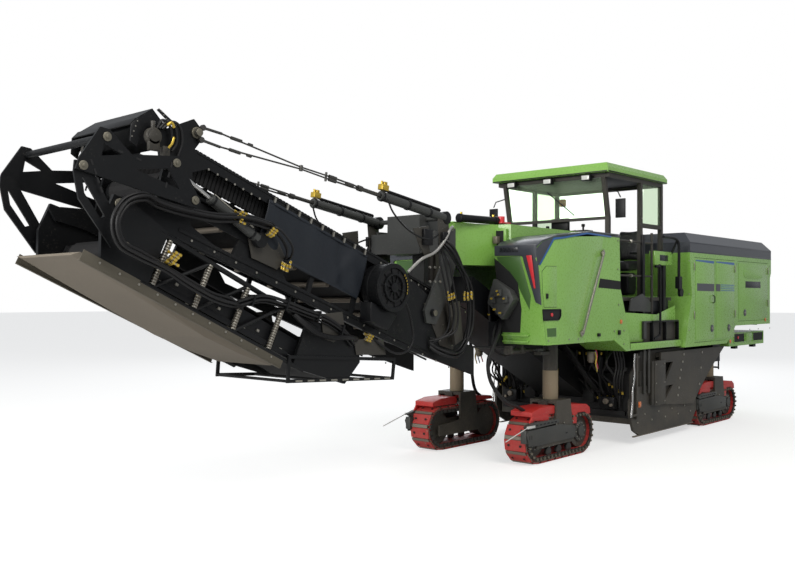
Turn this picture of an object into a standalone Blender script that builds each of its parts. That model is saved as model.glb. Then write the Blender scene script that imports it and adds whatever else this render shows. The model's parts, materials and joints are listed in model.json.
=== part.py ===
"""Cold planer milling machine on four tracks, its discharge conveyor folded for transport.

Metres, +Z up. The machine points along +X and its left side is +Y. Stations along X are
measured from the front of the front tracks' ground contact, heights from the ground.
"""

import math

import bmesh
import bpy
from mathutils import Matrix, Vector

# Fits shared by all pieces
SEAT = 0.0003
RUN = 0.006
WELD = 0.01
OVERRUN = 0.05
SIDES = 16
BIG_SIDES = 32

# The whole machine: the stations' zero lies this far ahead of the middle of its length
MIDDLE_SHIFT = 0.735

# Tracks
FRONT_AXLE_X = -0.593
FRONT_TRACK_Y = 0.757
REAR_TRACK_Y = 0.95
TRACK_LENGTH = 1.64
TRACK_HEIGHT = 0.58
TRACK_WIDTH = 0.30
SHOE_THICKNESS = 0.035
BAND_THICKNESS = 0.045
SHOES_PER_TRACK = 22
SHOE_FILL_SHARE = 0.72
ARC_STEPS = 8

# Legs: column, yoke and track frame
COLUMN_RADIUS = 0.095
YOKE_TOP_Z = 0.75
YOKE_PLATE = 0.04
YOKE_HALF_LENGTH = 0.17
YOKE_ARM_GAP = 0.015
YOKE_ARM_THICKNESS = 0.03
ARM_BOTTOM_Z = 0.20
ARM_FRONT_REACH = 0.62
ARM_REAR_REACH = 0.26
ARM_SHOULDER_Z = 0.38
FRAME_HALF_LENGTH = 0.52
FRAME_HALF_WIDTH = 0.07
FRAME_LOW_Z = 0.18
FRAME_HIGH_Z = 0.40
WHEEL_HALF_WIDTH = 0.10
AXLE_RADIUS = 0.05
GUARD_THICKNESS = 0.03
GUARD_GAP = 0.015
GUARD_HALF_WIDTH = 0.13
GUARD_REACH = 0.66
STEER_ARM_REACH = 0.25
STEER_ARM_HALF_WIDTH = 0.05
STEER_ARM_TOP_Z = 1.36
STEER_ARM_THICKNESS = 0.04
STEER_PIN_RADIUS = 0.020
TIE_BOSS_RADIUS = 0.045
TIE_BOSS_HEIGHT = 0.034
TIE_TUBE_RADIUS = 0.014

# Main frame
RAIL_INNER_Y = 0.45
RAIL_OUTER_Y = 0.60
RAIL_BOTTOM_Z = 1.45
RAIL_TOP_Z = 1.75
RAIL_FRONT_X = 0.33
CROSS_LENGTH = 0.12
CROSS_STATIONS = (-1.55, -2.25, -3.95, -6.95)
SLEEVE_WALL = 0.055
SLEEVE_CLEARANCE = 0.0003
FRONT_SLEEVE_BOTTOM_Z = 1.44
FRONT_SLEEVE_TOP_Z = 2.10
REAR_SLEEVE_BOTTOM_Z = 1.00
COLUMN_INSET = 0.06

# Front pods
POD_REAR_X = -1.90
POD_LENGTH = 2.32
POD_BOTTOM_Z = 1.32
POD_HEIGHT = 1.55
POD_OUTER_Y = 1.20
POD_SHARES = [  # along, up
    (0.914, 0.103), (0.974, 0.568), (1.0, 0.761), (1.0, 0.839), (0.948, 0.89),
    (0.797, 0.942), (0.435, 1.0), (0.129, 1.0), (0.116, 0.542), (0.06, 0.342),
    (0.0, 0.065), (0.0, 0.0), (0.052, 0.0), (0.198, 0.103),
]

# Nose between the pods, and the slew post at its tip
NOSE_REAR_X = -1.60
NOSE_SHOULDER_X = 0.12
NOSE_TIP_X = 0.70
NOSE_SHOULDER_Y = 0.45
NOSE_TIP_Y = 0.22
NOSE_BOTTOM_Z = 2.44
NOSE_TOP_Z = 2.95
SLEW_X = 0.95
POST_RADIUS = 0.085
POST_BOTTOM_Z = 2.03
POST_TOP_Z = 2.97
POST_BLOCK_HALF_WIDTH = 0.12
POST_BLOCK_BOTTOM_Z = 2.26
POST_BLOCK_TOP_Z = 2.70

# Rear body, its doors and hood
BODY_REAR_X = -7.25
BODY_LENGTH = 3.70
BODY_BOTTOM_Z = 1.30
BODY_HEIGHT = 1.43
BODY_HALF_WIDTH = 1.25
BODY_WALL = 0.03
BODY_INNER_FRONT_X = -3.87
BODY_INNER_REAR_X = -7.17
BODY_SHARES = [  # along, up
    (0.951, 1.0), (0.93, 0.538), (1.0, 0.0), (0.559, 0.0), (0.457, 0.196),
    (0.014, 0.196), (0.014, 0.769), (0.0, 0.832), (0.0, 1.0),
]
DOOR_GAP = 0.006
DOOR_SHARES = {  # door: hinge edge along, outline (along, up), hinge edge first
    "door_front": [(0.905, 0.04), (0.905, 0.951), (0.695, 0.951), (0.695, 0.04)],
    "door_middle": [(0.465, 0.224), (0.465, 0.951), (0.688, 0.951), (0.688, 0.04), (0.57, 0.04)],
    "door_rear": [(0.043, 0.245), (0.043, 0.951), (0.43, 0.951), (0.43, 0.245)],
}
HOOD_FRONT_X = -3.74
HOOD_BAND_HEIGHT = 0.16
HOOD_HEIGHT = 0.315
HOOD_RIDGE_INSET_Y = 0.15
HOOD_RIDGE_INSET_FRONT = 0.14
HOOD_RIDGE_INSET_REAR = 0.05
HOOD_WALL = 0.04
ENGINE_FRONT_X = -4.50
ENGINE_LENGTH = 2.10
ENGINE_HALF_WIDTH = 0.55
ENGINE_HEIGHT = 0.85
REAR_BOX_LENGTH = 1.65
REAR_BOX_OVERHANG = 0.05
REAR_BOX_HALF_WIDTH = 1.10
REAR_BOX_HEIGHT = 0.23
SILL_FRONT_X = -1.90
SILL_REAR_X = -3.55
SILL_INNER_Y = 1.10
SILL_OUTER_Y = 1.20
SILL_BOTTOM_Z = 1.32
SILL_HEIGHT = 0.10

# Operator's platform
DECK_FRONT_X = -1.95
DECK_REAR_X = -3.52
DECK_HALF_WIDTH = 1.05
DECK_TOP_Z = 2.05
DECK_THICKNESS = 0.05
CONSOLE_FRONT_X = -2.02
CONSOLE_LENGTH = 0.30
CONSOLE_HALF_WIDTH = 0.45
CONSOLE_HEIGHT = 0.95
CONSOLE_SHARES = [(0.0, 0.0), (1.0, 0.0), (1.0, 1.0), (0.6, 1.0), (0.0, 0.75)]
SEAT_REAR_X = -3.30
SEAT_LENGTH = 0.62
SEAT_HEIGHT = 1.05
SEAT_WIDTH = 0.46
SEAT_Y = 0.55
SEAT_BASE_HEIGHT = 0.10
SEAT_SHARES = [  # along, up
    (0.2, 0.0), (0.75, 0.0), (0.75, 0.38), (1.0, 0.40), (1.0, 0.52), (0.28, 0.50),
    (0.16, 1.0), (0.0, 1.0), (0.1, 0.40), (0.2, 0.38),
]
CANOPY_FRONT_X = -1.73
CANOPY_REAR_X = -3.58
CANOPY_HALF_WIDTH = 0.96
CANOPY_BOTTOM_Z = 3.77
CANOPY_HEIGHT = 0.13
CANOPY_INSET = 0.04
CANOPY_WALL = 0.05
POST_SIZE = 0.06
POST_MIDDLE_X = -2.80
POST_REAR_X = -3.47
POST_Y = 0.90
SCREEN_BOTTOM_X = -1.99
SCREEN_TOP_X = -1.87
SCREEN_BOTTOM_Z = 3.17
SCREEN_TOP_Z = 3.74
SCREEN_Y = 0.82
SILL_RAIL_Z = 3.10
GLASS = 0.008

# Access steps and handrails beside the platform
STEP_FRONT_X = -2.48
STEP_REAR_X = -3.50
STEP_OUTER_Y = 1.12
STEP_TOP_Z = 1.71
RAIL_TUBE_RADIUS = 0.018
HANDRAIL_POSTS_X = (-2.53, -2.85)
HANDRAIL_TOP_Z = 2.98
HANDRAIL_BARS_Z = (2.83, 2.35)
HANDRAIL_POD_SHARES = (0.128, 0.1192)

# Milling drum, its housing, skirts and side plates
DRUM_X = -3.20
DRUM_Z = 0.66
DRUM_CORE_RADIUS = 0.42
DRUM_CUTTING_RADIUS = 0.51
DRUM_HALF_WIDTH = 1.00
DRUM_SHAFT_RADIUS = 0.10
PICK_ROWS = 18
PICK_SPIRALS = 3
PICK_TURN_SHARE = 0.62
PICK_SIZE = 0.05
HOUSING_FRONT_X = -2.15
HOUSING_LENGTH = 2.05
HOUSING_REAR_X = HOUSING_FRONT_X - HOUSING_LENGTH
REAR_TRACK_GAP = 0.10
REAR_AXLE_X = HOUSING_REAR_X - REAR_TRACK_GAP - TRACK_LENGTH / 2
HOUSING_BOTTOM_Z = 0.28
HOUSING_HEIGHT = 1.00
HOUSING_HALF_WIDTH = 1.08
HOUSING_WALL = 0.04
HOUSING_BORE_RADIUS = 0.56
HOUSING_SHARES = [(1.0, 0.0), (1.0, 0.7), (0.854, 1.0), (0.146, 1.0), (0.0, 0.7), (0.0, 0.0)]
PEDESTAL_LENGTH = 1.20
SKIRT_REAR_X = -5.26
SKIRT_LENGTH = 2.64
SKIRT_BOTTOM_Z = 0.42
SKIRT_HEIGHT = 0.83
SKIRT_INNER_Y = 1.15
SKIRT_THICKNESS = 0.03
SKIRT_BEAM_HEIGHT = 0.07
SKIRT_SHARES = [  # along, up
    (1.0, 0.867), (1.0, 0.12), (0.856, 0.096), (0.705, 0.048), (0.47, 0.0),
    (0.383, 0.217), (0.242, 0.542), (0.0, 1.0), (0.894, 1.0), (0.894, 0.867),
]
SKIRT_WINDOW_SHARES = [
    [(0.841, 0.819), (0.841, 0.482), (0.742, 0.819)],
    [(0.841, 0.41), (0.841, 0.169), (0.742, 0.41)],
]
SIDE_PLATE_REAR_X = -4.23
SIDE_PLATE_LENGTH = 2.20
SIDE_PLATE_BOTTOM_Z = 0.12
SIDE_PLATE_HEIGHT = 0.68
SIDE_PLATE_INNER_Y = 1.10
SIDE_PLATE_THICKNESS = 0.035
SIDE_PLATE_SHARES = [  # along, up
    (0.0, 0.265), (0.082, 0.0), (0.877, 0.0), (0.955, 0.118), (1.0, 0.441),
    (1.0, 0.735), (0.9, 1.0), (0.0, 0.882),
]
GUIDE_LENGTH = 0.10
GUIDE_BOTTOM_Z = 0.45
GUIDE_TOP_Z = 1.10
GUIDE_PLACE_SHARES = (0.12, 0.86)
SCRAPER_THICKNESS = 0.035
SCRAPER_HALF_WIDTH = 1.04
SCRAPER_BOTTOM_Z = 0.14
SCRAPER_TOP_Z = 0.95

# Loading conveyor under the nose
LOADER_HALF_WIDTH = 0.40
LOADER_TAIL_BOTTOM_Z = 0.60
LOADER_TAIL_TOP_Z = 0.98
LOADER_HEAD_X = 0.70
LOADER_HEAD_BOTTOM_Z = 1.98
LOADER_HEAD_TOP_Z = 2.30
LOADER_HEAD_SETBACK = 0.12

# Discharge conveyor, main section: stations along and above its belt line
MAIN_TAIL_X = 0.96
MAIN_TAIL_Z = 1.22
MAIN_ANGLE = math.radians(20)
MAIN_LENGTH = 4.45
MAIN_DEPTH = 0.70
FRAME_INNER_Y = 0.455
FRAME_PLATE = 0.035
TAIL_PLATE_SHARES = [  # along, up
    (-0.067, 0.0), (0.303, -0.143), (0.303, 0.986), (0.258, 0.943), (0.135, 0.80),
    (0.045, 0.43), (-0.041, 0.443),
]
HEAD_PLATE_SHARES = [  # along, up
    (0.83, -0.143), (1.0, -0.143), (1.055, -0.186), (1.075, -0.08), (1.055, 0.0), (0.985, 0.16),
    (0.995, 0.82), (0.955, 1.0), (0.87, 1.0), (0.93, 0.72), (0.90, 0.10), (0.83, 0.0),
]
MAIN_POST_SHARES = (0.43, 0.57, 0.71)
MAIN_RAIL_LOW_SHARE = -0.07
MAIN_RAIL_HIGH_SHARE = 0.93
RAIL_DEPTH = 0.10
POST_WIDTH = 0.05
MAIN_PIVOT_X = 1.50
MAIN_PIVOT_Z = 1.87
MAIN_PIVOT_RADIUS = 0.045
PAN_SHARE = 0.48
PAN_THICKNESS = 0.03
BELT_HALF_WIDTH = 0.38
BELT_THICKNESS = 0.014
ROLLER_RADIUS = 0.11
MAIN_TAIL_ROLLER_SHARE = 0.03
MAIN_HEAD_ROLLER_SHARE = 0.955
FAN_SHARES = (0.367, 0.56)
FAN_RADIUS = 0.24
FAN_DEPTH = 0.20
HOOK_X = 4.64
HOOK_Z = 3.45
HOOK_PIN_RADIUS = 0.012
HOOK_PLATE_SHARES = [  # along and up from the hook's pin, in plate lengths
    (-0.15, 0.08), (0.05, 0.28), (0.90, -0.10), (0.85, -0.55), (0.25, -0.60), (-0.12, -0.15),
]
HOOK_PLATE_LENGTH = 0.42
HEAD_COVER_HALF_WIDTH = 0.4557
HEAD_COVER_LENGTH = 0.37
HEAD_COVER_HEIGHT = 0.28
HEAD_COVER_REAR_X = 4.83
HEAD_COVER_BOTTOM_Z = 3.32
HEAD_COVER_SHARES = [(0.0, 0.0), (0.19, 0.46), (0.59, 1.0), (1.0, 0.64), (1.0, 0.36), (0.51, 0.07)]

# Fold joint and the folded section, which lies belt side down under the main one
FOLD_X = 5.40
FOLD_Z = 2.78
FOLD_PIN_RADIUS = 0.03
FRONT_ANGLE = math.radians(205.3)
FRONT_LENGTH = 3.60
FRONT_DEPTH = 0.60
FRONT_INNER_Y = 0.495
FRONT_PLATE = 0.04
FRONT_HINGE_SHARES = [  # along, up
    (-0.019, -0.08), (0.028, -0.12), (0.14, -0.02), (0.14, 0.8217), (0.016, 0.8217), (-0.019, 0.35),
]
FRONT_HEAD_SHARES = [  # along, up
    (0.62, 0.0), (0.67, -0.08), (0.82, -0.15), (0.85, 0.17), (0.82, 0.63), (0.62, 0.82),
]
FRONT_POST_SHARES = (0.153, 0.278, 0.403, 0.528)
FRONT_RAIL_LOW_SHARE = 0.03
FRONT_RAIL_HIGH_SHARE = 0.78
FRONT_RAIL_END_SHARES = (0.12, 0.66)
FRONT_TUBE_RADIUS = 0.025
FRONT_BELT_SHARES = (0.09, 0.78)
FRONT_BELT_UP_SHARE = 0.45
COVER_SEAT_SHARE = 0.8222
COVER_CROWN_SHARE = 0.75
COVER_ARCH_SHARES = [  # along, up
    (-0.035, 0.86), (0.09, 0.905), (0.22, 0.955), (0.36, 0.985), (0.48, 0.96), (0.58, 0.895),
]
COVER_HALF_WIDTH = 0.53
GUARD_LENGTH = 1.53
GUARD_REAR_X = 2.14
GUARD_BOTTOM_Z = 1.17
GUARD_DEPTH = 0.33
GUARD_BAR = 0.03
GUARD_FRAME_SHARES = [(0.02, 0.0), (1.0, 0.21), (0.985, 1.0), (0.0, 0.70)]
GUARD_HOLE_SHARES = [(0.04, 0.10), (0.975, 0.31), (0.965, 0.90), (0.025, 0.60)]
GUARD_BAR_SHARES = [(0.03, 0.05), (0.35, 0.12), (0.68, 0.19), (0.988, 0.26)]

# Fold linkage: crank plates, couplers and fold cylinders
CRANK_X = 4.77
CRANK_Z = 2.85
CRANK_BOX_X = 4.71
CRANK_BOX_Z = 2.79
CRANK_LENGTH = 1.12
CRANK_HEIGHT = 0.55
CRANK_INNER_Y = 0.635
CRANK_PLATE = 0.022
CRANK_PIN_RADIUS = 0.025
CRANK_SHARES = [  # along, up
    (1.0, 0.382), (0.973, 0.545), (0.821, 1.0), (0.75, 0.982), (0.58, 0.673),
    (0.196, 0.745), (0.161, 0.618), (0.0, 0.091), (0.045, 0.0), (0.116, 0.018),
]
CRANK_WINDOW_SHARES = [
    [(0.795, 0.782), (0.661, 0.65), (0.812, 0.60)],
    [(0.554, 0.47), (0.28, 0.54), (0.19, 0.25)],
]
CRANK_TUBE_X = 5.575
CRANK_TUBE_Z = 3.27
CRANK_TUBE_RADIUS = 0.03
COUPLER_X = 5.47
COUPLER_Z = 2.50
COUPLER_BOX_X = 5.40
COUPLER_BOX_Z = 2.43
COUPLER_LENGTH = 0.43
COUPLER_HEIGHT = 0.64
COUPLER_INNER_Y = 0.607
COUPLER_PLATE = 0.02
COUPLER_PIN_RADIUS = 0.02
COUPLER_SHARES = [  # along, up
    (0.977, 1.0), (0.744, 1.0), (-0.02, 0.141), (-0.01, 0.016), (0.279, -0.01), (0.907, 0.547),
    (1.0, 0.859),
]
COUPLER_WINDOW_SHARES = [(0.849, 0.828), (0.40, 0.36), (0.50, 0.34), (0.80, 0.62)]
FOLD_BASE_X = 4.00
FOLD_BASE_Z = 2.56
FOLD_EYE_X = 4.95
FOLD_EYE_Z = 3.14
FOLD_CYLINDER_Y = 0.553
FOLD_BARREL_RADIUS = 0.045
FOLD_BARREL_LENGTH = 0.64
FOLD_ROD_RADIUS = 0.018
FOLD_ROD_START = 0.30
FOLD_PIN = 0.020
FOLD_EYE_RADIUS = 0.055
FOLD_EYE_DRIFT = 0.014
EYE_HALF_WIDTH = 0.020
CLOTH_SHARES = [(0.43, 0.28), (0.715, 0.28), (0.715, 0.88), (0.43, 0.88)]
CLOTH_THICKNESS = 0.008
CYLINDER_BRACKET_SHARES = [(0.722, 0.22), (0.722, 0.41), (0.952, 0.42), (0.952, 0.235)]
CYLINDER_BRACKET_THICKNESS = 0.008
FOLD_BRACKET_SHARES = [(0.635, 0.0), (0.665, -0.10), (0.79, -0.10), (0.78, 0.40), (0.72, 0.42)]

# Tower that slews on the post and carries the discharge conveyor
EAR_RADIUS = 0.15
UPPER_EAR_BOTTOM_Z = 2.72
UPPER_EAR_TOP_Z = 2.93
LOWER_EAR_BOTTOM_Z = 2.05
LOWER_EAR_TOP_Z = 2.24
TOWER_BACK_X = 1.06
TOWER_FRONT_X = 1.40
TOWER_HALF_WIDTH = 0.25
TOWER_TOP_Z = 3.00
TOWER_HEAD_BOTTOM_Z = 2.55
TOWER_NECK_REAR_X = 1.05
TOWER_NECK_FRONT_X = 1.13
TOWER_NECK_HALF_WIDTH = 0.09
TOWER_ARM_INNER_Y = 0.497
TOWER_ARM_PLATE = 0.03
TOWER_ARM_X = 1.08
TOWER_ARM_Z = 1.74
TOWER_ARM_LENGTH = 0.56
TOWER_ARM_HEIGHT = 1.10
TOWER_ARM_SHARES = [(0.0, 1.0), (0.38, 1.0), (0.43, 0.62), (1.0, 0.145), (0.93, 0.018), (0.64, 0.0), (0.18, 0.34), (0.0, 0.62)]
TOWER_BEAM_BOTTOM_Z = 2.56
TOWER_BEAM_TOP_Z = 2.80
TOWER_BEAM_REAR_X = 1.12
LIFT_BASE_X = 1.27
LIFT_BASE_Z = 2.95
LIFT_Y = 0.52
LIFT_PIN_RADIUS = 0.028
LIFT_BARREL_RADIUS = 0.05
LIFT_BARREL_LENGTH = 1.10
LIFT_EYE_RADIUS = 0.06
LIFT_ROD_RADIUS = 0.024
LIFT_ROD_START = 0.50
LIFT_ROD_END = 1.68
ROPE_RADIUS = 0.012
ROPE_SPREAD = 0.018
HOOK_EYE_RADIUS = 0.062
HOOK_EYE_BORE = 0.046

MODEL = bpy.data.collections.new("cold_planer")
CUTTERS = bpy.data.collections.new("cutters")
PLACES = {}


def start():
    """Empty the file and link the two collections."""
    for thing in list(bpy.data.objects):
        bpy.data.objects.remove(thing, do_unlink=True)
    bpy.context.scene.collection.children.link(MODEL)
    bpy.context.scene.collection.children.link(CUTTERS)


def material(name, colour, roughness, metallic=0.0):
    """A plain Principled finish."""
    made = bpy.data.materials.new(name)
    made.use_nodes = True
    shader = made.node_tree.nodes["Principled BSDF"]
    shader.inputs["Base Color"].default_value = (*colour, 1.0)
    shader.inputs["Roughness"].default_value = roughness
    shader.inputs["Metallic"].default_value = metallic
    return made


GREEN = material("paint_green", (0.24, 0.50, 0.12), 0.35)
GREY = material("paint_grey", (0.05, 0.05, 0.052), 0.5)
BLACK = material("steel_black", (0.02, 0.022, 0.025), 0.5)
RED = material("shoe_red", (0.42, 0.02, 0.02), 0.5)
STEEL = material("bare_steel", (0.45, 0.42, 0.38), 0.35, 0.9)
TAN = material("cover_tan", (0.20, 0.17, 0.13), 0.8)
RUBBER = material("belt_rubber", (0.02, 0.02, 0.02), 0.8)
CLEAR = material("screen_glass", (0.65, 0.78, 0.62), 0.05)
SEAT_BLACK = material("seat_black", (0.02, 0.02, 0.02), 0.7)


def empty(name, place, parent=None):
    """An empty on a joint's axis; place is in stations, and is kept for the pieces it carries."""
    made = bpy.data.objects.new(name, None)
    MODEL.objects.link(made)
    here = Vector(place)
    PLACES[name] = here
    if parent:
        made.parent = bpy.data.objects[parent]
        made.location = here - PLACES[parent]
    else:
        made.location = here + Vector((MIDDLE_SHIFT, 0, 0))
    return made


def mesh_object(name, bm):
    """A mesh object from a bmesh, which is freed."""
    mesh = bpy.data.meshes.new(name)
    bm.to_mesh(mesh)
    bm.free()
    made = bpy.data.objects.new(name, mesh)
    MODEL.objects.link(made)
    return made


def box(x0, x1, y0, y1, z0, z1):
    """A box between two corners."""
    bm = bmesh.new()
    bmesh.ops.create_cube(bm, size=1.0)
    middle = Vector(((x0 + x1) / 2, (y0 + y1) / 2, (z0 + z1) / 2))
    size = (abs(x1 - x0), abs(y1 - y0), abs(z1 - z0))
    bmesh.ops.scale(bm, vec=size, verts=bm.verts)
    bmesh.ops.translate(bm, vec=middle, verts=bm.verts)
    return mesh_object("box", bm)


def aim(start_point, end_point):
    """Matrix that stands a piece made along Z on the line between two points."""
    start_point, end_point = Vector(start_point), Vector(end_point)
    run = end_point - start_point
    turn = run.to_track_quat("Z", "Y").to_matrix().to_4x4()
    return Matrix.Translation((start_point + end_point) / 2) @ turn, run.length


def rod(start_point, end_point, radius, sides=SIDES):
    """A round bar between two points."""
    place, length = aim(start_point, end_point)
    bm = bmesh.new()
    bmesh.ops.create_cone(bm, cap_ends=True, segments=sides, radius1=radius, radius2=radius, depth=length)
    bmesh.ops.transform(bm, matrix=place, verts=bm.verts)
    return mesh_object("rod", bm)


def beam(start_point, end_point, width_y, depth):
    """A box section between two points that lie in one X-Z plane."""
    place, length = aim(start_point, end_point)
    bm = bmesh.new()
    bmesh.ops.create_cube(bm, size=1.0)
    run = (Vector(end_point) - Vector(start_point)).normalized()
    side = Vector((0, 1, 0))
    across = side.cross(run).normalized()
    for vert in bm.verts:
        local = vert.co.copy()
        middle = place.translation
        vert.co = middle + run * local.z * length + side * local.y * width_y + across * local.x * depth
    bmesh.ops.recalc_face_normals(bm, faces=bm.faces)
    return mesh_object("beam", bm)


def plate(points, y0, y1, holes=()):
    """A flat X-Z outline, with holes, as thick as from y0 to y1."""
    curve = bpy.data.curves.new("plate", "CURVE")
    curve.dimensions = "2D"
    curve.fill_mode = "BOTH"
    curve.extrude = abs(y1 - y0) / 2
    for loop in [points, *holes]:
        spline = curve.splines.new("POLY")
        spline.points.add(len(loop) - 1)
        for point, (x, z) in zip(spline.points, loop):
            point.co = (x, z, 0, 1)
        spline.use_cyclic_u = True
    drawn = bpy.data.objects.new("plate", curve)
    MODEL.objects.link(drawn)
    drawn.matrix_world = Matrix.Translation((0, (y0 + y1) / 2, 0)) @ Matrix.Rotation(math.pi / 2, 4, "X")
    bpy.context.view_layer.update()
    seen = drawn.evaluated_get(bpy.context.evaluated_depsgraph_get())
    mesh = bpy.data.meshes.new_from_object(seen)
    mesh.transform(drawn.matrix_world)
    bpy.data.objects.remove(drawn)
    bm = bmesh.new()
    bm.from_mesh(mesh)
    bmesh.ops.remove_doubles(bm, verts=bm.verts, dist=SEAT / 10)
    bmesh.ops.recalc_face_normals(bm, faces=bm.faces)
    bm.to_mesh(mesh)
    bm.free()
    made = bpy.data.objects.new("plate", mesh)
    MODEL.objects.link(made)
    return made


def plan(points, z0, z1):
    """A flat X-Y outline, as high as from z0 to z1."""
    bm = bmesh.new()
    floor = [bm.verts.new((x, y, z0)) for x, y in points]
    face = bm.faces.new(floor)
    raised = bmesh.ops.extrude_face_region(bm, geom=[face])
    lifted = [item for item in raised["geom"] if isinstance(item, bmesh.types.BMVert)]
    bmesh.ops.translate(bm, vec=(0, 0, z1 - z0), verts=lifted)
    bmesh.ops.recalc_face_normals(bm, faces=bm.faces)
    return mesh_object("plan", bm)


def hull(points):
    """The closed skin around some points."""
    bm = bmesh.new()
    for point in points:
        bm.verts.new(point)
    bmesh.ops.convex_hull(bm, input=bm.verts)
    bmesh.ops.recalc_face_normals(bm, faces=bm.faces)
    return mesh_object("hull", bm)


def shared(shares, x0, length, z0, height):
    """Outline points from shares of a length and a height."""
    return [(x0 + along * length, z0 + up * height) for along, up in shares]


def turned(origin, angle, along, up):
    """X-Z point at a distance along and above a sloping line."""
    x = origin[0] + along * math.cos(angle) - up * math.sin(angle)
    z = origin[1] + along * math.sin(angle) + up * math.cos(angle)
    return x, z


def main_point(along_share, up_share):
    """X-Z point of the discharge conveyor's main section."""
    return turned((MAIN_TAIL_X, MAIN_TAIL_Z), MAIN_ANGLE, along_share * MAIN_LENGTH, up_share * MAIN_DEPTH)


def front_point(along_share, up_share):
    """X-Z point of its folded section."""
    return turned((FOLD_X, FOLD_Z), FRONT_ANGLE, along_share * FRONT_LENGTH, up_share * FRONT_DEPTH)


def at_y(point, y):
    """A 3-D point from an X-Z one."""
    return Vector((point[0], y, point[1]))


def boolean(base, tool, operation, self_touching=False):
    """Apply one exact Boolean and drop its tool."""
    change = base.modifiers.new("change", "BOOLEAN")
    change.operation = operation
    change.solver = "EXACT"
    change.use_self = self_touching
    change.object = tool
    bpy.context.view_layer.update()
    seen = base.evaluated_get(bpy.context.evaluated_depsgraph_get())
    mesh = bpy.data.meshes.new_from_object(seen)
    base.modifiers.clear()
    base.data = mesh
    bpy.data.objects.remove(tool)
    return base


def merged(pieces):
    """Several meshes in one object, still apart."""
    bm = bmesh.new()
    for piece in pieces:
        bm.from_mesh(piece.data)
        bpy.data.objects.remove(piece)
    return mesh_object("merged", bm)


def united(pieces):
    """One closed body from overlapping pieces."""
    base = pieces[0]
    if len(pieces) == 1:
        return base
    return boolean(base, merged(pieces[1:]), "UNION", self_touching=True)


def without(base, cutters):
    """A body with cutters taken out of it."""
    tool = merged(cutters)
    return boolean(base, tool, "DIFFERENCE", self_touching=len(cutters) > 1)


def finish(thing, name, finish_material, carrier):
    """Name a piece, give it its finish and hang it on what carries it."""
    bm = bmesh.new()
    bm.from_mesh(thing.data)
    bmesh.ops.remove_doubles(bm, verts=bm.verts, dist=SEAT / 10)
    bmesh.ops.dissolve_limit(bm, angle_limit=math.radians(0.05), verts=bm.verts, edges=bm.edges)
    bm.to_mesh(thing.data)
    bm.free()
    thing.name = name
    thing.data.name = name
    thing.data.materials.clear()
    thing.data.materials.append(finish_material)
    thing.data.shade_smooth()
    thing.data.set_sharp_from_angle(angle=math.radians(30))
    thing.parent = bpy.data.objects[carrier]
    thing.matrix_parent_inverse = Matrix.Translation(-PLACES[carrier])
    return thing


def bore_radius(pin_radius, sides=SIDES):
    """The least bore that lets a faceted pin turn."""
    return pin_radius / math.cos(math.pi / sides) + SEAT


def disc(point, y0, y1, radius, sides=SIDES):
    """A round bar along Y at an X-Z point."""
    return rod((point[0], y0, point[1]), (point[0], y1, point[1]), radius, sides)


def post(x, y, z0, z1, radius, sides=SIDES):
    """A round bar along Z."""
    return rod((x, y, z0), (x, y, z1), radius, sides)


def loop_point(distance, outward, x_middle):
    """X-Z point on a track's path, pushed outward, at a distance round it from its top rear."""
    radius = TRACK_HEIGHT / 2 - SHOE_THICKNESS
    straight = TRACK_LENGTH - TRACK_HEIGHT
    arc = math.pi * radius
    middle_z = TRACK_HEIGHT / 2
    distance = distance % (2 * straight + 2 * arc)
    reach = radius + outward
    if distance < straight:
        return x_middle - straight / 2 + distance, middle_z + reach
    distance -= straight
    if distance < arc:
        angle = math.pi / 2 - distance / radius
        return x_middle + straight / 2 + reach * math.cos(angle), middle_z + reach * math.sin(angle)
    distance -= arc
    if distance < straight:
        return x_middle + straight / 2 - distance, middle_z - reach
    distance -= straight
    angle = -math.pi / 2 - distance / radius
    return x_middle - straight / 2 + reach * math.cos(angle), middle_z + reach * math.sin(angle)


def build_track(name, x, y, carrier):
    """One endless track with its shoes in its outline."""
    radius = TRACK_HEIGHT / 2 - SHOE_THICKNESS
    straight = TRACK_LENGTH - TRACK_HEIGHT
    pitch = (2 * straight + 2 * math.pi * radius) / SHOES_PER_TRACK
    outer = []
    for shoe in range(SHOES_PER_TRACK):
        begin = (shoe + 1 / 2) * pitch
        end = begin + SHOE_FILL_SHARE * pitch
        outer.append(loop_point(begin, 0, x))
        outer.append(loop_point(begin, SHOE_THICKNESS, x))
        outer.append(loop_point(end, SHOE_THICKNESS, x))
        outer.append(loop_point(end, 0, x))
    inner_radius = radius - BAND_THICKNESS
    inner = []
    for side in (1, -1):
        for step in range(ARC_STEPS + 1):
            angle = side * math.pi / 2 - step * math.pi / ARC_STEPS
            across = x + side * straight / 2 + inner_radius * math.cos(angle)
            inner.append((across, TRACK_HEIGHT / 2 + inner_radius * math.sin(angle)))
    track = plate(outer, y - TRACK_WIDTH / 2, y + TRACK_WIDTH / 2, holes=[inner])
    finish(track, name, RED, carrier)


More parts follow.
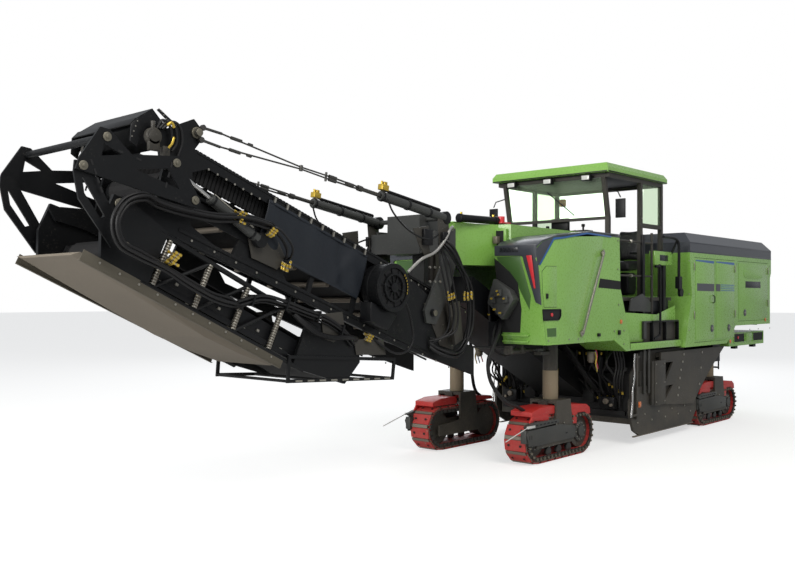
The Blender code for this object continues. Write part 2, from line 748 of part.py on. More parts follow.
def build_leg(name, x, y, carrier, column_top_z, steer_arm):
    """Column, yoke and track frame, one welded leg."""
    arm_in = TRACK_WIDTH / 2 + YOKE_ARM_GAP
    arm_out = arm_in + YOKE_ARM_THICKNESS
    wheel_radius = TRACK_HEIGHT / 2 - SHOE_THICKNESS - BAND_THICKNESS - 2 * SEAT
    straight = TRACK_LENGTH - TRACK_HEIGHT
    axle_z = TRACK_HEIGHT / 2
    arm_outline = [
        (x - YOKE_HALF_LENGTH, YOKE_TOP_Z), (x - ARM_REAR_REACH, ARM_BOTTOM_Z),
        (x + ARM_FRONT_REACH, ARM_BOTTOM_Z), (x + ARM_FRONT_REACH, ARM_SHOULDER_Z - YOKE_PLATE),
        (x + YOKE_HALF_LENGTH, ARM_SHOULDER_Z), (x + YOKE_HALF_LENGTH, YOKE_TOP_Z),
    ]
    pieces = [box(x - YOKE_HALF_LENGTH, x + YOKE_HALF_LENGTH, y - arm_out + WELD / 2, y + arm_out - WELD / 2,
                  YOKE_TOP_Z - YOKE_PLATE, YOKE_TOP_Z - WELD / 10)]
    pieces += [plate(arm_outline, y + side * arm_in, y + side * arm_out) for side in (1, -1)]
    pieces.append(post(x, y, YOKE_TOP_Z - YOKE_PLATE / 2, column_top_z, COLUMN_RADIUS, BIG_SIDES))
    pieces.append(box(x - FRAME_HALF_LENGTH, x + FRAME_HALF_LENGTH, y - FRAME_HALF_WIDTH, y + FRAME_HALF_WIDTH,
                      FRAME_LOW_Z, FRAME_HIGH_Z))
    pieces.append(disc((x, axle_z), y - arm_in - WELD, y + arm_in + WELD, AXLE_RADIUS))
    for end in (1, -1):
        pieces.append(disc((x + end * straight / 2, axle_z), y - WHEEL_HALF_WIDTH, y + WHEEL_HALF_WIDTH, wheel_radius))
        guard_z = TRACK_HEIGHT + GUARD_GAP
        root = x + end * (YOKE_HALF_LENGTH - WELD)
        tip = x + end * GUARD_REACH
        pieces.append(box(root, tip, y - GUARD_HALF_WIDTH, y + GUARD_HALF_WIDTH, guard_z, guard_z + GUARD_THICKNESS))
        pieces.append(box(root - end * WELD, root + end * YOKE_ARM_THICKNESS, y - GUARD_HALF_WIDTH / 2,
                          y + GUARD_HALF_WIDTH / 2, guard_z + WELD, YOKE_TOP_Z - WELD))
    if steer_arm:
        low = STEER_ARM_TOP_Z - STEER_ARM_THICKNESS
        pin_x = x + STEER_ARM_REACH
        pieces.append(box(x, pin_x + STEER_ARM_HALF_WIDTH, y - STEER_ARM_HALF_WIDTH, y + STEER_ARM_HALF_WIDTH,
                          low, STEER_ARM_TOP_Z))
        pin_top = STEER_ARM_TOP_Z + RUN + TIE_BOSS_HEIGHT + RUN
        pieces.append(post(pin_x, y, low + WELD, pin_top, STEER_PIN_RADIUS))
    finish(united(pieces), name, GREY, carrier)


def build_tracks():
    """Four steered legs with their tracks, and the tie rod of the front pair."""
    table = [  # name, x, y, column top, steering arm
        ("front_left", FRONT_AXLE_X, FRONT_TRACK_Y, FRONT_SLEEVE_TOP_Z - COLUMN_INSET, True),
        ("front_right", FRONT_AXLE_X, -FRONT_TRACK_Y, FRONT_SLEEVE_TOP_Z - COLUMN_INSET, True),
        ("rear_left", REAR_AXLE_X, REAR_TRACK_Y, RAIL_TOP_Z - COLUMN_INSET, False),
        ("rear_right", REAR_AXLE_X, -REAR_TRACK_Y, RAIL_TOP_Z - COLUMN_INSET, False),
    ]
    for name, x, y, top, arm in table:
        axis = empty(f"axis_steer_{name}", (x, y, YOKE_TOP_Z), "machine").name
        build_leg(f"leg_{name}", x, y, axis, top, arm)
        build_track(f"track_{name}", x, y, axis)
    pin_x = FRONT_AXLE_X + STEER_ARM_REACH
    low = STEER_ARM_TOP_Z + RUN
    high = low + TIE_BOSS_HEIGHT
    middle = (low + high) / 2
    axis = empty("axis_tie_rod", (pin_x, FRONT_TRACK_Y, middle), "axis_steer_front_left").name
    tube_y = FRONT_TRACK_Y - TIE_BOSS_RADIUS + WELD
    pieces = [rod((pin_x, -tube_y, middle), (pin_x, tube_y, middle), TIE_TUBE_RADIUS)]
    bores = []
    for side in (1, -1):
        pieces.append(post(pin_x, side * FRONT_TRACK_Y, low, high, TIE_BOSS_RADIUS))
        bores.append(post(pin_x, side * FRONT_TRACK_Y, low - OVERRUN, high + OVERRUN, bore_radius(STEER_PIN_RADIUS)))
    finish(without(united(pieces), bores), "tie_rod", BLACK, axis)


def build_main_frame():
    """Two rails with cross members and the sleeves that the columns slide in."""
    rear_x = BODY_INNER_REAR_X + SEAT
    pieces = []
    for side in (1, -1):
        pieces.append(box(rear_x, RAIL_FRONT_X, side * RAIL_INNER_Y, side * RAIL_OUTER_Y, RAIL_BOTTOM_Z, RAIL_TOP_Z))
    for x in (*CROSS_STATIONS, REAR_AXLE_X):
        pieces.append(box(x - CROSS_LENGTH / 2, x + CROSS_LENGTH / 2, -RAIL_INNER_Y - WELD, RAIL_INNER_Y + WELD,
                          RAIL_BOTTOM_Z + WELD, RAIL_TOP_Z - WELD))
    bores = []
    half = COLUMN_RADIUS + SLEEVE_WALL
    table = [(FRONT_AXLE_X, FRONT_TRACK_Y, FRONT_SLEEVE_BOTTOM_Z, FRONT_SLEEVE_TOP_Z),
             (REAR_AXLE_X, REAR_TRACK_Y, REAR_SLEEVE_BOTTOM_Z, RAIL_TOP_Z - WELD)]
    for x, y, low, high in table:
        for side in (1, -1):
            pieces.append(box(x - half, x + half, side * (RAIL_OUTER_Y - WELD), side * (y + half), low, high))
            bores.append(post(x, side * y, low - OVERRUN, high + OVERRUN,
                              bore_radius(COLUMN_RADIUS, BIG_SIDES), BIG_SIDES))
    finish(without(united(pieces), bores), "main_frame", BLACK, "machine")


def build_pods():
    """Left and right front bodies, pocketed round the column sleeves."""
    outline = shared(POD_SHARES, POD_REAR_X, POD_LENGTH, POD_BOTTOM_Z, POD_HEIGHT)
    half = COLUMN_RADIUS + SLEEVE_WALL + SLEEVE_CLEARANCE
    for name, side in (("left", 1), ("right", -1)):
        pod = plate(outline, side * (RAIL_OUTER_Y + SEAT), side * POD_OUTER_Y)
        pocket = box(FRONT_AXLE_X - half, FRONT_AXLE_X + half, side * (RAIL_OUTER_Y - OVERRUN),
                     side * (FRONT_TRACK_Y + half), FRONT_SLEEVE_BOTTOM_Z - OVERRUN * 3,
                     FRONT_SLEEVE_TOP_Z + SEAT)
        finish(without(pod, [pocket]), f"pod_{name}", GREEN, "machine")


def build_nose():
    """The tapered box between the pods, and the slew post on its tip."""
    shoulder_y = RAIL_OUTER_Y
    points = [(NOSE_REAR_X, -shoulder_y), (NOSE_SHOULDER_X - SLEEVE_WALL, -shoulder_y),
              (NOSE_SHOULDER_X, -NOSE_SHOULDER_Y), (NOSE_TIP_X, -NOSE_TIP_Y), (NOSE_TIP_X, NOSE_TIP_Y),
              (NOSE_SHOULDER_X, NOSE_SHOULDER_Y), (NOSE_SHOULDER_X - SLEEVE_WALL, shoulder_y),
              (NOSE_REAR_X, shoulder_y)]
    finish(plan(points, NOSE_BOTTOM_Z, NOSE_TOP_Z), "nose", GREEN, "machine")
    pieces = [post(SLEW_X, 0, POST_BOTTOM_Z, POST_TOP_Z, POST_RADIUS, BIG_SIDES)]
    pieces.append(box(NOSE_TIP_X + SEAT, SLEW_X, -POST_BLOCK_HALF_WIDTH, POST_BLOCK_HALF_WIDTH,
                      POST_BLOCK_BOTTOM_Z, POST_BLOCK_TOP_Z))
    finish(united(pieces), "slew_post", GREY, "machine")


def build_rear_body():
    """Engine bay shell with its six doors, the hood, the engine and the rear box."""
    half = BODY_HALF_WIDTH
    inner = half - BODY_WALL
    body_top = BODY_BOTTOM_Z + BODY_HEIGHT
    shell = plate(shared(BODY_SHARES, BODY_REAR_X, BODY_LENGTH, BODY_BOTTOM_Z, BODY_HEIGHT), -half, half)
    rail_y = RAIL_OUTER_Y + SEAT
    cutters = [box(BODY_INNER_REAR_X, BODY_INNER_FRONT_X, -inner, inner, BODY_BOTTOM_Z - OVERRUN, body_top + OVERRUN),
               box(BODY_INNER_FRONT_X - OVERRUN, HOOD_FRONT_X + BODY_LENGTH / 2, -rail_y, rail_y,
                   BODY_BOTTOM_Z - OVERRUN * 2, RAIL_TOP_Z + SEAT)]
    for door, shares in DOOR_SHARES.items():
        outline = shared(shares, BODY_REAR_X, BODY_LENGTH, BODY_BOTTOM_Z, BODY_HEIGHT)
        hinge_x = outline[0][0]
        toward = 1 if outline[2][0] > hinge_x else -1
        for side in (1, -1):
            cutters.append(plate(outline, side * (inner - WELD), side * (half + OVERRUN)))
            leaf = []
            for x, z in outline:
                on_hinge = abs(x - hinge_x) < DOOR_GAP
                x_in = x + toward * SEAT if on_hinge else x - toward * DOOR_GAP
                if not on_hinge and abs(x - outline[2][0]) > DOOR_GAP:
                    x_in = x
                up = DOOR_GAP if z < (BODY_BOTTOM_Z + body_top) / 2 else -DOOR_GAP
                leaf.append((x_in, z + up))
            name = f"{door}_{'left' if side > 0 else 'right'}"
            axis = empty(f"axis_{name}", (hinge_x, side * half, BODY_BOTTOM_Z), "machine").name
            finish(plate(leaf, side * inner, side * half), name, GREEN, axis)
    finish(without(shell, cutters), "rear_body", GREEN, "machine")
    build_hood(half, body_top)
    rail_top = RAIL_TOP_Z + SEAT
    engine = box(ENGINE_FRONT_X - ENGINE_LENGTH, ENGINE_FRONT_X, -ENGINE_HALF_WIDTH, ENGINE_HALF_WIDTH,
                 rail_top, rail_top + ENGINE_HEIGHT)
    finish(engine, "engine", BLACK, "machine")
    box_top = RAIL_BOTTOM_Z - SEAT
    rear_x = BODY_REAR_X - REAR_BOX_OVERHANG
    rear = box(rear_x, rear_x + REAR_BOX_LENGTH, -REAR_BOX_HALF_WIDTH, REAR_BOX_HALF_WIDTH,
               box_top - REAR_BOX_HEIGHT, box_top)
    finish(rear, "rear_box", GREEN, "machine")


def build_hood(half, body_top):
    """The hollow hood, hinged along its rear lower edge."""
    low = body_top + SEAT
    corners = []
    hollow = []
    for side in (1, -1):
        for x, ridge_x in ((BODY_REAR_X, BODY_REAR_X + HOOD_RIDGE_INSET_REAR),
                           (HOOD_FRONT_X, HOOD_FRONT_X - HOOD_RIDGE_INSET_FRONT)):
            inward = HOOD_WALL if x == BODY_REAR_X else -HOOD_WALL
            ridge_y = side * (half - HOOD_RIDGE_INSET_Y)
            corners += [(x, side * half, low), (x, side * half, low + HOOD_BAND_HEIGHT),
                        (ridge_x, ridge_y, low + HOOD_HEIGHT)]
            wall_y = side * (half - HOOD_WALL)
            hollow += [(x + inward, wall_y, low - OVERRUN), (x + inward, wall_y, low + HOOD_BAND_HEIGHT - HOOD_WALL / 2),
                       (ridge_x + inward, ridge_y - side * HOOD_WALL / 2, low + HOOD_HEIGHT - HOOD_WALL)]
    axis = empty("axis_hood", (BODY_REAR_X, 0, body_top), "machine").name
    finish(without(hull(corners), [hull(hollow)]), "hood", GREY, axis)


def build_platform():
    """Deck with its steps, sills and handrails, then console and seats."""
    deck_low = DECK_TOP_Z - DECK_THICKNESS
    pieces = [box(DECK_REAR_X, DECK_FRONT_X, -DECK_HALF_WIDTH, DECK_HALF_WIDTH, deck_low, DECK_TOP_Z)]
    for side in (1, -1):
        pieces.append(box(DECK_REAR_X + OVERRUN, DECK_FRONT_X - OVERRUN, side * (RAIL_INNER_Y + WELD),
                          side * (RAIL_OUTER_Y - WELD), RAIL_TOP_Z + SEAT, deck_low + WELD))
        pieces += access_pieces(side)
    finish(united(pieces), "platform", GREY, "machine")
    floor = DECK_TOP_Z + SEAT
    console = shared(CONSOLE_SHARES, CONSOLE_FRONT_X - CONSOLE_LENGTH, CONSOLE_LENGTH, floor, CONSOLE_HEIGHT)
    finish(plate(console, -CONSOLE_HALF_WIDTH, CONSOLE_HALF_WIDTH), "console", GREY, "machine")
    seat = shared(SEAT_SHARES, SEAT_REAR_X, SEAT_LENGTH, floor, SEAT_HEIGHT)
    seats = [plate(seat, side * SEAT_Y - SEAT_WIDTH / 2, side * SEAT_Y + SEAT_WIDTH / 2) for side in (1, -1)]
    base_rear = SEAT_REAR_X + SEAT_SHARES[0][0] * SEAT_LENGTH + WELD
    base_front = SEAT_REAR_X + SEAT_SHARES[1][0] * SEAT_LENGTH - WELD
    seats.append(box(base_rear, base_front, -SEAT_Y, SEAT_Y, floor, floor + SEAT_BASE_HEIGHT))
    finish(united(seats), "seats", SEAT_BLACK, "machine")
    build_canopy_frame(floor)
    build_canopy_roof()


def access_pieces(side):
    """Sill, steps and handrail of one side, to be welded to the deck."""
    sill_top = SILL_BOTTOM_Z + SILL_HEIGHT
    pieces = [box(SILL_REAR_X + SEAT, SILL_FRONT_X - SEAT, side * SILL_INNER_Y, side * SILL_OUTER_Y, SILL_BOTTOM_Z, sill_top)]
    pieces.append(box(STEP_REAR_X, STEP_FRONT_X, side * (RAIL_OUTER_Y + SEAT), side * STEP_OUTER_Y,
                      sill_top - WELD, STEP_TOP_Z))
    y = side * (DECK_HALF_WIDTH + RAIL_TUBE_RADIUS / 2)
    for x in HANDRAIL_POSTS_X:
        pieces.append(post(x, y, STEP_TOP_Z - WELD, HANDRAIL_TOP_Z, RAIL_TUBE_RADIUS))
    for z, pod_share in zip(HANDRAIL_BARS_Z, HANDRAIL_POD_SHARES):
        pod_x = POD_REAR_X + pod_share * POD_LENGTH
        pieces.append(rod((HANDRAIL_POSTS_X[1], y, z), (pod_x - 2 * SEAT, y, z), RAIL_TUBE_RADIUS * 3 / 4))
    return pieces


def build_canopy_frame(floor):
    """Posts, screen frames and top ring, one welded frame, with its glass."""
    half = POST_SIZE / 2
    ring_z = CANOPY_BOTTOM_Z - SEAT - half
    pieces = []
    for side in (1, -1):
        y = side * POST_Y
        for x in (POST_MIDDLE_X, POST_REAR_X):
            pieces.append(box(x - half, x + half, y - half, y + half, floor, ring_z))
        pieces.append(box(POST_REAR_X - half + WELD / 5, SCREEN_TOP_X, y - half + WELD / 5, y + half - WELD / 5,
                          ring_z - half, ring_z + half))
        pieces.append(box(POST_REAR_X, POST_MIDDLE_X, y - half + WELD / 5, y + half - WELD / 5,
                          SILL_RAIL_Z - half, SILL_RAIL_Z + half))
        screen_y = side * SCREEN_Y
        pieces.append(box(SCREEN_BOTTOM_X - half, SCREEN_BOTTOM_X + half, screen_y - half, screen_y + half,
                          floor, SCREEN_BOTTOM_Z + half / 4))
        pieces.append(beam((SCREEN_BOTTOM_X, screen_y, SCREEN_BOTTOM_Z), (SCREEN_TOP_X, screen_y, SCREEN_TOP_Z),
                           POST_SIZE - WELD / 5, POST_SIZE - WELD / 5))
    reach = POST_Y + half - WELD / 3
    screen_reach = SCREEN_Y + half - WELD / 3
    pieces.append(box(SCREEN_TOP_X - half, SCREEN_TOP_X + half, -reach, reach, ring_z - half + WELD / 5,
                      ring_z + half - WELD / 5))
    pieces.append(box(POST_REAR_X - half + WELD / 3, POST_REAR_X + half, -reach, reach, ring_z - half + WELD / 5,
                      ring_z + half - WELD / 5))
    pieces.append(box(SCREEN_BOTTOM_X - half + WELD / 5, SCREEN_BOTTOM_X + half - WELD / 5, -screen_reach, screen_reach,
                      SCREEN_BOTTOM_Z - half, SCREEN_BOTTOM_Z + half / 3))
    finish(united(pieces), "canopy_frame", GREY, "machine")
    lean = (SCREEN_TOP_X - SCREEN_BOTTOM_X) / (SCREEN_TOP_Z - SCREEN_BOTTOM_Z)
    low, high = SCREEN_BOTTOM_Z + half / 3 + SEAT, ring_z - half - SEAT
    pane = []
    for z, front in ((low, 1), (high, 1), (high, -1), (low, -1)):
        pane.append((SCREEN_BOTTOM_X + lean * (z - SCREEN_BOTTOM_Z) + front * GLASS / 2, z))
    reach = SCREEN_Y - half + WELD / 10 - SEAT
    finish(plate(pane, -reach, reach), "windscreen", CLEAR, "machine")
    for name, side in (("left", 1), ("right", -1)):
        y = side * POST_Y
        pane = box(POST_REAR_X + half + SEAT, POST_MIDDLE_X - half - SEAT, y - GLASS / 2, y + GLASS / 2,
                   SILL_RAIL_Z + half + SEAT, ring_z - half - SEAT)
        finish(pane, f"side_glass_{name}", CLEAR, "machine")


def build_canopy_roof():
    """Hollow roof with chamfered edges."""
    corners = []
    top = CANOPY_BOTTOM_Z + CANOPY_HEIGHT
    for side in (1, -1):
        for x, end in ((CANOPY_REAR_X, 1), (CANOPY_FRONT_X, -1)):
            y = side * CANOPY_HALF_WIDTH
            corners += [(x, y, CANOPY_BOTTOM_Z), (x, y, CANOPY_BOTTOM_Z + CANOPY_HEIGHT / 2),
                        (x + end * CANOPY_INSET, y - side * CANOPY_INSET, top)]
    inner = CANOPY_HALF_WIDTH - CANOPY_WALL * 2
    hollow = box(CANOPY_REAR_X + CANOPY_WALL * 3, CANOPY_FRONT_X - CANOPY_WALL * 4, -inner, inner,
                 CANOPY_BOTTOM_Z - OVERRUN, top - CANOPY_WALL)
    finish(without(hull(corners), [hollow]), "canopy_roof", GREEN, "machine")


def build_drum():
    """Milling drum with spiral rows of picks, turning in its housing."""
    axis = empty("axis_drum", (DRUM_X, 0, DRUM_Z), "machine").name
    shaft_y = HOUSING_HALF_WIDTH - HOUSING_WALL - SEAT
    centre = (DRUM_X, DRUM_Z)
    pieces = [disc(centre, -DRUM_HALF_WIDTH, DRUM_HALF_WIDTH, DRUM_CORE_RADIUS, BIG_SIDES),
              disc(centre, -shaft_y, shaft_y, DRUM_SHAFT_RADIUS)]
    for spiral in range(PICK_SPIRALS):
        for row in range(PICK_ROWS):
            share = (row + 1 / 2) / PICK_ROWS
            y = -DRUM_HALF_WIDTH + 2 * DRUM_HALF_WIDTH * share
            turn = 2 * math.pi * (spiral / PICK_SPIRALS + PICK_TURN_SHARE * abs(2 * share - 1))
            out = Vector((math.cos(turn), 0, math.sin(turn)))
            middle = Vector((DRUM_X, y, DRUM_Z))
            bm = bmesh.new()
            bmesh.ops.create_cone(bm, cap_ends=True, segments=4, radius1=PICK_SIZE * 3 / 4, radius2=PICK_SIZE / 4,
                                  depth=DRUM_CUTTING_RADIUS - DRUM_CORE_RADIUS + PICK_SIZE)
            place, _ = aim(middle + out * (DRUM_CORE_RADIUS - PICK_SIZE), middle + out * DRUM_CUTTING_RADIUS)
            bmesh.ops.transform(bm, matrix=place, verts=bm.verts)
            pieces.append(mesh_object("pick", bm))
    finish(united(pieces), "milling_drum", BLACK, axis)


def build_housing():
    """Drum housing with skirts, guides and the scraper behind it."""
    half = HOUSING_HALF_WIDTH
    outline = shared(HOUSING_SHARES, HOUSING_REAR_X, HOUSING_LENGTH, HOUSING_BOTTOM_Z, HOUSING_HEIGHT)
    shell = plate(outline, -half, half)
    inner = half - HOUSING_WALL
    cutters = [disc((DRUM_X, DRUM_Z), -inner, inner, HOUSING_BORE_RADIUS, BIG_SIDES),
               box(DRUM_X - HOUSING_BORE_RADIUS, DRUM_X + HOUSING_BORE_RADIUS, -inner, inner,
                   HOUSING_BOTTOM_Z - OVERRUN, DRUM_Z)]
    pieces = [without(shell, cutters)]
    top = HOUSING_BOTTOM_Z + HOUSING_HEIGHT
    pieces.append(box(DRUM_X - PEDESTAL_LENGTH / 2, DRUM_X + PEDESTAL_LENGTH / 2, -RAIL_OUTER_Y, RAIL_OUTER_Y,
                      top - WELD, RAIL_BOTTOM_Z - SEAT))
    skirt = shared(SKIRT_SHARES, SKIRT_REAR_X, SKIRT_LENGTH, SKIRT_BOTTOM_Z, SKIRT_HEIGHT)
    windows = [shared(shares, SKIRT_REAR_X, SKIRT_LENGTH, SKIRT_BOTTOM_Z, SKIRT_HEIGHT)
               for shares in SKIRT_WINDOW_SHARES]
    skirt_top = SKIRT_BOTTOM_Z + SKIRT_HEIGHT
    for side in (1, -1):
        pieces.append(plate(skirt, side * SKIRT_INNER_Y, side * (SKIRT_INNER_Y + SKIRT_THICKNESS), holes=windows))
        beam_front = SKIRT_REAR_X + SKIRT_SHARES[8][0] * SKIRT_LENGTH
        beam_rear = HOUSING_REAR_X + HOUSING_SHARES[3][0] * HOUSING_LENGTH
        pieces.append(box(beam_rear, beam_front - WELD, side * (half - WELD), side * (SKIRT_INNER_Y + WELD),
                          skirt_top - SKIRT_BEAM_HEIGHT, skirt_top - WELD))
        for share in GUIDE_PLACE_SHARES:
            x = HOUSING_REAR_X + share * HOUSING_LENGTH
            pieces.append(box(x - GUIDE_LENGTH / 2, x + GUIDE_LENGTH / 2, side * (half - WELD),
                              side * (SIDE_PLATE_INNER_Y - SEAT), GUIDE_BOTTOM_Z, GUIDE_TOP_Z - GUIDE_LENGTH))
    finish(united(pieces), "drum_housing", GREY, "machine")
    scraper = box(HOUSING_REAR_X - SEAT - SCRAPER_THICKNESS, HOUSING_REAR_X - SEAT, -SCRAPER_HALF_WIDTH,
                  SCRAPER_HALF_WIDTH, SCRAPER_BOTTOM_Z, SCRAPER_TOP_Z)
    finish(scraper, "scraper", BLACK, "machine")
    outline = shared(SIDE_PLATE_SHARES, SIDE_PLATE_REAR_X, SIDE_PLATE_LENGTH, SIDE_PLATE_BOTTOM_Z, SIDE_PLATE_HEIGHT)
    for name, side in (("left", 1), ("right", -1)):
        near = side * SIDE_PLATE_INNER_Y
        axis = empty(f"axis_side_plate_{name}", (DRUM_X, near, SIDE_PLATE_BOTTOM_Z), "machine").name
        finish(plate(outline, near, near + side * SIDE_PLATE_THICKNESS), f"side_plate_{name}", GREY, axis)


def build_loader():
    """Loading conveyor that climbs from the drum housing to the slew post."""
    tail_x = HOUSING_REAR_X + HOUSING_LENGTH + SEAT
    outline = [(tail_x, LOADER_TAIL_BOTTOM_Z), (LOADER_HEAD_X, LOADER_HEAD_BOTTOM_Z),
               (LOADER_HEAD_X - LOADER_HEAD_SETBACK, LOADER_HEAD_TOP_Z), (tail_x, LOADER_TAIL_TOP_Z)]
    finish(plate(outline, -LOADER_HALF_WIDTH, LOADER_HALF_WIDTH), "loading_conveyor", BLACK, "machine")


def build_tower():
    """Slewing tower, with arms down to the discharge conveyor's pivot."""
    axis = empty("axis_slew", (SLEW_X, 0, UPPER_EAR_BOTTOM_Z), "machine").name
    pieces = [
        box(TOWER_BACK_X, TOWER_FRONT_X, -TOWER_HALF_WIDTH, TOWER_HALF_WIDTH, TOWER_HEAD_BOTTOM_Z, TOWER_TOP_Z),
        box(TOWER_NECK_REAR_X, TOWER_NECK_FRONT_X, -TOWER_NECK_HALF_WIDTH, TOWER_NECK_HALF_WIDTH,
            LOWER_EAR_BOTTOM_Z + WELD / 2, TOWER_HEAD_BOTTOM_Z + WELD),
    ]
    arm_out = TOWER_ARM_INNER_Y + TOWER_ARM_PLATE
    pieces.append(box(TOWER_BEAM_REAR_X, TOWER_FRONT_X - WELD, WELD / 2 - arm_out, arm_out - WELD / 2,
                      TOWER_BEAM_BOTTOM_Z, TOWER_BEAM_TOP_Z))
    pivot = (MAIN_PIVOT_X, MAIN_PIVOT_Z)
    arm = shared(TOWER_ARM_SHARES, TOWER_ARM_X, TOWER_ARM_LENGTH, TOWER_ARM_Z, TOWER_ARM_HEIGHT)
    cutters = []
    for side in (1, -1):
        pieces.append(plate(arm, side * TOWER_ARM_INNER_Y, side * arm_out))
        cutters.append(disc(pivot, side * (TOWER_ARM_INNER_Y - WELD / 2), side * (arm_out + OVERRUN),
                            bore_radius(MAIN_PIVOT_RADIUS, BIG_SIDES), BIG_SIDES))
    for low, high in ((UPPER_EAR_BOTTOM_Z, UPPER_EAR_TOP_Z), (LOWER_EAR_BOTTOM_Z, LOWER_EAR_TOP_Z)):
        pieces.append(post(SLEW_X, 0, low, high - WELD / 5, EAR_RADIUS, BIG_SIDES))
        cutters.append(post(SLEW_X, 0, low - WELD, high + WELD, bore_radius(POST_RADIUS, BIG_SIDES), BIG_SIDES))
    pin_end = LIFT_Y + EYE_HALF_WIDTH
    pieces.append(disc((LIFT_BASE_X, LIFT_BASE_Z), -pin_end, pin_end, LIFT_PIN_RADIUS))
    finish(without(united(pieces), cutters), "tower", GREY, axis)
    return axis


def build_conveyor_main(tower):
    """Discharge conveyor's main section with its belt, fans, head cover and brackets."""
    axis = empty("axis_lift", (MAIN_PIVOT_X, 0, MAIN_PIVOT_Z), tower).name
    inner, outer = FRAME_INNER_Y, FRAME_INNER_Y + FRAME_PLATE
    pieces = [beam(at_y(main_point(MAIN_TAIL_ROLLER_SHARE, PAN_SHARE), 0), at_y(main_point(MAIN_HEAD_ROLLER_SHARE, PAN_SHARE), 0),
                   2 * (inner + WELD), PAN_THICKNESS)]
    for share in (MAIN_TAIL_ROLLER_SHARE, MAIN_HEAD_ROLLER_SHARE):
        pieces.append(roller(main_point(share, PAN_SHARE), inner + WELD, MAIN_ANGLE))
    hook = (HOOK_X, HOOK_Z)
    hook_plate = [turned(hook, 0, along * HOOK_PLATE_LENGTH, up * HOOK_PLATE_LENGTH) for along, up in HOOK_PLATE_SHARES]
    fold_bracket = [main_point(along, up) for along, up in FOLD_BRACKET_SHARES]
    for side in (1, -1):
        middle = side * (inner + outer) / 2
        near, far = side * inner, side * outer
        pieces.append(plate([main_point(*pair) for pair in TAIL_PLATE_SHARES], near, far))
        pieces.append(plate([main_point(*pair) for pair in HEAD_PLATE_SHARES], near, far))
        for up in (MAIN_RAIL_LOW_SHARE, MAIN_RAIL_HIGH_SHARE):
            start_share = TAIL_PLATE_SHARES[1][0] - 1 / 50
            end_share = HEAD_PLATE_SHARES[0][0] + 1 / 10
            pieces.append(beam(at_y(main_point(start_share, up), middle), at_y(main_point(end_share, up), middle),
                               FRAME_PLATE - WELD / 5, RAIL_DEPTH))
        for along in MAIN_POST_SHARES:
            pieces.append(beam(at_y(main_point(along, MAIN_RAIL_LOW_SHARE), middle),
                               at_y(main_point(along, MAIN_RAIL_HIGH_SHARE), middle), FRAME_PLATE - WELD / 3, POST_WIDTH))
        pieces.append(plate(hook_plate, near + side * WELD / 10, far - side * WELD / 10))
        pieces.append(plate(fold_bracket, near + side * WELD / 10, far - side * WELD / 10))
        pieces.append(disc(hook, near + side * WELD, side * (LIFT_Y + EYE_HALF_WIDTH), HOOK_PIN_RADIUS, SIDES // 2))
        pieces.append(disc((MAIN_PIVOT_X, MAIN_PIVOT_Z), near + side * WELD, side * (TOWER_ARM_INNER_Y + TOWER_ARM_PLATE),
                           MAIN_PIVOT_RADIUS, BIG_SIDES))
        pieces.append(disc(main_point(*FAN_SHARES), far - side * WELD * 2, far + side * FAN_DEPTH, FAN_RADIUS, BIG_SIDES))
        pieces.append(disc((FOLD_X, FOLD_Z), near + side * WELD, side * (FRONT_INNER_Y + FRONT_PLATE), FOLD_PIN_RADIUS))
    finish(united(pieces), "conveyor_main", BLACK, axis)
    build_side_brackets(axis)
    build_belt("belt_main", [main_point(share, PAN_SHARE) for share in (MAIN_TAIL_ROLLER_SHARE, MAIN_HEAD_ROLLER_SHARE)],
               MAIN_ANGLE, axis)
    cover = shared(HEAD_COVER_SHARES, HEAD_COVER_REAR_X, HEAD_COVER_LENGTH, HEAD_COVER_BOTTOM_Z, HEAD_COVER_HEIGHT)
    finish(plate(cover, -HEAD_COVER_HALF_WIDTH, HEAD_COVER_HALF_WIDTH), "head_cover", GREY, axis)
    return axis


def build_side_brackets(carrier):
    """Side plates with the pins of the crank and the fold cylinders, and the dust cloths."""
    outline = [main_point(along, up) for along, up in CYLINDER_BRACKET_SHARES]
    for name, side in (("left", 1), ("right", -1)):
        seat = side * (FRAME_INNER_Y + FRAME_PLATE + SEAT)
        middle = seat + side * CYLINDER_BRACKET_THICKNESS / 2
        pieces = [
            plate(outline, seat, seat + side * CYLINDER_BRACKET_THICKNESS),
            disc((CRANK_X, CRANK_Z), middle, side * (CRANK_INNER_Y + CRANK_PLATE), CRANK_PIN_RADIUS),
            disc((FOLD_BASE_X, FOLD_BASE_Z), middle, side * (FOLD_CYLINDER_Y + EYE_HALF_WIDTH), FOLD_PIN),
        ]
        finish(united(pieces), f"cylinder_bracket_{name}", BLACK, carrier)
        cloth = [main_point(along, up) for along, up in CLOTH_SHARES]
        rail_face = side * (FRAME_INNER_Y + FRAME_PLATE - WELD / 10 + SEAT)
        finish(plate(cloth, rail_face, rail_face + side * CLOTH_THICKNESS), f"side_cloth_{name}", BLACK, carrier)


def roller(centre, half_width, angle):
    """A belt roller whose facets lie on the belt's own."""
    ring = [turned(centre, angle, (ROLLER_RADIUS - SEAT) * math.cos(step * math.pi / ARC_STEPS),
                   (ROLLER_RADIUS - SEAT) * math.sin(step * math.pi / ARC_STEPS)) for step in range(2 * ARC_STEPS)]
    return plate(ring, -half_width, half_width)


def build_belt(name, centres, angle, carrier):
    """Endless belt round two rollers."""
    loops = []
    for radius in (ROLLER_RADIUS + BELT_THICKNESS, ROLLER_RADIUS):
        loop = []
        for centre, begin in ((centres[0], math.pi / 2), (centres[1], -math.pi / 2)):
            for step in range(ARC_STEPS + 1):
                turn = angle + begin + step * math.pi / ARC_STEPS
                loop.append((centre[0] + radius * math.cos(turn), centre[1] + radius * math.sin(turn)))
        loops.append(loop)
    finish(plate(loops[0], -BELT_HALF_WIDTH, BELT_HALF_WIDTH, holes=[loops[1]]), name, RUBBER, carrier)


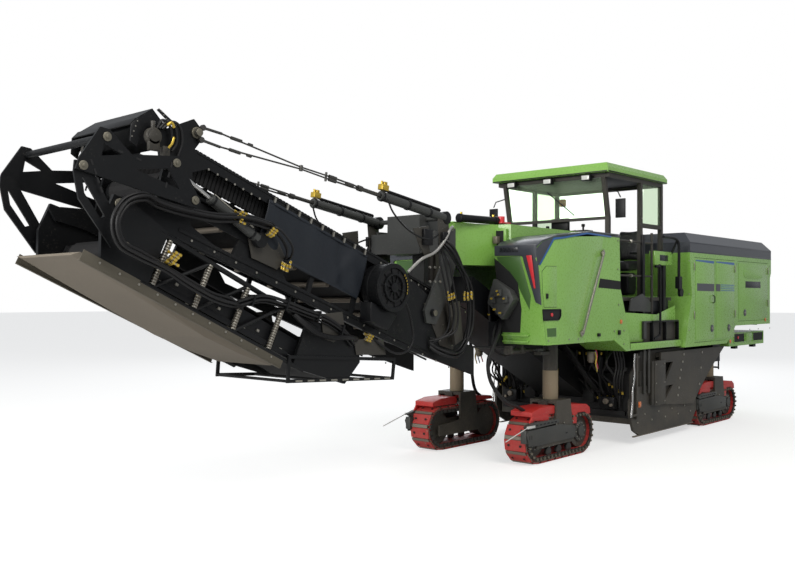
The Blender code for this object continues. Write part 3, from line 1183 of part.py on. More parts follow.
def build_conveyor_front(carrier):
    """The folded section: lattice sides, head plates, guard, belt and tan cover."""
    axis = empty("axis_fold", (FOLD_X, 0, FOLD_Z), carrier).name
    inner, outer = FRONT_INNER_Y, FRONT_INNER_Y + FRONT_PLATE
    begin, end = FRONT_RAIL_END_SHARES
    pieces = []
    cutters = []
    for along in FRONT_POST_SHARES:
        pieces.append(disc(front_point(along, FRONT_BELT_UP_SHARE), -inner - WELD, inner + WELD, FRONT_TUBE_RADIUS, SIDES // 2))
    for share in FRONT_BELT_SHARES:
        pieces.append(roller(front_point(share, FRONT_BELT_UP_SHARE), inner + WELD, FRONT_ANGLE))
    guard = shared(GUARD_FRAME_SHARES, GUARD_REAR_X, GUARD_LENGTH, GUARD_BOTTOM_Z, GUARD_DEPTH)
    guard_hole = shared(GUARD_HOLE_SHARES, GUARD_REAR_X, GUARD_LENGTH, GUARD_BOTTOM_Z, GUARD_DEPTH)
    for side in (1, -1):
        middle = side * (inner + outer) / 2
        pieces.append(plate([front_point(*pair) for pair in FRONT_HINGE_SHARES], side * inner, side * outer))
        pieces.append(plate([front_point(*pair) for pair in FRONT_HEAD_SHARES], side * inner, side * outer))
        cutters.append(disc((FOLD_X, FOLD_Z), side * (inner - WELD), side * (outer + WELD), bore_radius(FOLD_PIN_RADIUS)))
        for up in (FRONT_RAIL_LOW_SHARE, FRONT_RAIL_HIGH_SHARE):
            pieces.append(rod(at_y(front_point(begin, up), middle), at_y(front_point(end, up), middle), FRONT_TUBE_RADIUS, SIDES // 2))
        last = None
        for along in FRONT_POST_SHARES:
            low = at_y(front_point(along, FRONT_RAIL_LOW_SHARE), middle)
            high = at_y(front_point(along, FRONT_RAIL_HIGH_SHARE), middle)
            pieces.append(rod(low, high, FRONT_TUBE_RADIUS * 3 / 4, SIDES // 2))
            if last:
                pieces.append(rod(last, low, FRONT_TUBE_RADIUS * 2 / 3, SIDES // 2))
            last = high
        pieces.append(plate(guard, side * (outer - WELD / 2), side * (outer + GUARD_BAR / 2), holes=[guard_hole]))
        pieces.append(disc((COUPLER_X, COUPLER_Z), side * (inner + WELD), side * (COUPLER_INNER_Y + COUPLER_PLATE), COUPLER_PIN_RADIUS))
    for corner in shared(GUARD_BAR_SHARES, GUARD_REAR_X, GUARD_LENGTH, GUARD_BOTTOM_Z, GUARD_DEPTH):
        pieces.append(disc(corner, -outer, outer, GUARD_BAR / 2, SIDES // 2))
    finish(without(united(pieces), cutters), "conveyor_front", BLACK, axis)
    build_belt("belt_front", [front_point(share, FRONT_BELT_UP_SHARE) for share in FRONT_BELT_SHARES], FRONT_ANGLE, axis)
    cover = []
    for along, arch in COVER_ARCH_SHARES:
        for across, up in ((1, COVER_SEAT_SHARE), (COVER_CROWN_SHARE, arch)):
            x, z = front_point(along, up)
            cover.append((x, across * COVER_HALF_WIDTH, z))
            cover.append((x, -across * COVER_HALF_WIDTH, z))
    finish(hull(cover), "belt_cover", TAN, axis)
    return axis


def build_fold_linkage(main, front):
    """Crank plates with their cross tube, couplers, and the fold cylinders."""
    axis = empty("axis_crank", (CRANK_X, 0, CRANK_Z), main).name
    outline = shared(CRANK_SHARES, CRANK_BOX_X, CRANK_LENGTH, CRANK_BOX_Z, CRANK_HEIGHT)
    windows = [shared(shares, CRANK_BOX_X, CRANK_LENGTH, CRANK_BOX_Z, CRANK_HEIGHT) for shares in CRANK_WINDOW_SHARES]
    pieces, cutters = [], []
    outer = CRANK_INNER_Y + CRANK_PLATE
    for side in (1, -1):
        pieces.append(plate(outline, side * CRANK_INNER_Y, side * outer, holes=windows))
        pieces.append(disc((FOLD_EYE_X, FOLD_EYE_Z), side * (FOLD_CYLINDER_Y - EYE_HALF_WIDTH), side * (CRANK_INNER_Y + WELD), FOLD_PIN))
        cutters.append(disc((CRANK_X, CRANK_Z), side * (CRANK_INNER_Y - WELD), side * (outer + WELD), bore_radius(CRANK_PIN_RADIUS)))
    pieces.append(disc((CRANK_TUBE_X, CRANK_TUBE_Z), -CRANK_INNER_Y - WELD, CRANK_INNER_Y + WELD, CRANK_TUBE_RADIUS))
    finish(without(united(pieces), cutters), "fold_crank", GREY, axis)
    axis = empty("axis_coupler", (COUPLER_X, 0, COUPLER_Z), front).name
    outline = shared(COUPLER_SHARES, COUPLER_BOX_X, COUPLER_LENGTH, COUPLER_BOX_Z, COUPLER_HEIGHT)
    window = shared(COUPLER_WINDOW_SHARES, COUPLER_BOX_X, COUPLER_LENGTH, COUPLER_BOX_Z, COUPLER_HEIGHT)
    base, eye = (FOLD_BASE_X, FOLD_BASE_Z), (FOLD_EYE_X, FOLD_EYE_Z)
    barrel_axis = empty("axis_fold_barrels", (FOLD_BASE_X, 0, FOLD_BASE_Z), main).name
    rod_axis = empty("axis_fold_rods", (FOLD_EYE_X, 0, FOLD_EYE_Z), barrel_axis).name
    for name, side in (("left", 1), ("right", -1)):
        near, far = side * COUPLER_INNER_Y, side * (COUPLER_INNER_Y + COUPLER_PLATE)
        coupler = plate(outline, near, far, holes=[window])
        hole = disc((COUPLER_X, COUPLER_Z), near - side * WELD, far + side * WELD, bore_radius(COUPLER_PIN_RADIUS))
        finish(without(coupler, [hole]), f"fold_coupler_{name}", GREY, axis)
        sizes = dict(radius=FOLD_BARREL_RADIUS, length=FOLD_BARREL_LENGTH, rod_radius=FOLD_ROD_RADIUS,
                     base_eye=FOLD_EYE_RADIUS, base_pin=FOLD_PIN)
        build_barrel(f"fold_barrel_{name}", base, eye, side * FOLD_CYLINDER_Y, sizes, barrel_axis)
        y = side * FOLD_CYLINDER_Y
        line = at_y(eye, y) - at_y(base, y)
        start_point = at_y(base, y) + line.normalized() * FOLD_ROD_START
        shaft = rod(start_point, at_y(eye, y) - line.normalized() * FOLD_EYE_RADIUS * 3 / 4, FOLD_ROD_RADIUS)
        ring = disc(eye, y - EYE_HALF_WIDTH, y + EYE_HALF_WIDTH, FOLD_EYE_RADIUS)
        bore = disc(eye, y - EYE_HALF_WIDTH - WELD, y + EYE_HALF_WIDTH + WELD, FOLD_PIN + FOLD_EYE_DRIFT)
        finish(without(united([shaft, ring]), [bore]), f"fold_rod_{name}", STEEL, rod_axis)


def build_barrel(name, base, eye, y, sizes, carrier):
    """A cylinder barrel with its base eye, bored for the rod."""
    start_point = at_y(base, y)
    line = (at_y(eye, y) - start_point).normalized()
    tip = start_point + line * sizes["length"]
    pieces = [rod(start_point + line * sizes["base_eye"] / 2, tip, sizes["radius"]),
              disc(base, y - EYE_HALF_WIDTH, y + EYE_HALF_WIDTH, sizes["base_eye"])]
    cutters = [rod(start_point + line * (sizes["base_eye"] + WELD), tip + line * OVERRUN, sizes["rod_radius"] + 2 * SEAT),
               disc(base, y - sizes["radius"] - WELD, y + sizes["radius"] + WELD, bore_radius(sizes["base_pin"]))]
    finish(without(united(pieces), cutters), name, GREY, carrier)


def build_lift_linkage(tower):
    """Lift cylinders on the tower and the ropes from their rods to the conveyor's hooks."""
    base, hook = (LIFT_BASE_X, LIFT_BASE_Z), (HOOK_X, HOOK_Z)
    barrel_axis = empty("axis_lift_barrels", (LIFT_BASE_X, 0, LIFT_BASE_Z), tower).name
    rod_axis = empty("axis_lift_rods", (HOOK_X, 0, HOOK_Z), barrel_axis).name
    for name, side in (("left", 1), ("right", -1)):
        y = side * LIFT_Y
        sizes = dict(radius=LIFT_BARREL_RADIUS, length=LIFT_BARREL_LENGTH, rod_radius=LIFT_ROD_RADIUS,
                     base_eye=LIFT_EYE_RADIUS, base_pin=LIFT_PIN_RADIUS)
        build_barrel(f"lift_barrel_{name}", base, hook, y, sizes, barrel_axis)
        start_point, end_point = at_y(base, y), at_y(hook, y)
        line = (end_point - start_point).normalized()
        rod_tip = start_point + line * LIFT_ROD_END
        pieces = [rod(start_point + line * LIFT_ROD_START, rod_tip, LIFT_ROD_RADIUS)]
        ring_edge = end_point - line * (HOOK_EYE_RADIUS + HOOK_EYE_BORE) / 2
        for across in (1, -1):
            spread = Vector((-line.z, 0, line.x)) * across * ROPE_SPREAD / 2
            pieces.append(rod(rod_tip - line * OVERRUN + spread, ring_edge + spread, ROPE_RADIUS, SIDES // 2))
        pieces.append(disc(hook, y - EYE_HALF_WIDTH / 2, y + EYE_HALF_WIDTH / 2, HOOK_EYE_RADIUS))
        bore = disc(hook, y - EYE_HALF_WIDTH, y + EYE_HALF_WIDTH, HOOK_EYE_BORE)
        finish(without(united(pieces), [bore]), f"lift_rod_{name}", STEEL, rod_axis)


def build():
    """Make the whole machine."""
    start()
    empty("machine", (0, 0, 0))
    build_main_frame()
    build_tracks()
    build_pods()
    build_nose()
    build_rear_body()
    build_platform()
    build_drum()
    build_housing()
    build_loader()
    tower = build_tower()
    main = build_conveyor_main(tower)
    front = build_conveyor_front(main)
    build_fold_linkage(main, front)
    build_lift_linkage(tower)
    bpy.context.view_layer.update()


build()
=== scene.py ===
import json
import math

import bmesh
import bpy
from mathutils import Matrix, Vector


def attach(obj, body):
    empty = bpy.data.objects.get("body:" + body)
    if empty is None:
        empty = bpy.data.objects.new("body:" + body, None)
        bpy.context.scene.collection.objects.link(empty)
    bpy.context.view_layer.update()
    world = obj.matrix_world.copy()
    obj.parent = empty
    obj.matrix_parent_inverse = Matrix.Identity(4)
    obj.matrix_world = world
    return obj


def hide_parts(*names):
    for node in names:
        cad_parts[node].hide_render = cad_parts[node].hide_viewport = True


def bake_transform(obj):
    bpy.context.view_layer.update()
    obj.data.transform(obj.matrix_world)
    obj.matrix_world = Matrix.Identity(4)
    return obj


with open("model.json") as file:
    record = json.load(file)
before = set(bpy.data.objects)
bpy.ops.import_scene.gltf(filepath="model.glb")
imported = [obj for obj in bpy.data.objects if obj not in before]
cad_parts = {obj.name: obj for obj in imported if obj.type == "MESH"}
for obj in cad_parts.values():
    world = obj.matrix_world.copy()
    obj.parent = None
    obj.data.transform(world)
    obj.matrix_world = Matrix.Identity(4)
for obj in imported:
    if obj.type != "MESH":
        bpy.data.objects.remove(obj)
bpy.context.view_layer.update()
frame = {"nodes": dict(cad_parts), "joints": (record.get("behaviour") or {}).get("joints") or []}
JOINTS = {joint["name"]: joint for joint in frame["joints"]}

# Stations run along X from the front of the front tracks' ground contact, as in the part's source
AXLE_STATION = -0.593
AHEAD = JOINTS["steer_front_left"]["pos_m"][0] - AXLE_STATION
SIDES = ((1, "left"), (-1, "right"))


# Shader groups


def new_group(name, inputs, outputs):
    """A shader node group with float or colour sockets; returns tree, input node, output node."""
    tree = bpy.data.node_groups.new(name, "ShaderNodeTree")
    kinds = {"colour": "NodeSocketColor", "value": "NodeSocketFloat", "normal": "NodeSocketVector"}
    for socket, kind, default in inputs:
        made = tree.interface.new_socket(name=socket, in_out="INPUT", socket_type=kinds[kind])
        made.default_value = default
    for socket, kind in outputs:
        tree.interface.new_socket(name=socket, in_out="OUTPUT", socket_type=kinds[kind])
    return tree, tree.nodes.new("NodeGroupInput"), tree.nodes.new("NodeGroupOutput")


def node(tree, kind, **values):
    """A node with its properties, and its inputs by name, set."""
    made = tree.nodes.new(kind)
    for key, value in values.items():
        if hasattr(made, key):
            setattr(made, key, value)
        else:
            made.inputs[key.replace("_", " ")].default_value = value
    return made


def math_node(tree, operation, first, second):
    """A math node fed by sockets or numbers."""
    made = tree.nodes.new("ShaderNodeMath")
    made.operation = operation
    for index, item in enumerate((first, second)):
        if isinstance(item, (int, float)):
            made.inputs[index].default_value = item
        else:
            tree.links.new(item, made.inputs[index])
    return made.outputs[0]


def mix_colour(tree, factor, first, second):
    """A colour mix fed by sockets or colours."""
    made = tree.nodes.new("ShaderNodeMix")
    made.data_type = "RGBA"
    for index, item in ((0, factor), (6, first), (7, second)):
        if isinstance(item, (int, float, tuple)):
            made.inputs[index].default_value = item
        else:
            tree.links.new(item, made.inputs[index])
    return made.outputs[2]


def spread(tree, value, low, high, out_low=0.0, out_high=1.0):
    """A clamped map range."""
    made = tree.nodes.new("ShaderNodeMapRange")
    tree.links.new(value, made.inputs["Value"])
    for socket, number in (("From Min", low), ("From Max", high), ("To Min", out_low), ("To Max", out_high)):
        made.inputs[socket].default_value = number
    return made.outputs["Result"]


def noise(tree, vector, scale, detail=3.0, roughness=0.6):
    """A noise texture's value at object coordinates."""
    made = node(tree, "ShaderNodeTexNoise", Scale=scale, Detail=detail, Roughness=roughness)
    tree.links.new(vector, made.inputs["Vector"])
    return made.outputs["Fac"]


def object_coordinates(tree):
    return tree.nodes.new("ShaderNodeTexCoord").outputs["Object"]


def road_dust_group():
    """Dust that settles low on the machine and in patches, over any paint."""
    tree, given, result = new_group(
        "road_dust",
        [("Paint", "colour", (0.5, 0.5, 0.5, 1)), ("Amount", "value", 0.3), ("Gloss", "value", 0.4)],
        [("Colour", "colour"), ("Roughness", "value")])
    place = object_coordinates(tree)
    height = tree.nodes.new("ShaderNodeSeparateXYZ")
    tree.links.new(place, height.inputs[0])
    low = spread(tree, height.outputs["Z"], 0.1, 1.6, 1.0, 0.12)
    patches = spread(tree, noise(tree, place, 2.3, 6.0), 0.35, 0.75)
    fine = spread(tree, noise(tree, place, 42.0, 2.0), 0.3, 0.8)
    mask = math_node(tree, "MULTIPLY", math_node(tree, "MULTIPLY", low, patches), given.outputs["Amount"])
    mask = math_node(tree, "MULTIPLY", mask, math_node(tree, "ADD", fine, 0.4))
    colour = mix_colour(tree, mask, given.outputs["Paint"], (0.30, 0.25, 0.19, 1))
    tone = spread(tree, noise(tree, place, 0.9, 2.0), 0.3, 0.7, 0.93, 1.05)
    toned = node(tree, "ShaderNodeVectorMath", operation="SCALE")
    tree.links.new(colour, toned.inputs[0])
    tree.links.new(tone, toned.inputs["Scale"])
    tree.links.new(toned.outputs[0], result.inputs["Colour"])
    rough = math_node(tree, "ADD", given.outputs["Gloss"], math_node(tree, "MULTIPLY", mask, 0.5))
    rough = math_node(tree, "ADD", rough, math_node(tree, "MULTIPLY", fine, 0.05))
    tree.links.new(rough, result.inputs["Roughness"])
    return tree


def chips_group():
    """Small chips and scuffs where paint has gone."""
    tree, given, result = new_group(
        "chips", [("Scale", "value", 60.0), ("Share", "value", 0.1)], [("Mask", "value"), ("Height", "value")])
    place = object_coordinates(tree)
    patch = spread(tree, noise(tree, place, 3.1, 3.0), 0.52, 0.62)
    dots = tree.nodes.new("ShaderNodeTexNoise")
    dots.inputs["Detail"].default_value = 2.0
    tree.links.new(place, dots.inputs["Vector"])
    tree.links.new(given.outputs["Scale"], dots.inputs["Scale"])
    sharp = spread(tree, dots.outputs["Fac"], 0.60, 0.66)
    mask = math_node(tree, "MULTIPLY", math_node(tree, "MULTIPLY", sharp, patch), given.outputs["Share"])
    tree.links.new(mask, result.inputs["Mask"])
    tree.links.new(dots.outputs["Fac"], result.inputs["Height"])
    return tree


DUST = road_dust_group()
CHIPS = chips_group()


def finish_material(name, colour, gloss, metallic=0.0, dust=0.3, bump=0.02, grain=180.0, coat=0.0, chips=0.0,
        bare=(0.35, 0.33, 0.30, 1), sheen=0.5, chip_scale=60.0):
    """A painted or bare surface with dust, chips and a fine grain. colour is a colour or a node function."""
    made = bpy.data.materials.new(name)
    made.use_nodes = True
    tree = made.node_tree
    shader = tree.nodes["Principled BSDF"]
    dusted = tree.nodes.new("ShaderNodeGroup")
    dusted.node_tree = DUST
    dusted.inputs["Amount"].default_value = dust
    dusted.inputs["Gloss"].default_value = gloss
    paint = colour(tree) if callable(colour) else None
    if chips:
        chip = tree.nodes.new("ShaderNodeGroup")
        chip.node_tree = CHIPS
        chip.inputs["Share"].default_value = chips
        chip.inputs["Scale"].default_value = chip_scale
        paint = mix_colour(tree, chip.outputs["Mask"], (*colour, 1) if paint is None else paint, bare)
    if paint is None:
        dusted.inputs["Paint"].default_value = (*colour, 1)
    else:
        tree.links.new(paint, dusted.inputs["Paint"])
    tree.links.new(dusted.outputs["Colour"], shader.inputs["Base Color"])
    tree.links.new(dusted.outputs["Roughness"], shader.inputs["Roughness"])
    shader.inputs["Metallic"].default_value = metallic
    shader.inputs["Specular IOR Level"].default_value = sheen
    shader.inputs["Coat Weight"].default_value = coat
    shader.inputs["Coat Roughness"].default_value = 0.12
    raised = tree.nodes.new("ShaderNodeBump")
    raised.inputs["Strength"].default_value = bump
    raised.inputs["Distance"].default_value = 0.002
    tree.links.new(noise(tree, object_coordinates(tree), grain, 2.0), raised.inputs["Height"])
    tree.links.new(raised.outputs["Normal"], shader.inputs["Normal"])
    return made


GREEN_PAINT = finish_material("green_paint", (0.240, 0.480, 0.092), 0.26, dust=0.025, chips=0.0, bump=0.01,
    grain=60, coat=0.5)
# A darker copy of the green paint: painted shade for the pods' shadowed front faces and the small hatch inset.
GREEN_SHADED = finish_material("green_painted_shade", (0.055, 0.130, 0.030), 0.4, dust=0.08, bump=0.02, grain=60)
GREY_PAINT = finish_material("grey_paint", (0.046, 0.043, 0.037), 0.42, dust=0.30, chips=0.18, sheen=0.3)
TOWER_GREY = finish_material("tower_grey", (0.050, 0.052, 0.050), 0.40, dust=0.10, chips=0.12, sheen=0.35)
COWL_PAINT = finish_material("cowl_paint", (0.045, 0.050, 0.062), 0.33, dust=0.08, bump=0.01, coat=0.3)
BLACK_PAINT = finish_material("black_paint", (0.005, 0.0055, 0.0068), 0.38, dust=0.08, chips=0.10, sheen=0.26,
    bare=(0.06, 0.056, 0.05, 1))
FRAME_BLACK = finish_material("frame_black", (0.0062, 0.0068, 0.0078), 0.36, dust=0.08, chips=0.25, sheen=0.25,
    bare=(0.09, 0.085, 0.075, 1))
RED_SHOES = finish_material("red_shoes", (0.44, 0.020, 0.020), 0.45, dust=0.35, chips=0.85, chip_scale=13.0,
    bare=(0.26, 0.215, 0.170, 1))
FENDER_RED = finish_material("fender_red", (0.50, 0.022, 0.020), 0.40, dust=0.15, chips=0.3)
RED_PAINT = finish_material("red_paint", (0.66, 0.030, 0.040), 0.35, dust=0.10, coat=0.3)
BLUE_PAINT = finish_material("blue_paint", (0.010, 0.105, 0.360), 0.30, dust=0.05, coat=0.4)
BRIGHT_STEEL = finish_material("bright_steel", (0.56, 0.55, 0.54), 0.22, metallic=1.0, dust=0.05)
PLATED_STEEL = finish_material("plated_steel", (0.40, 0.38, 0.33), 0.33, metallic=0.9, dust=0.12)
PIN_STEEL = finish_material("pin_steel", (0.20, 0.185, 0.145), 0.40, metallic=0.7, dust=0.3)
DARK_STEEL = finish_material("dark_steel", (0.085, 0.083, 0.078), 0.38, metallic=0.7, dust=0.15)
WORN_STEEL = finish_material("worn_steel", (0.22, 0.19, 0.155), 0.5, metallic=0.6, dust=0.4)
YELLOW_ZINC = finish_material("yellow_zinc", (0.60, 0.42, 0.060), 0.34, metallic=0.6, dust=0.15)
HOSE_RUBBER = finish_material("hose_rubber", (0.008, 0.008, 0.009), 0.40, dust=0.10, bump=0.15, grain=420,
    sheen=0.35)
BRAIDED_SLEEVE = finish_material("braided_sleeve", (0.42, 0.41, 0.39), 0.38, metallic=0.7, dust=0.10, bump=0.5,
    grain=520)
TAN_COVER = finish_material("tan_cover", (0.140, 0.118, 0.090), 0.72, dust=0.12, bump=0.25, grain=90)
TAN_EDGE = finish_material("tan_edge", (0.082, 0.072, 0.052), 0.66, dust=0.15, bump=0.2, grain=70)
BELT_RUBBER = finish_material("belt_rubber", (0.010, 0.010, 0.011), 0.7, dust=0.15, bump=0.2, grain=70,
    sheen=0.25)
SEAT_LEATHER = finish_material("seat_leather", (0.018, 0.018, 0.020), 0.50, dust=0.05, bump=0.35, grain=240)
# Near-black: painted shade in openings, slots, recesses, the window and grille backs and the drum housing's
# front; also the real black of seams, a flank stripe and the pad bolts.
SHADE_AND_SEAM_BLACK = finish_material("shade_and_seam_black", (0.005, 0.005, 0.006), 0.65, dust=0.05)
AMBER_LENS = finish_material("amber_lens", (0.70, 0.17, 0.020), 0.18, dust=0.04, coat=0.8)
WHITE_LENS = finish_material("white_lens", (0.62, 0.62, 0.60), 0.15, dust=0.04, coat=0.8)
WIRE_MIXED = finish_material("wire_blue", (0.030, 0.10, 0.32), 0.45, dust=0.1)
WIRE_YELLOW = finish_material("wire_yellow", (0.55, 0.40, 0.05), 0.45, dust=0.1)
COLUMN_BROWN = finish_material("column_brown", (0.255, 0.200, 0.130), 0.6, dust=0.5, chips=0.3)
BARE_PLATE = finish_material("bare_plate", (0.020, 0.022, 0.026), 0.25, dust=0.05, bump=0.01)


def weave_cloth(tree):
    """Dark tarpaulin: a fine weave of two close tones along the cloth's own width and length."""
    cloth = tree.nodes.new("ShaderNodeUVMap")
    cloth.uv_map = "cloth"
    cells = tree.nodes.new("ShaderNodeTexChecker")
    cells.inputs["Scale"].default_value = 900.0
    cells.inputs["Color1"].default_value = (0.008, 0.011, 0.016, 1)
    cells.inputs["Color2"].default_value = (0.014, 0.018, 0.025, 1)
    tree.links.new(cloth.outputs[0], cells.inputs["Vector"])
    return cells.outputs["Color"]


DARK_TARPAULIN = finish_material("dark_tarpaulin", weave_cloth, 0.50, dust=0.08, bump=0.35, grain=150,
    sheen=0.35)


def glass_material(name, tint):
    """Thin tinted screen glass."""
    made = bpy.data.materials.new(name)
    made.use_nodes = True
    shader = made.node_tree.nodes["Principled BSDF"]
    shader.inputs["Base Color"].default_value = (*tint, 1)
    shader.inputs["Roughness"].default_value = 0.03
    shader.inputs["Transmission Weight"].default_value = 0.9
    shader.inputs["IOR"].default_value = 1.1
    return made


SCREEN_GLASS = glass_material("screen_glass_tinted", (0.72, 0.86, 0.66))

CAD_FINISHES = {
    GREEN_PAINT: ["pod_left", "pod_right", "nose", "rear_body", "rear_box", "canopy_roof"]
    + [f"door_{place}_{side}" for place in ("front", "middle", "rear") for _, side in SIDES],
    COWL_PAINT: ["hood"],
    GREY_PAINT: ["slew_post", "platform", "console", "canopy_frame", "drum_housing", "side_plate_left",
                 "side_plate_right"] + [f"leg_{end}_{side}" for end in ("front", "rear") for _, side in SIDES],
    TOWER_GREY: ["tower", "tie_rod"]
    + [f"{part}_{side}" for part in ("fold_barrel", "lift_barrel") for side in ("left", "right")],
    FRAME_BLACK: ["head_cover", "fold_crank", "conveyor_main", "conveyor_front"]
    + [f"{part}_{side}" for part in ("fold_coupler", "cylinder_bracket") for _, side in SIDES],
    BLACK_PAINT: ["main_frame", "engine", "milling_drum", "scraper", "loading_conveyor"],
    RED_SHOES: [f"track_{end}_{side}" for end in ("front", "rear") for _, side in SIDES],
    BRIGHT_STEEL: [f"{part}_{side}" for part in ("fold_rod", "lift_rod") for _, side in SIDES],
    TAN_COVER: ["belt_cover"],
    BELT_RUBBER: ["belt_main", "belt_front"],
    SEAT_LEATHER: ["seats"],
    DARK_TARPAULIN: ["side_cloth_left", "side_cloth_right"],
    SCREEN_GLASS: ["windscreen", "side_glass_left", "side_glass_right"],
}


def dress_cad_nodes():
    """Give every carried-over CAD node its finish."""
    for finish, names in CAD_FINISHES.items():
        for name in names:
            slots = frame["nodes"][name].material_slots
            for place in slots:
                place.material = finish


# Making pieces


def at(x, y, z):
    """A point from stations to the frame's own coordinates."""
    return Vector((x + AHEAD, y, z))


# The part's slot that each finish belongs to, unless a piece names another
FINISHES_BY_SLOT = {
    "paint_green": (GREEN_PAINT, GREEN_SHADED, BLUE_PAINT),
    "paint_grey": (TOWER_GREY, COWL_PAINT, BARE_PLATE, COLUMN_BROWN),
    "steel_black": (BLACK_PAINT, FRAME_BLACK, SHADE_AND_SEAM_BLACK, HOSE_RUBBER, GREY_PAINT),
    "shoe_red": (RED_PAINT, FENDER_RED, AMBER_LENS),
    "bare_steel": (PLATED_STEEL, BRIGHT_STEEL, DARK_STEEL, PIN_STEEL, WORN_STEEL, YELLOW_ZINC),
    "cover_tan": (TAN_EDGE, DARK_TARPAULIN),
    "screen_glass": (WHITE_LENS,),
    "belt_rubber": (BELT_RUBBER,),
}
SLOT_OF = {finish: slot for slot, finishes in FINISHES_BY_SLOT.items() for finish in finishes}


class Shapes:
    """Plain closed shapes gathered in stations, then finished as one piece on one body."""

    def __init__(self):
        self.bm = bmesh.new()

    def add_faces(self, points, faces):
        verts = [self.bm.verts.new(at(*point)) for point in points]
        for face in faces:
            self.bm.faces.new([verts[index] for index in face])

    def box(self, x0, x1, y0, y1, z0, z1):
        """A box between two corners."""
        x0, x1 = sorted((x0, x1))
        y0, y1 = sorted((y0, y1))
        z0, z1 = sorted((z0, z1))
        points = [(x, y, z) for z in (z0, z1) for x, y in ((x0, y0), (x1, y0), (x1, y1), (x0, y1))]
        self.add_faces(points, BOX_FACES)

    def loft(self, sections, closed_ends=True):
        """A skin through like sections, given as lists of 3-D points, with capped ends."""
        count = len(sections[0])
        points = [point for section in sections for point in section]
        faces = []
        for level in range(len(sections) - 1):
            for index in range(count):
                after = (index + 1) % count
                low, high = level * count, (level + 1) * count
                faces.append((low + index, low + after, high + after, high + index))
        if closed_ends:
            faces.append(tuple(reversed(range(count))))
            faces.append(tuple(range((len(sections) - 1) * count, len(sections) * count)))
        self.add_faces(points, faces)

    def prism(self, outline, y0, y1):
        """An X-Z outline as thick as from y0 to y1."""
        self.loft([[(x, y0, z) for x, z in outline], [(x, y1, z) for x, z in outline]])

    def bar(self, start, end, wide, deep, side=(0, 1, 0)):
        """A box section between two points; wide is measured along side."""
        start, end = Vector(start), Vector(end)
        run = (end - start).normalized()
        side = (Vector(side) - run * Vector(side).dot(run)).normalized()
        across = run.cross(side)
        ring = [(side * a * wide + across * b * deep) / 2 for a, b in ((-1, -1), (1, -1), (1, 1), (-1, 1))]
        self.loft([[start + corner for corner in ring], [end + corner for corner in ring]])

    def tube(self, path, radius, sides=8, closed=False):
        """A round tube along a path, its rings turned with the bends."""
        path = [Vector(point) for point in path]
        rings = []
        last = len(path) - 1
        side = None
        for index, point in enumerate(path):
            before = path[index - 1] if index or closed else point
            after = path[(index + 1) % len(path)] if index < last or closed else point
            run = (after - before).normalized()
            if side is None:
                side = run.orthogonal().normalized()
            side = (side - run * side.dot(run)).normalized()
            other = run.cross(side)
            rings.append([point + (side * math.cos(turn) + other * math.sin(turn)) * radius
                for turn in (2 * math.pi * step / sides for step in range(sides))])
        if closed:
            rings.append(rings[0])
        self.loft(rings, closed_ends=not closed)

    def disc(self, centre, axis, radius, length, sides=24, inner=0.0):
        """A round bar or ring on an axis, its middle at centre."""
        centre, axis = Vector(centre), Vector(axis).normalized()
        side = axis.orthogonal().normalized()
        other = axis.cross(side)
        turns = [2 * math.pi * step / sides for step in range(sides)]
        rings = []
        outline = [(radius, -1), (radius, 1)]
        if inner:
            outline += [(inner, 1), (inner, -1), (radius, -1)]
        for reach, end in outline:
            rings.append([centre + axis * end * length / 2 + (side * math.cos(turn)
                + other * math.sin(turn)) * reach for turn in turns])
        self.loft(rings, closed_ends=not inner)

    def piece(self, name, body, finish, bevel=0.0, segments=2, smooth=True, slot=None):
        """Close the gathered shapes into one piece that rides on a body."""
        bmesh.ops.remove_doubles(self.bm, verts=self.bm.verts, dist=0.00001)
        bmesh.ops.recalc_face_normals(self.bm, faces=self.bm.faces)
        mesh = bpy.data.meshes.new(name)
        self.bm.to_mesh(mesh)
        self.bm.free()
        mesh.materials.append(finish)
        made = bpy.data.objects.new(name, mesh)
        bpy.context.scene.collection.objects.link(made)
        if bevel:
            edge = made.modifiers.new("edges", "BEVEL")
            edge.width = bevel
            edge.segments = segments
            edge.limit_method = "ANGLE"
            edge.angle_limit = math.radians(35)
            bake(made)
        if smooth:
            made.data.shade_smooth()
            made.data.set_sharp_from_angle(angle=math.radians(32))
        if body:
            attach(made, body)
        slot = slot or SLOT_OF.get(finish)
        return made


BOX_FACES = ((3, 2, 1, 0), (4, 5, 6, 7), (0, 1, 5, 4), (1, 2, 6, 5), (2, 3, 7, 6), (3, 0, 4, 7))


def bake(made):
    """Turn an object's modifiers into its plain mesh."""
    bpy.context.view_layer.update()
    seen = made.evaluated_get(bpy.context.evaluated_depsgraph_get())
    mesh = bpy.data.meshes.new_from_object(seen)
    made.modifiers.clear()
    made.data = mesh
    return made


# Repeats by geometry nodes


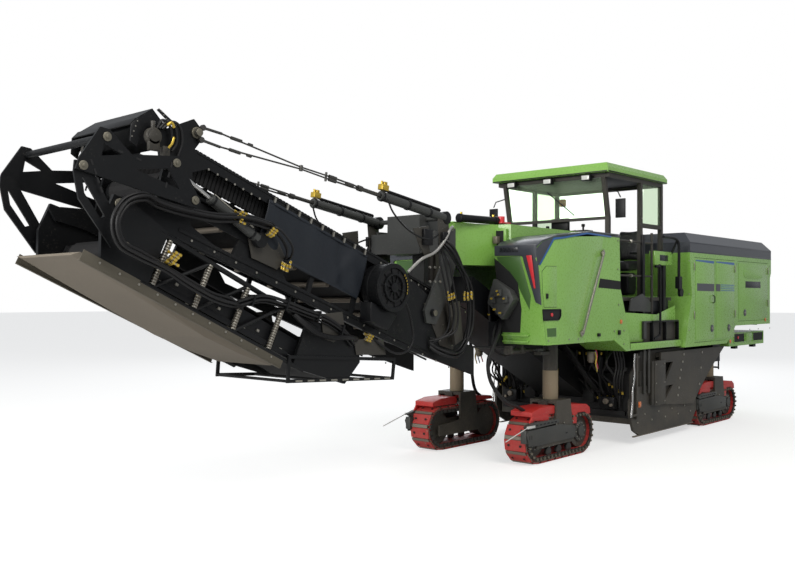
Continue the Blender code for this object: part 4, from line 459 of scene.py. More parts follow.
def repeat_tree(name, sizes, make_item):
    """A tree that stands an item on every point, its Z along the point's own facing."""
    tree = bpy.data.node_groups.new(name, "GeometryNodeTree")
    tree.interface.new_socket(name="Points", in_out="INPUT", socket_type="NodeSocketGeometry")
    for size, default in sizes:
        tree.interface.new_socket(name=size, in_out="INPUT",
            socket_type="NodeSocketFloat").default_value = default
    tree.interface.new_socket(name="Finish", in_out="INPUT", socket_type="NodeSocketMaterial")
    tree.interface.new_socket(name="Pieces", in_out="OUTPUT", socket_type="NodeSocketGeometry")
    given, result = tree.nodes.new("NodeGroupInput"), tree.nodes.new("NodeGroupOutput")
    stand = tree.nodes.new("GeometryNodeInstanceOnPoints")
    tree.links.new(given.outputs["Points"], stand.inputs["Points"])
    tree.links.new(make_item(tree, given), stand.inputs["Instance"])
    facing = tree.nodes.new("GeometryNodeInputNamedAttribute")
    facing.data_type = "FLOAT_VECTOR"
    facing.inputs["Name"].default_value = "facing"
    across = tree.nodes.new("GeometryNodeInputNamedAttribute")
    across.data_type = "FLOAT_VECTOR"
    across.inputs["Name"].default_value = "across"
    turn = tree.nodes.new("FunctionNodeAxesToRotation")
    turn.primary_axis = "Z"
    turn.secondary_axis = "X"
    tree.links.new(facing.outputs[0], turn.inputs[0])
    tree.links.new(across.outputs[0], turn.inputs[1])
    tree.links.new(turn.outputs[0], stand.inputs["Rotation"])
    real = tree.nodes.new("GeometryNodeRealizeInstances")
    tree.links.new(stand.outputs[0], real.inputs[0])
    painted = tree.nodes.new("GeometryNodeSetMaterial")
    tree.links.new(real.outputs[0], painted.inputs["Geometry"])
    tree.links.new(given.outputs["Finish"], painted.inputs["Material"])
    tree.links.new(painted.outputs[0], result.inputs[0])
    return tree


def round_item(sides, size_radius, size_height):
    """Item maker: a round or six-sided head of named sizes."""
    def make(tree, given):
        head = tree.nodes.new("GeometryNodeMeshCylinder")
        head.inputs["Vertices"].default_value = sides
        tree.links.new(given.outputs[size_radius], head.inputs["Radius"])
        tree.links.new(given.outputs[size_height], head.inputs["Depth"])
        return head.outputs["Mesh"]
    return make


def block_item(tree, given):
    """Item maker: a small block of named sizes, its length along the point's across."""
    sizes = tree.nodes.new("ShaderNodeCombineXYZ")
    for axis, size in (("X", "Length"), ("Y", "Width"), ("Z", "Height")):
        tree.links.new(given.outputs[size], sizes.inputs[axis])
    block = tree.nodes.new("GeometryNodeMeshCube")
    tree.links.new(sizes.outputs[0], block.inputs["Size"])
    return block.outputs["Mesh"]


BOLTS = repeat_tree("bolt_heads", [("Radius", 0.012), ("Height", 0.012)], round_item(6, "Radius", "Height"))
WASHERS = repeat_tree("washers", [("Radius", 0.03), ("Height", 0.006)], round_item(20, "Radius", "Height"))
BLOCKS = repeat_tree("blocks", [("Length", 0.04), ("Width", 0.01), ("Height", 0.004)], block_item)


def repeat(name, tree, places, body, finish, slot=None, **sizes):
    """Stand a tree's item on places, each (point, facing, across) in stations, as one baked piece."""
    bm = bmesh.new()
    facing = bm.verts.layers.float_vector.new("facing")
    across = bm.verts.layers.float_vector.new("across")
    for place in places:
        vert = bm.verts.new(at(*place[0]))
        vert[facing] = Vector(place[1]).normalized()
        vert[across] = Vector(place[2]) if len(place) > 2 else Vector(place[1]).orthogonal()
    mesh = bpy.data.meshes.new(name)
    bm.to_mesh(mesh)
    bm.free()
    made = bpy.data.objects.new(name, mesh)
    bpy.context.scene.collection.objects.link(made)
    change = made.modifiers.new("repeat", "NODES")
    change.node_group = tree
    values = {**sizes, "Finish": finish}
    for item in tree.interface.items_tree:
        if item.in_out == "INPUT" and item.name in values:
            change[item.identifier] = values[item.name]
    bake(made)
    made.data.shade_smooth()
    made.data.set_sharp_from_angle(angle=math.radians(32))
    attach(made, body)
    slot = slot or SLOT_OF.get(finish)
    return made


def on_side(x, side, y, z):
    """A place on a side's own outer face for a repeat, with its items lying along X."""
    return (x, side * y, z), (0, side, 0), (1, 0, 0)


def along(start, end, count):
    """Evenly spaced points from start to end, both included."""
    start, end = Vector(start), Vector(end)
    return [start.lerp(end, step / max(count - 1, 1)) for step in range(count)]


def smooth_path(points, steps=8):
    """A rounded path through some points (Catmull-Rom)."""
    points = [Vector(point) for point in points]
    padded = [2 * points[0] - points[1], *points, 2 * points[-1] - points[-2]]
    path = []
    for index in range(1, len(padded) - 2):
        a, b, c, d = padded[index - 1:index + 3]
        for step in range(steps):
            t = step / steps
            path.append(0.5 * ((2 * b) + (c - a) * t + (2 * a - 5 * b + 4 * c - d) * t * t
                + (3 * b - a - 3 * c + d) * t ** 3))
    path.append(points[-1])
    return path


UP_MAIN = Vector((-math.sin(math.radians(20)), 0, math.cos(math.radians(20))))
RUN_MAIN = Vector((math.cos(math.radians(20)), 0, math.sin(math.radians(20))))
UP_FRONT = Vector((0.427, 0, -0.904))
RUN_FRONT = Vector((-0.904, 0, -0.427))


def main3(along_run, up, y):
    """A point on the main conveyor, in stations."""
    return Vector((0.96, y, 1.22)) + RUN_MAIN * along_run + UP_MAIN * up


def front3(along_run, up, y):
    """A point on the folded section, in stations."""
    return Vector((5.40, y, 2.78)) + RUN_FRONT * along_run + UP_FRONT * up


def hose(name, body, points, diameter, finish=HOSE_RUBBER, sides=10, steps=8):
    """A free hose between two fittings: one closed round tube."""
    path = smooth_path(points, steps)
    form = Shapes()
    form.tube(path, diameter / 2, sides)
    made = form.piece(name, body, finish, slot="steel_black")
    return made


def pipes(name, body, points, diameter, offsets, finish=HOSE_RUBBER, sides=8, steps=6):
    """Lines clamped down side by side along one route, as one piece."""
    form = Shapes()
    path = smooth_path(points, steps)
    for offset in offsets:
        form.tube([point + Vector(offset) for point in path], diameter / 2, sides)
    return form.piece(name, body, finish, slot="steel_black")


def fitting_cluster(name, body, centre, run, across, rows, columns, gap, finish=YELLOW_ZINC, radius=0.013):
    """Hexagon hose ends in rows, each a nut with a longer collar before it."""
    run, across = Vector(run).normalized(), Vector(across).normalized()
    third = run.cross(across)
    places = []
    for row in range(rows):
        for column in range(columns):
            shift = ((row * 7 + column * 3) % 4) * 0.012
            place = (Vector(centre) + across * (column - (columns - 1) / 2) * gap
                + third * (row - (rows - 1) / 2) * gap * 0.8 + run * shift)
            places.append((place, run, across))
            places.append((place + run * 0.042, run, across))
    repeat(name, BOLTS, places, body, finish, slot="bare_steel", Radius=radius, Height=0.026)
    thin = [(place + run * 0.02, facing, turn) for place, facing, turn in places[::2]]
    repeat(f"{name}_collars", WASHERS, thin, body, PLATED_STEEL, Radius=radius * 0.72, Height=0.075)


def side_cloths():
    """The dust cloths on the main conveyor's flanks: hung from the upper rail, gathered in slack folds."""
    columns, rows = 110, 34
    start, stop, low, high = 1.90, 3.30, 0.165, 0.645
    for side, word in SIDES:
        bm = bmesh.new()
        sheet_uv = bm.loops.layers.uv.new("cloth")
        grid = []
        for row in range(rows + 1):
            line = []
            for column in range(columns + 1):
                s, t = column / columns, row / rows
                hang = math.sin(math.pi * t) ** 0.6
                slant = s + 0.22 * (1 - t)
                fold = 0.010 * math.sin(13.0 * slant) + 0.006 * math.sin(31.0 * slant + 2.2 * t)
                fold += 0.012 * math.exp(-((s - 0.12 - 0.16 * (1 - t)) / 0.05) ** 2)
                fold -= 0.010 * math.exp(-((s - 0.30 + 0.12 * (1 - t)) / 0.04) ** 2)
                wave = 0.0 if t > 0.97 else 0.006 * math.sin(9.0 * s) * (1 - t)
                rise = low + (high - low) * t + wave
                y = side * (0.4975 + 0.006 * (1 - t) + hang * (0.012 + fold))
                line.append(bm.verts.new(at(*main3(start + (stop - start) * s, rise, y))))
            grid.append(line)
        for row in range(rows):
            for column in range(columns):
                corners = (grid[row][column], grid[row][column + 1], grid[row + 1][column + 1],
                    grid[row + 1][column])
                face = bm.faces.new(corners if side < 0 else corners[::-1])
                cell = ((column, row), (column + 1, row), (column + 1, row + 1), (column, row + 1))
                for loop, (c, r) in zip(face.loops, cell if side < 0 else cell[::-1]):
                    loop[sheet_uv].uv = ((stop - start) * c / columns, (high - low) * r / rows)
        mesh = bpy.data.meshes.new(f"dust_cloth_{word}")
        bm.to_mesh(mesh)
        bm.free()
        mesh.materials.append(DARK_TARPAULIN)
        made = bpy.data.objects.new(f"dust_cloth_{word}", mesh)
        bpy.context.scene.collection.objects.link(made)
        wall = made.modifiers.new("cloth_thickness", "SOLIDIFY")
        wall.thickness = 0.002
        wall.offset = 0
        bake(made)
        made.data.shade_smooth()
        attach(made, "conveyor_main")
        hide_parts(f"side_cloth_{word}")
        clips = [(main3(a, 0.655, side * 0.512), (0, side, 0), RUN_MAIN) for a in [start + 0.06 + 0.16 * step
            for step in range(9)]]
        repeat(f"cloth_clips_{word}", BLOCKS, clips, "conveyor_main", PLATED_STEEL, Length=0.022, Width=0.05,
            Height=0.016)
        seam = Shapes()
        for up in (0.628, 0.180):
            seam.bar(main3(start + 0.01, up, side * 0.507), main3(stop - 0.01, up, side * 0.507), 0.007, 0.026)
        seam.piece(f"cloth_hems_{word}", "conveyor_main", DARK_TARPAULIN, bevel=0.002)


def main_conveyor():
    """The discharge conveyor's fixed section: belt walls, blowers, plates and rails."""
    walls = []
    for side in (1, -1):
        walls += [(main3(0.25 + 0.042 * step, 0.60, side * 0.405), UP_MAIN, (0, 1, 0)) for step in range(94)]
    repeat("belt_wall_ribs", BLOCKS, walls, "conveyor_main", BELT_RUBBER, Length=0.030, Width=0.028,
        Height=0.27)
    wall = Shapes()
    for side in (1, -1):
        wall.bar(main3(0.24, 0.592, side * 0.402), main3(4.17, 0.592, side * 0.402), 0.012, 0.25)
    wall.piece("belt_walls", "conveyor_main", BELT_RUBBER)
    cleats = [(main3(0.2 + 0.16 * step, 0.476, 0), UP_MAIN, (0, 1, 0)) for step in range(25)]
    repeat("belt_cleats", BLOCKS, cleats, "conveyor_main", BELT_RUBBER, Length=0.74, Width=0.018, Height=0.03)
    idlers = Shapes()
    for step in range(9):
        idlers.disc(main3(0.45 + 0.46 * step, 0.18, 0), (0, 1, 0), 0.028, 0.90, 14)
    idlers.piece("return_idlers", "conveyor_main", WORN_STEEL)
    for side, word in SIDES:
        caps = Shapes()
        caps.bar(main3(0.10, 0.683, side * 0.476), main3(4.15, 0.683, side * 0.476), 0.040, 0.012)
        caps.bar(main3(0.62, -0.012, side * 0.4945), main3(4.10, -0.012, side * 0.4945), 0.010, 0.030)
        caps.bar(main3(0.62, -0.088, side * 0.4945), main3(4.10, -0.088, side * 0.4945), 0.010, 0.020)
        caps.piece(f"rail_flanges_{word}", "conveyor_main", FRAME_BLACK, bevel=0.002)
        heads = [(main3(0.12 + 0.13 * step, 0.652, side * 0.4925), (0, side, 0), RUN_MAIN)
            for step in range(13)]
        heads += [(main3(0.20 + 0.25 * step, -0.05, side * 0.4925), (0, side, 0), RUN_MAIN)
            for step in range(16)]
        heads += [(main3(3.40 + 0.10 * step, 0.60, side * 0.4925), (0, side, 0), RUN_MAIN) for step in range(7)]
        heads += [(main3(0.10 + 0.13 * step, 0.10 + 0.075 * step, side * 0.4925), (0, side, 0), RUN_MAIN)
            for step in range(5)]
        repeat(f"frame_bolts_{word}", BOLTS, heads, "conveyor_main", PLATED_STEEL, Radius=0.011, Height=0.007)
        blower(side, word)
    plate = Shapes()
    for side in (1, -1):
        plate.prism([(4.10, 2.60), (3.78, 2.62), (3.66, 2.42), (3.76, 2.30), (4.06, 2.40)], side * 0.505,
            side * 0.517)
        plate.prism([(1.62, 1.98), (1.22, 2.02), (0.98, 1.62), (1.10, 1.44), (1.34, 1.50)], side * 0.4905,
            side * 0.502)
    plate.piece("side_gussets", "conveyor_main", GREY_PAINT, bevel=0.002)
    bolts = []
    for side in (1, -1):
        for x, z in ((1.52, 1.93), (1.36, 1.90), (1.28, 1.72), (1.18, 1.60), (1.12, 1.50), (1.34, 1.56)):
            bolts.append(((x, side * 0.5035, z), (0, side, 0), RUN_MAIN))
    repeat("gusset_bolts", BOLTS, bolts, "conveyor_main", PLATED_STEEL, Radius=0.017, Height=0.006)
    hooks = Shapes()
    for side in (1, -1):
        hooks.disc((4.64, side * 0.497, 3.45), (0, 1, 0), 0.050, 0.014, 24, inner=0.030)
        hooks.disc((4.64, side * 0.52, 3.45), (0, 1, 0), 0.034, 0.05, 16)
        hooks.disc((5.40, side * 0.548, 2.78), (0, 1, 0), 0.042, 0.016, 24)
        hooks.disc((5.40, side * 0.560, 2.78), (0, 1, 0), 0.022, 0.012, 6)
        hooks.disc((1.50, side * 0.568, 1.87), (0, 1, 0), 0.034, 0.014, 24)
    hooks.piece("pin_collars", "conveyor_main", PIN_STEEL, bevel=0.002)
    red = Shapes()
    for side in (1, -1):
        red.bar(main3(1.40, 0.035, side * 0.512), main3(1.52, 0.045, side * 0.512), 0.022, 0.055)
        red.disc(main3(1.46, 0.085, side * 0.512), (0, 1, 0), 0.020, 0.022, 12)
    red.piece("red_cut_off_taps", "conveyor_main", RED_PAINT, bevel=0.004)


def blower(side, word):
    """A round dust blower: outer ring, inner lip, throat with painted shade and a grille, and its case below.
    """
    centre = main3(1.63, 0.39, side * 0.705)
    form = Shapes()
    form.disc(centre, (0, 1, 0), 0.252, 0.034, 48, inner=0.205)
    form.disc(centre + Vector((0, side * -0.15, 0)), (0, 1, 0), 0.250, 0.030, 48, inner=0.236)
    form.disc(centre + Vector((0, side * 0.010, 0)), (0, 1, 0), 0.150, 0.040, 40, inner=0.128)
    form.piece(f"blower_rings_{word}", "conveyor_main", FRAME_BLACK, bevel=0.004)
    # A near-black disc painted as the shade deep in the blower's throat.
    throat = Shapes()
    throat.disc(centre + Vector((0, side * -0.008, 0)), (0, 1, 0), 0.204, 0.012, 40)
    throat.piece(f"blower_throat_shade_{word}", "conveyor_main", SHADE_AND_SEAM_BLACK)
    spokes = Shapes()
    for step in range(10):
        turn = math.pi * step / 5 + 0.2
        arm = Vector((math.cos(turn), 0, math.sin(turn)))
        spokes.bar(centre + arm * 0.045 + Vector((0, side * 0.012, 0)), centre + arm * 0.200
            + Vector((0, side * 0.004, 0)), 0.010, 0.016)
    spokes.disc(centre + Vector((0, side * 0.012, 0)), (0, 1, 0), 0.050, 0.030, 24)
    spokes.piece(f"blower_spokes_{word}", "conveyor_main", BLACK_PAINT, bevel=0.002)
    marks = Shapes()
    for step in range(7):
        turn = math.radians(196 - 9 * step) if side > 0 else math.radians(196 - 9 * step)
        spot = centre + Vector((math.cos(turn), 0, math.sin(turn))) * 0.212
        marks.bar(spot + Vector((0, side * 0.012, -0.010)), spot + Vector((0, side * 0.012, 0.010)), 0.012,
            0.010)
    marks.piece(f"blower_clips_{word}", "conveyor_main", YELLOW_ZINC, bevel=0.001)
    case = Shapes()
    foot = [main3(1.42, 0.16, 0), main3(1.84, 0.16, 0), main3(1.78, -0.03, 0), main3(1.50, -0.03, 0)]
    case.prism([(point[0], point[2]) for point in foot], side * 0.494, side * 0.66)
    case.piece(f"blower_outlet_{word}", "conveyor_main", BLACK_PAINT, bevel=0.012, segments=3)


def fold_linkage_details():
    """Collars, slots and bolts on the crank plates, couplers, fold cylinders and the head cover."""
    for side, word in SIDES:
        slots = []
        for start, stop, count in (((5.05, 2.95), (5.00, 3.12), 3), ((5.62, 2.86), (5.70, 3.06), 4),
                ((5.30, 3.13), (5.46, 3.17), 2)):
            for place in along((start[0], side * 0.6585, start[1]), (stop[0], side * 0.6585, stop[1]), count):
                slots.append((place, (0, side, 0), Vector((stop[0] - start[0], 0, stop[1] - start[1]))))
        # The slots are dark blocks painted as the shade seen in them.
        repeat(f"crank_slots_{word}", BLOCKS, slots, "fold_crank", SHADE_AND_SEAM_BLACK, Length=0.045, Width=0.016,
            Height=0.003)
        rings = Shapes()
        for centre, radius in (((4.77, 2.85), 0.036), ((5.77, 3.03), 0.036), ((4.95, 3.14), 0.036),
                ((5.575, 3.27), 0.036)):
            rings.disc((centre[0], side * 0.662, centre[1]), (0, 1, 0), radius, 0.010, 24)
            rings.disc((centre[0], side * 0.671, centre[1]), (0, 1, 0), radius * 0.45, 0.012, 6)
        rings.piece(f"crank_washers_{word}", "fold_crank", PIN_STEEL, bevel=0.0015)
        ends = Shapes()
        for centre, radius in (((5.47, 2.50), 0.036), ((5.39, 2.45), 0.024)):
            ends.disc((centre[0], side * 0.631, centre[1]), (0, 1, 0), radius, 0.008, 24)
            ends.disc((centre[0], side * 0.639, centre[1]), (0, 1, 0), radius * 0.45, 0.012, 6)
        ends.piece(f"coupler_washers_{word}", "fold_couplers", PIN_STEEL, bevel=0.0015)
        base, eye = Vector((4.00, side * 0.553, 2.56)), Vector((4.95, side * 0.553, 3.14))
        run = (eye - base).normalized()
        bands = Shapes()
        for reach in (0.10, 0.34, 0.60):
            bands.disc(base + run * reach, run, 0.052, 0.020, 24)
        bands.disc(base, (0, 1, 0), 0.070, 0.062, 24)
        bands.piece(f"fold_barrel_bands_{word}", "fold_barrels", FRAME_BLACK, bevel=0.003)
        line = Shapes()
        lift = Vector((-run.z, 0, run.x)) * 0.058
        line.tube([base + run * reach + lift for reach in (0.12, 0.3, 0.5, 0.62)], 0.009, 8)
        line.piece(f"fold_barrel_line_{word}", "fold_barrels", PLATED_STEEL)
    hood = Shapes()
    for side in (1, -1):
        hood.prism([(4.78, 3.34), (4.84, 3.50), (5.00, 3.605), (5.02, 3.590), (4.87, 3.48), (4.82, 3.34)],
            side * 0.470, side * 0.482)
        hood.prism([(5.195, 3.50), (5.26, 3.44), (5.27, 3.30), (5.21, 3.26), (5.16, 3.40)], side * 0.470,
            side * 0.482)
    hood.bar((5.205, 0, 3.495), (5.262, 0, 3.435), 0.93, 0.012)
    hood.piece("head_hood", "conveyor_main", FRAME_BLACK, bevel=0.002)
    rivets = []
    for side in (1, -1):
        rivets += [(place, (0, side, 0), (1, 0, 0)) for place in along((5.205, side * 0.4835, 3.47),
            (5.255, side * 0.4835, 3.34), 4) + along((4.80, side * 0.4835, 3.36), (4.98, side * 0.4835, 3.585),
            9)]
    repeat("head_hood_rivets", WASHERS, rivets, "conveyor_main", PLATED_STEEL, Radius=0.006, Height=0.004)
    motor = Shapes()
    for side in (1, -1):
        motor.disc((5.08, side * 0.510, 3.36), (0, 1, 0), 0.070, 0.056, 28)
        motor.disc((5.08, side * 0.541, 3.36), (0, 1, 0), 0.050, 0.008, 24)
        motor.box(5.03, 5.13, side * 0.50, side * 0.538, 3.24, 3.36)
        motor.box(4.93, 5.00, side * 0.49, side * 0.535, 3.20, 3.29)
        motor.disc((5.08, side * 0.515, 3.455), (0, 0, 1), 0.020, 0.06, 6)
    motor.piece("head_motors", "conveyor_main", GREY_PAINT, bevel=0.006)
    lines = Shapes()
    for side in (1, -1):
        for reach, low in ((0.0, 3.22), (0.05, 3.26), (0.10, 3.20)):
            lines.tube(smooth_path([(5.05 - reach / 2, side * 0.520, 3.43), (5.00 - reach, side * 0.530, 3.50),
                (4.93 - reach, side * 0.530, 3.46), (4.91 - reach, side * 0.525, 3.34),
                (4.95 - reach, side * 0.510, low)], 6), 0.013, 8)
    lines.piece("head_motor_lines", "conveyor_main", HOSE_RUBBER)
    sleeves = Shapes()
    for side in (1, -1):
        sleeves.tube(smooth_path([(5.00, side * 0.60, 3.45), (4.965, side * 0.605, 3.475),
            (4.935, side * 0.60, 3.44)], 6), 0.012, 8)
        sleeves.tube(smooth_path([(4.93, side * 0.59, 3.36), (4.945, side * 0.585, 3.31),
            (4.97, side * 0.57, 3.27)], 6), 0.010, 8)
    sleeves.piece("head_yellow_sleeves", "conveyor_main", YELLOW_ZINC)


def front_conveyor():
    """The folded section: sleeved posts, guard slots, cover edge, clamped lines and plates."""
    sleeves = []
    for share in (0.153, 0.278, 0.403, 0.528):
        for side in (1, -1):
            for step in range(17):
                sleeves.append((front3(share * 3.6, 0.045 + 0.0245 * step, side * 0.515), UP_FRONT, RUN_FRONT))
    repeat("post_sleeve_rings", WASHERS, sleeves, "conveyor_front", PLATED_STEEL, Radius=0.027, Height=0.011)
    core = Shapes()
    for share in (0.153, 0.278, 0.403, 0.528):
        for side in (1, -1):
            core.bar(front3(share * 3.6, 0.045, side * 0.515), front3(share * 3.6, 0.437, side * 0.515), 0.036,
                0.036)
    core.piece("post_sleeves", "conveyor_front", WORN_STEEL)
    for side, word in SIDES:
        edge = Shapes()
        edge.bar(front3(-0.11, 0.505, side * 0.533), front3(2.10, 0.505, side * 0.533), 0.006, 0.085)
        edge.bar(front3(-0.11, 0.552, side * 0.520), front3(2.10, 0.552, side * 0.520), 0.030, 0.006)
        edge.piece(f"cover_edge_{word}", "conveyor_front", TAN_EDGE, bevel=0.001)
        screws = [(front3(0.05 + 0.19 * step, 0.500, side * 0.538), (0, side, 0), RUN_FRONT)
            for step in range(11)]
        repeat(f"cover_screws_{word}", WASHERS, screws, "conveyor_front", PLATED_STEEL, Radius=0.010,
            Height=0.007)
        inner = Shapes()
        inner.bar(front3(0.25, 0.405, side * 0.500), front3(2.15, 0.405, side * 0.500), 0.012, 0.055)
        inner.bar(front3(0.20, 0.30, side * 0.47), front3(2.25, 0.30, side * 0.47), 0.020, 0.16)
        inner.piece(f"inner_channel_{word}", "conveyor_front", BLACK_PAINT, bevel=0.002)
        bits = []
        for step in range(12):
            bits.append((front3(0.30 + 0.16 * step, 0.33 + 0.05 * ((step * 5) % 3), side * 0.487), (0, side, 0),
                RUN_FRONT))
        repeat(f"roller_brackets_{word}", BLOCKS, bits, "conveyor_front", PLATED_STEEL, Length=0.03,
            Width=0.022, Height=0.014)
        plates = Shapes()
        plates.prism([(3.23, 1.88), (2.94, 1.90), (2.90, 1.68), (3.06, 1.60), (3.20, 1.64)], side * 0.541,
            side * 0.551)
        plates.prism([(2.78, 1.62), (2.34, 1.60), (2.30, 1.44), (2.74, 1.46)], side * 0.541, side * 0.551)
        plates.piece(f"foot_plates_{word}", "conveyor_front", GREY_PAINT, bevel=0.002)
    slots = []
    for side in (1, -1):
        for step in range(9):
            x = 2.28 + 0.155 * step
            slots.append(((x, side * 0.5510, 1.187 + 0.0465 * (x - 2.18)), (0, side, 0), (1, 0, 0.0465)))
    repeat("guard_slots", BLOCKS, slots, "conveyor_front", PLATED_STEEL, Length=0.085, Width=0.016,
        Height=0.003)
    route = [(4.26, 0.555, 1.98), (3.98, 0.555, 2.03), (3.72, 0.560, 1.98), (3.45, 0.560, 1.90),
        (3.18, 0.560, 1.82), (2.95, 0.555, 1.70), (2.80, 0.550, 1.58)]
    spread_out = [(0, 0, 0), (0.01, 0.028, 0.024), (-0.01, 0.004, 0.032), (0.0, 0.030, -0.010),
        (0.012, 0.006, -0.030)]
    pipes("front_lines", "conveyor_front", route, 0.024, spread_out)
    straps = []
    for x, z in ((4.10, 2.015), (3.70, 1.975), (3.30, 1.86), (2.98, 1.72)):
        straps.append(((x, 0.570, z), (0.9, 0, 0.35), (0, 1, 0)))
    repeat("line_straps", BLOCKS, straps, "conveyor_front", FRAME_BLACK, Length=0.075, Width=0.105,
        Height=0.018)


def conveyor_hoses():
    """Free hoses at the fold, at the foot and under the tower; all go back into the machine."""
    upper = [(3.98, 0.590, 2.700), (4.22, 0.600, 2.735), (4.55, 0.600, 2.725), (4.88, 0.605, 2.755),
        (5.12, 0.610, 2.80)]
    for index, (grow, y, diameter) in enumerate(((0.0, 0.0, 0.034), (0.030, 0.030, 0.028),
            (-0.030, 0.028, 0.028), (0.006, 0.058, 0.026))):
        points = [(3.78, 0.506, 2.67 + grow), (3.86, 0.545 + y / 2, 2.685 + grow)]
        for x, py, z in upper:
            points.append((x, py + y, z + grow))
        bend = [(5.30, 2.83), (5.455, 2.775), (5.545, 2.62), (5.500, 2.455), (5.344, 2.375), (5.07, 2.28),
            (4.83, 2.16), (4.58, 2.05), (4.36, 1.995)]
        for x, z in bend:
            off = Vector((x - 5.20, 0, z - 2.60)).normalized() * grow if x > 5.0 else Vector((0, 0, -grow))
            points.append((x + off.x, 0.700 + y if x > 5.2 else 0.640 + y - (5.2 - x) * 0.06, z + off.z))
        points.append((4.19, 0.545, 1.952 + grow / 2))
        made = hose(f"fold_hose_{index + 1}", None, points, diameter, steps=6)
        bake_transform(made)
    fitting_cluster("fold_lower_fittings", "conveyor_front", (5.02, 0.655, 2.375), (-0.90, 0, -0.42), (0, 1, 0),
        4, 3, 0.036)
    fitting_cluster("main_fittings_upper", "conveyor_main", (4.30, 0.60, 2.76), (-0.94, 0, -0.34), (0, 1, 0), 4,
        3, 0.036)
    fitting_cluster("main_fittings_middle", "conveyor_main", (3.93, 0.59, 2.65), (-0.94, 0, -0.34), (0, 1, 0),
        3, 3, 0.034)
    fitting_cluster("main_fittings_lower", "conveyor_main", (3.66, 0.535, 2.37), (0.2, 0, -0.98), (1, 0, 0), 2,
        3, 0.036)
    fitting_cluster("foot_fittings", "conveyor_front", (2.62, 0.56, 1.64), (-0.94, 0, -0.30), (0, 1, 0), 3, 2,
        0.036)
    for index, (dx, dy) in enumerate(((0.0, 0.0), (0.02, 0.034), (-0.02, 0.068))):
        hose(f"bracket_hose_{index + 1}", "conveyor_main", [(3.95 + dx, 0.508, 2.70),
            (3.88 + dx, 0.555 + dy, 2.68), (3.78 + dx, 0.580 + dy, 2.60), (3.70 + dx, 0.575 + dy, 2.50),
            (3.665 + dx, 0.545 + dy / 2, 2.42), (3.64 + dx, 0.508, 2.405)], 0.022, steps=7)
    corrugated = [(3.58, 0.545, 1.885), (3.50, 0.590, 1.800), (3.36, 0.61, 1.705), (3.14, 0.605, 1.650),
        (2.94, 0.595, 1.645), (2.82, 0.575, 1.635), (2.735, 0.545, 1.620)]
    hose("corrugated_hose", "conveyor_front", corrugated, 0.044, steps=10)
    path = smooth_path(corrugated, 12)
    rings = [(path[index], path[index + 1] - path[index], (0, 1, 0)) for index in range(1, len(path) - 2)]
    repeat("corrugated_hose_ribs", WASHERS, rings, "conveyor_front", HOSE_RUBBER, Radius=0.0265, Height=0.012)
    loop = [(2.14, 0.60, 2.10), (2.02, 0.60, 1.95), (1.95, 0.60, 1.78), (1.92, 0.60, 1.60), (2.02, 0.60, 1.47),
        (2.21, 0.595, 1.455), (2.38, 0.57, 1.54), (2.52, 0.54, 1.64), (2.60, 0.505, 1.71)]
    hose("foot_loop", "conveyor_main", loop, 0.026)
    for side, word in SIDES:
        for index, (dy, dz, diameter) in enumerate(((0.0, 0.0, 0.036), (0.040, 0.02, 0.036),
                (0.020, -0.035, 0.028), (0.060, -0.02, 0.028))):
            run = [(1.30 - dz, 2.60 + dz), (1.13 - dz, 2.40), (0.985 + dz, 2.19), (0.935 + dz, 1.95),
                (0.955 + dz, 1.70), (1.05, 1.50 - dz), (1.18, 1.40 - dz), (1.34, 1.40 - dz)]
            route = [(1.385, side * 0.535, 2.72 + dz)] + [(x, side * (0.600 + dy), z) for x, z in run]
            route += [(1.46, side * (0.55 + dy / 2), 1.45 - dz), (1.53, side * 0.508, 1.51 - dz)]
            made = hose(f"tower_hose_{word}_{index + 1}", None, route, diameter, steps=6)
            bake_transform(made)
        for index, dy in enumerate((0.0, 0.034, 0.068)):
            run = [(1.46, 2.46), (1.38, 2.22), (1.32, 2.02), (1.28, 1.84), (1.34, 1.66)]
            route = [(1.375, side * 0.535, 2.66 - dy)] + [(x - dy, side * (0.60 + dy), z) for x, z in run]
            route += [(1.44, side * (0.56 + dy / 2), 1.58), (1.53, side * 0.508, 1.59 - dy)]
            made = hose(f"arm_hose_{word}_{index + 1}", None, route, 0.022, steps=6)
            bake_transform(made)
        fitting_cluster(f"tower_fittings_{word}", "tower", (1.30, side * 0.63, 2.10), (0, 0, -1),
            (-0.7, side * 0.3, 0), 2, 3, 0.036)
        fitting_cluster(f"tower_fittings_low_{word}", "tower", (1.02, side * 0.66, 2.10), (0, 0, -1),
            (-0.5, side * 0.8, 0), 3, 3, 0.040)
        sag = [(2.30, 0.575, 3.07), (2.22, 0.59, 2.93), (2.02, 0.60, 2.78), (1.80, 0.60, 2.70),
            (1.62, 0.59, 2.69), (1.48, 0.565, 2.73), (1.395, 0.530, 2.765)]
        hose(f"barrel_hose_{word}", "tower", [(x, side * y, z) for x, y, z in sag], 0.020,
            steps=7)
    braid = [(1.125, 0.505, 2.81), (1.17, 0.555, 2.85), (1.27, 0.590, 2.81), (1.36, 0.600, 2.70),
        (1.54, 0.60, 2.55), (1.76, 0.58, 2.46), (1.90, 0.508, 2.32)]
    made = hose("braided_hose", None, braid, 0.034, finish=BRAIDED_SLEEVE)
    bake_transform(made)


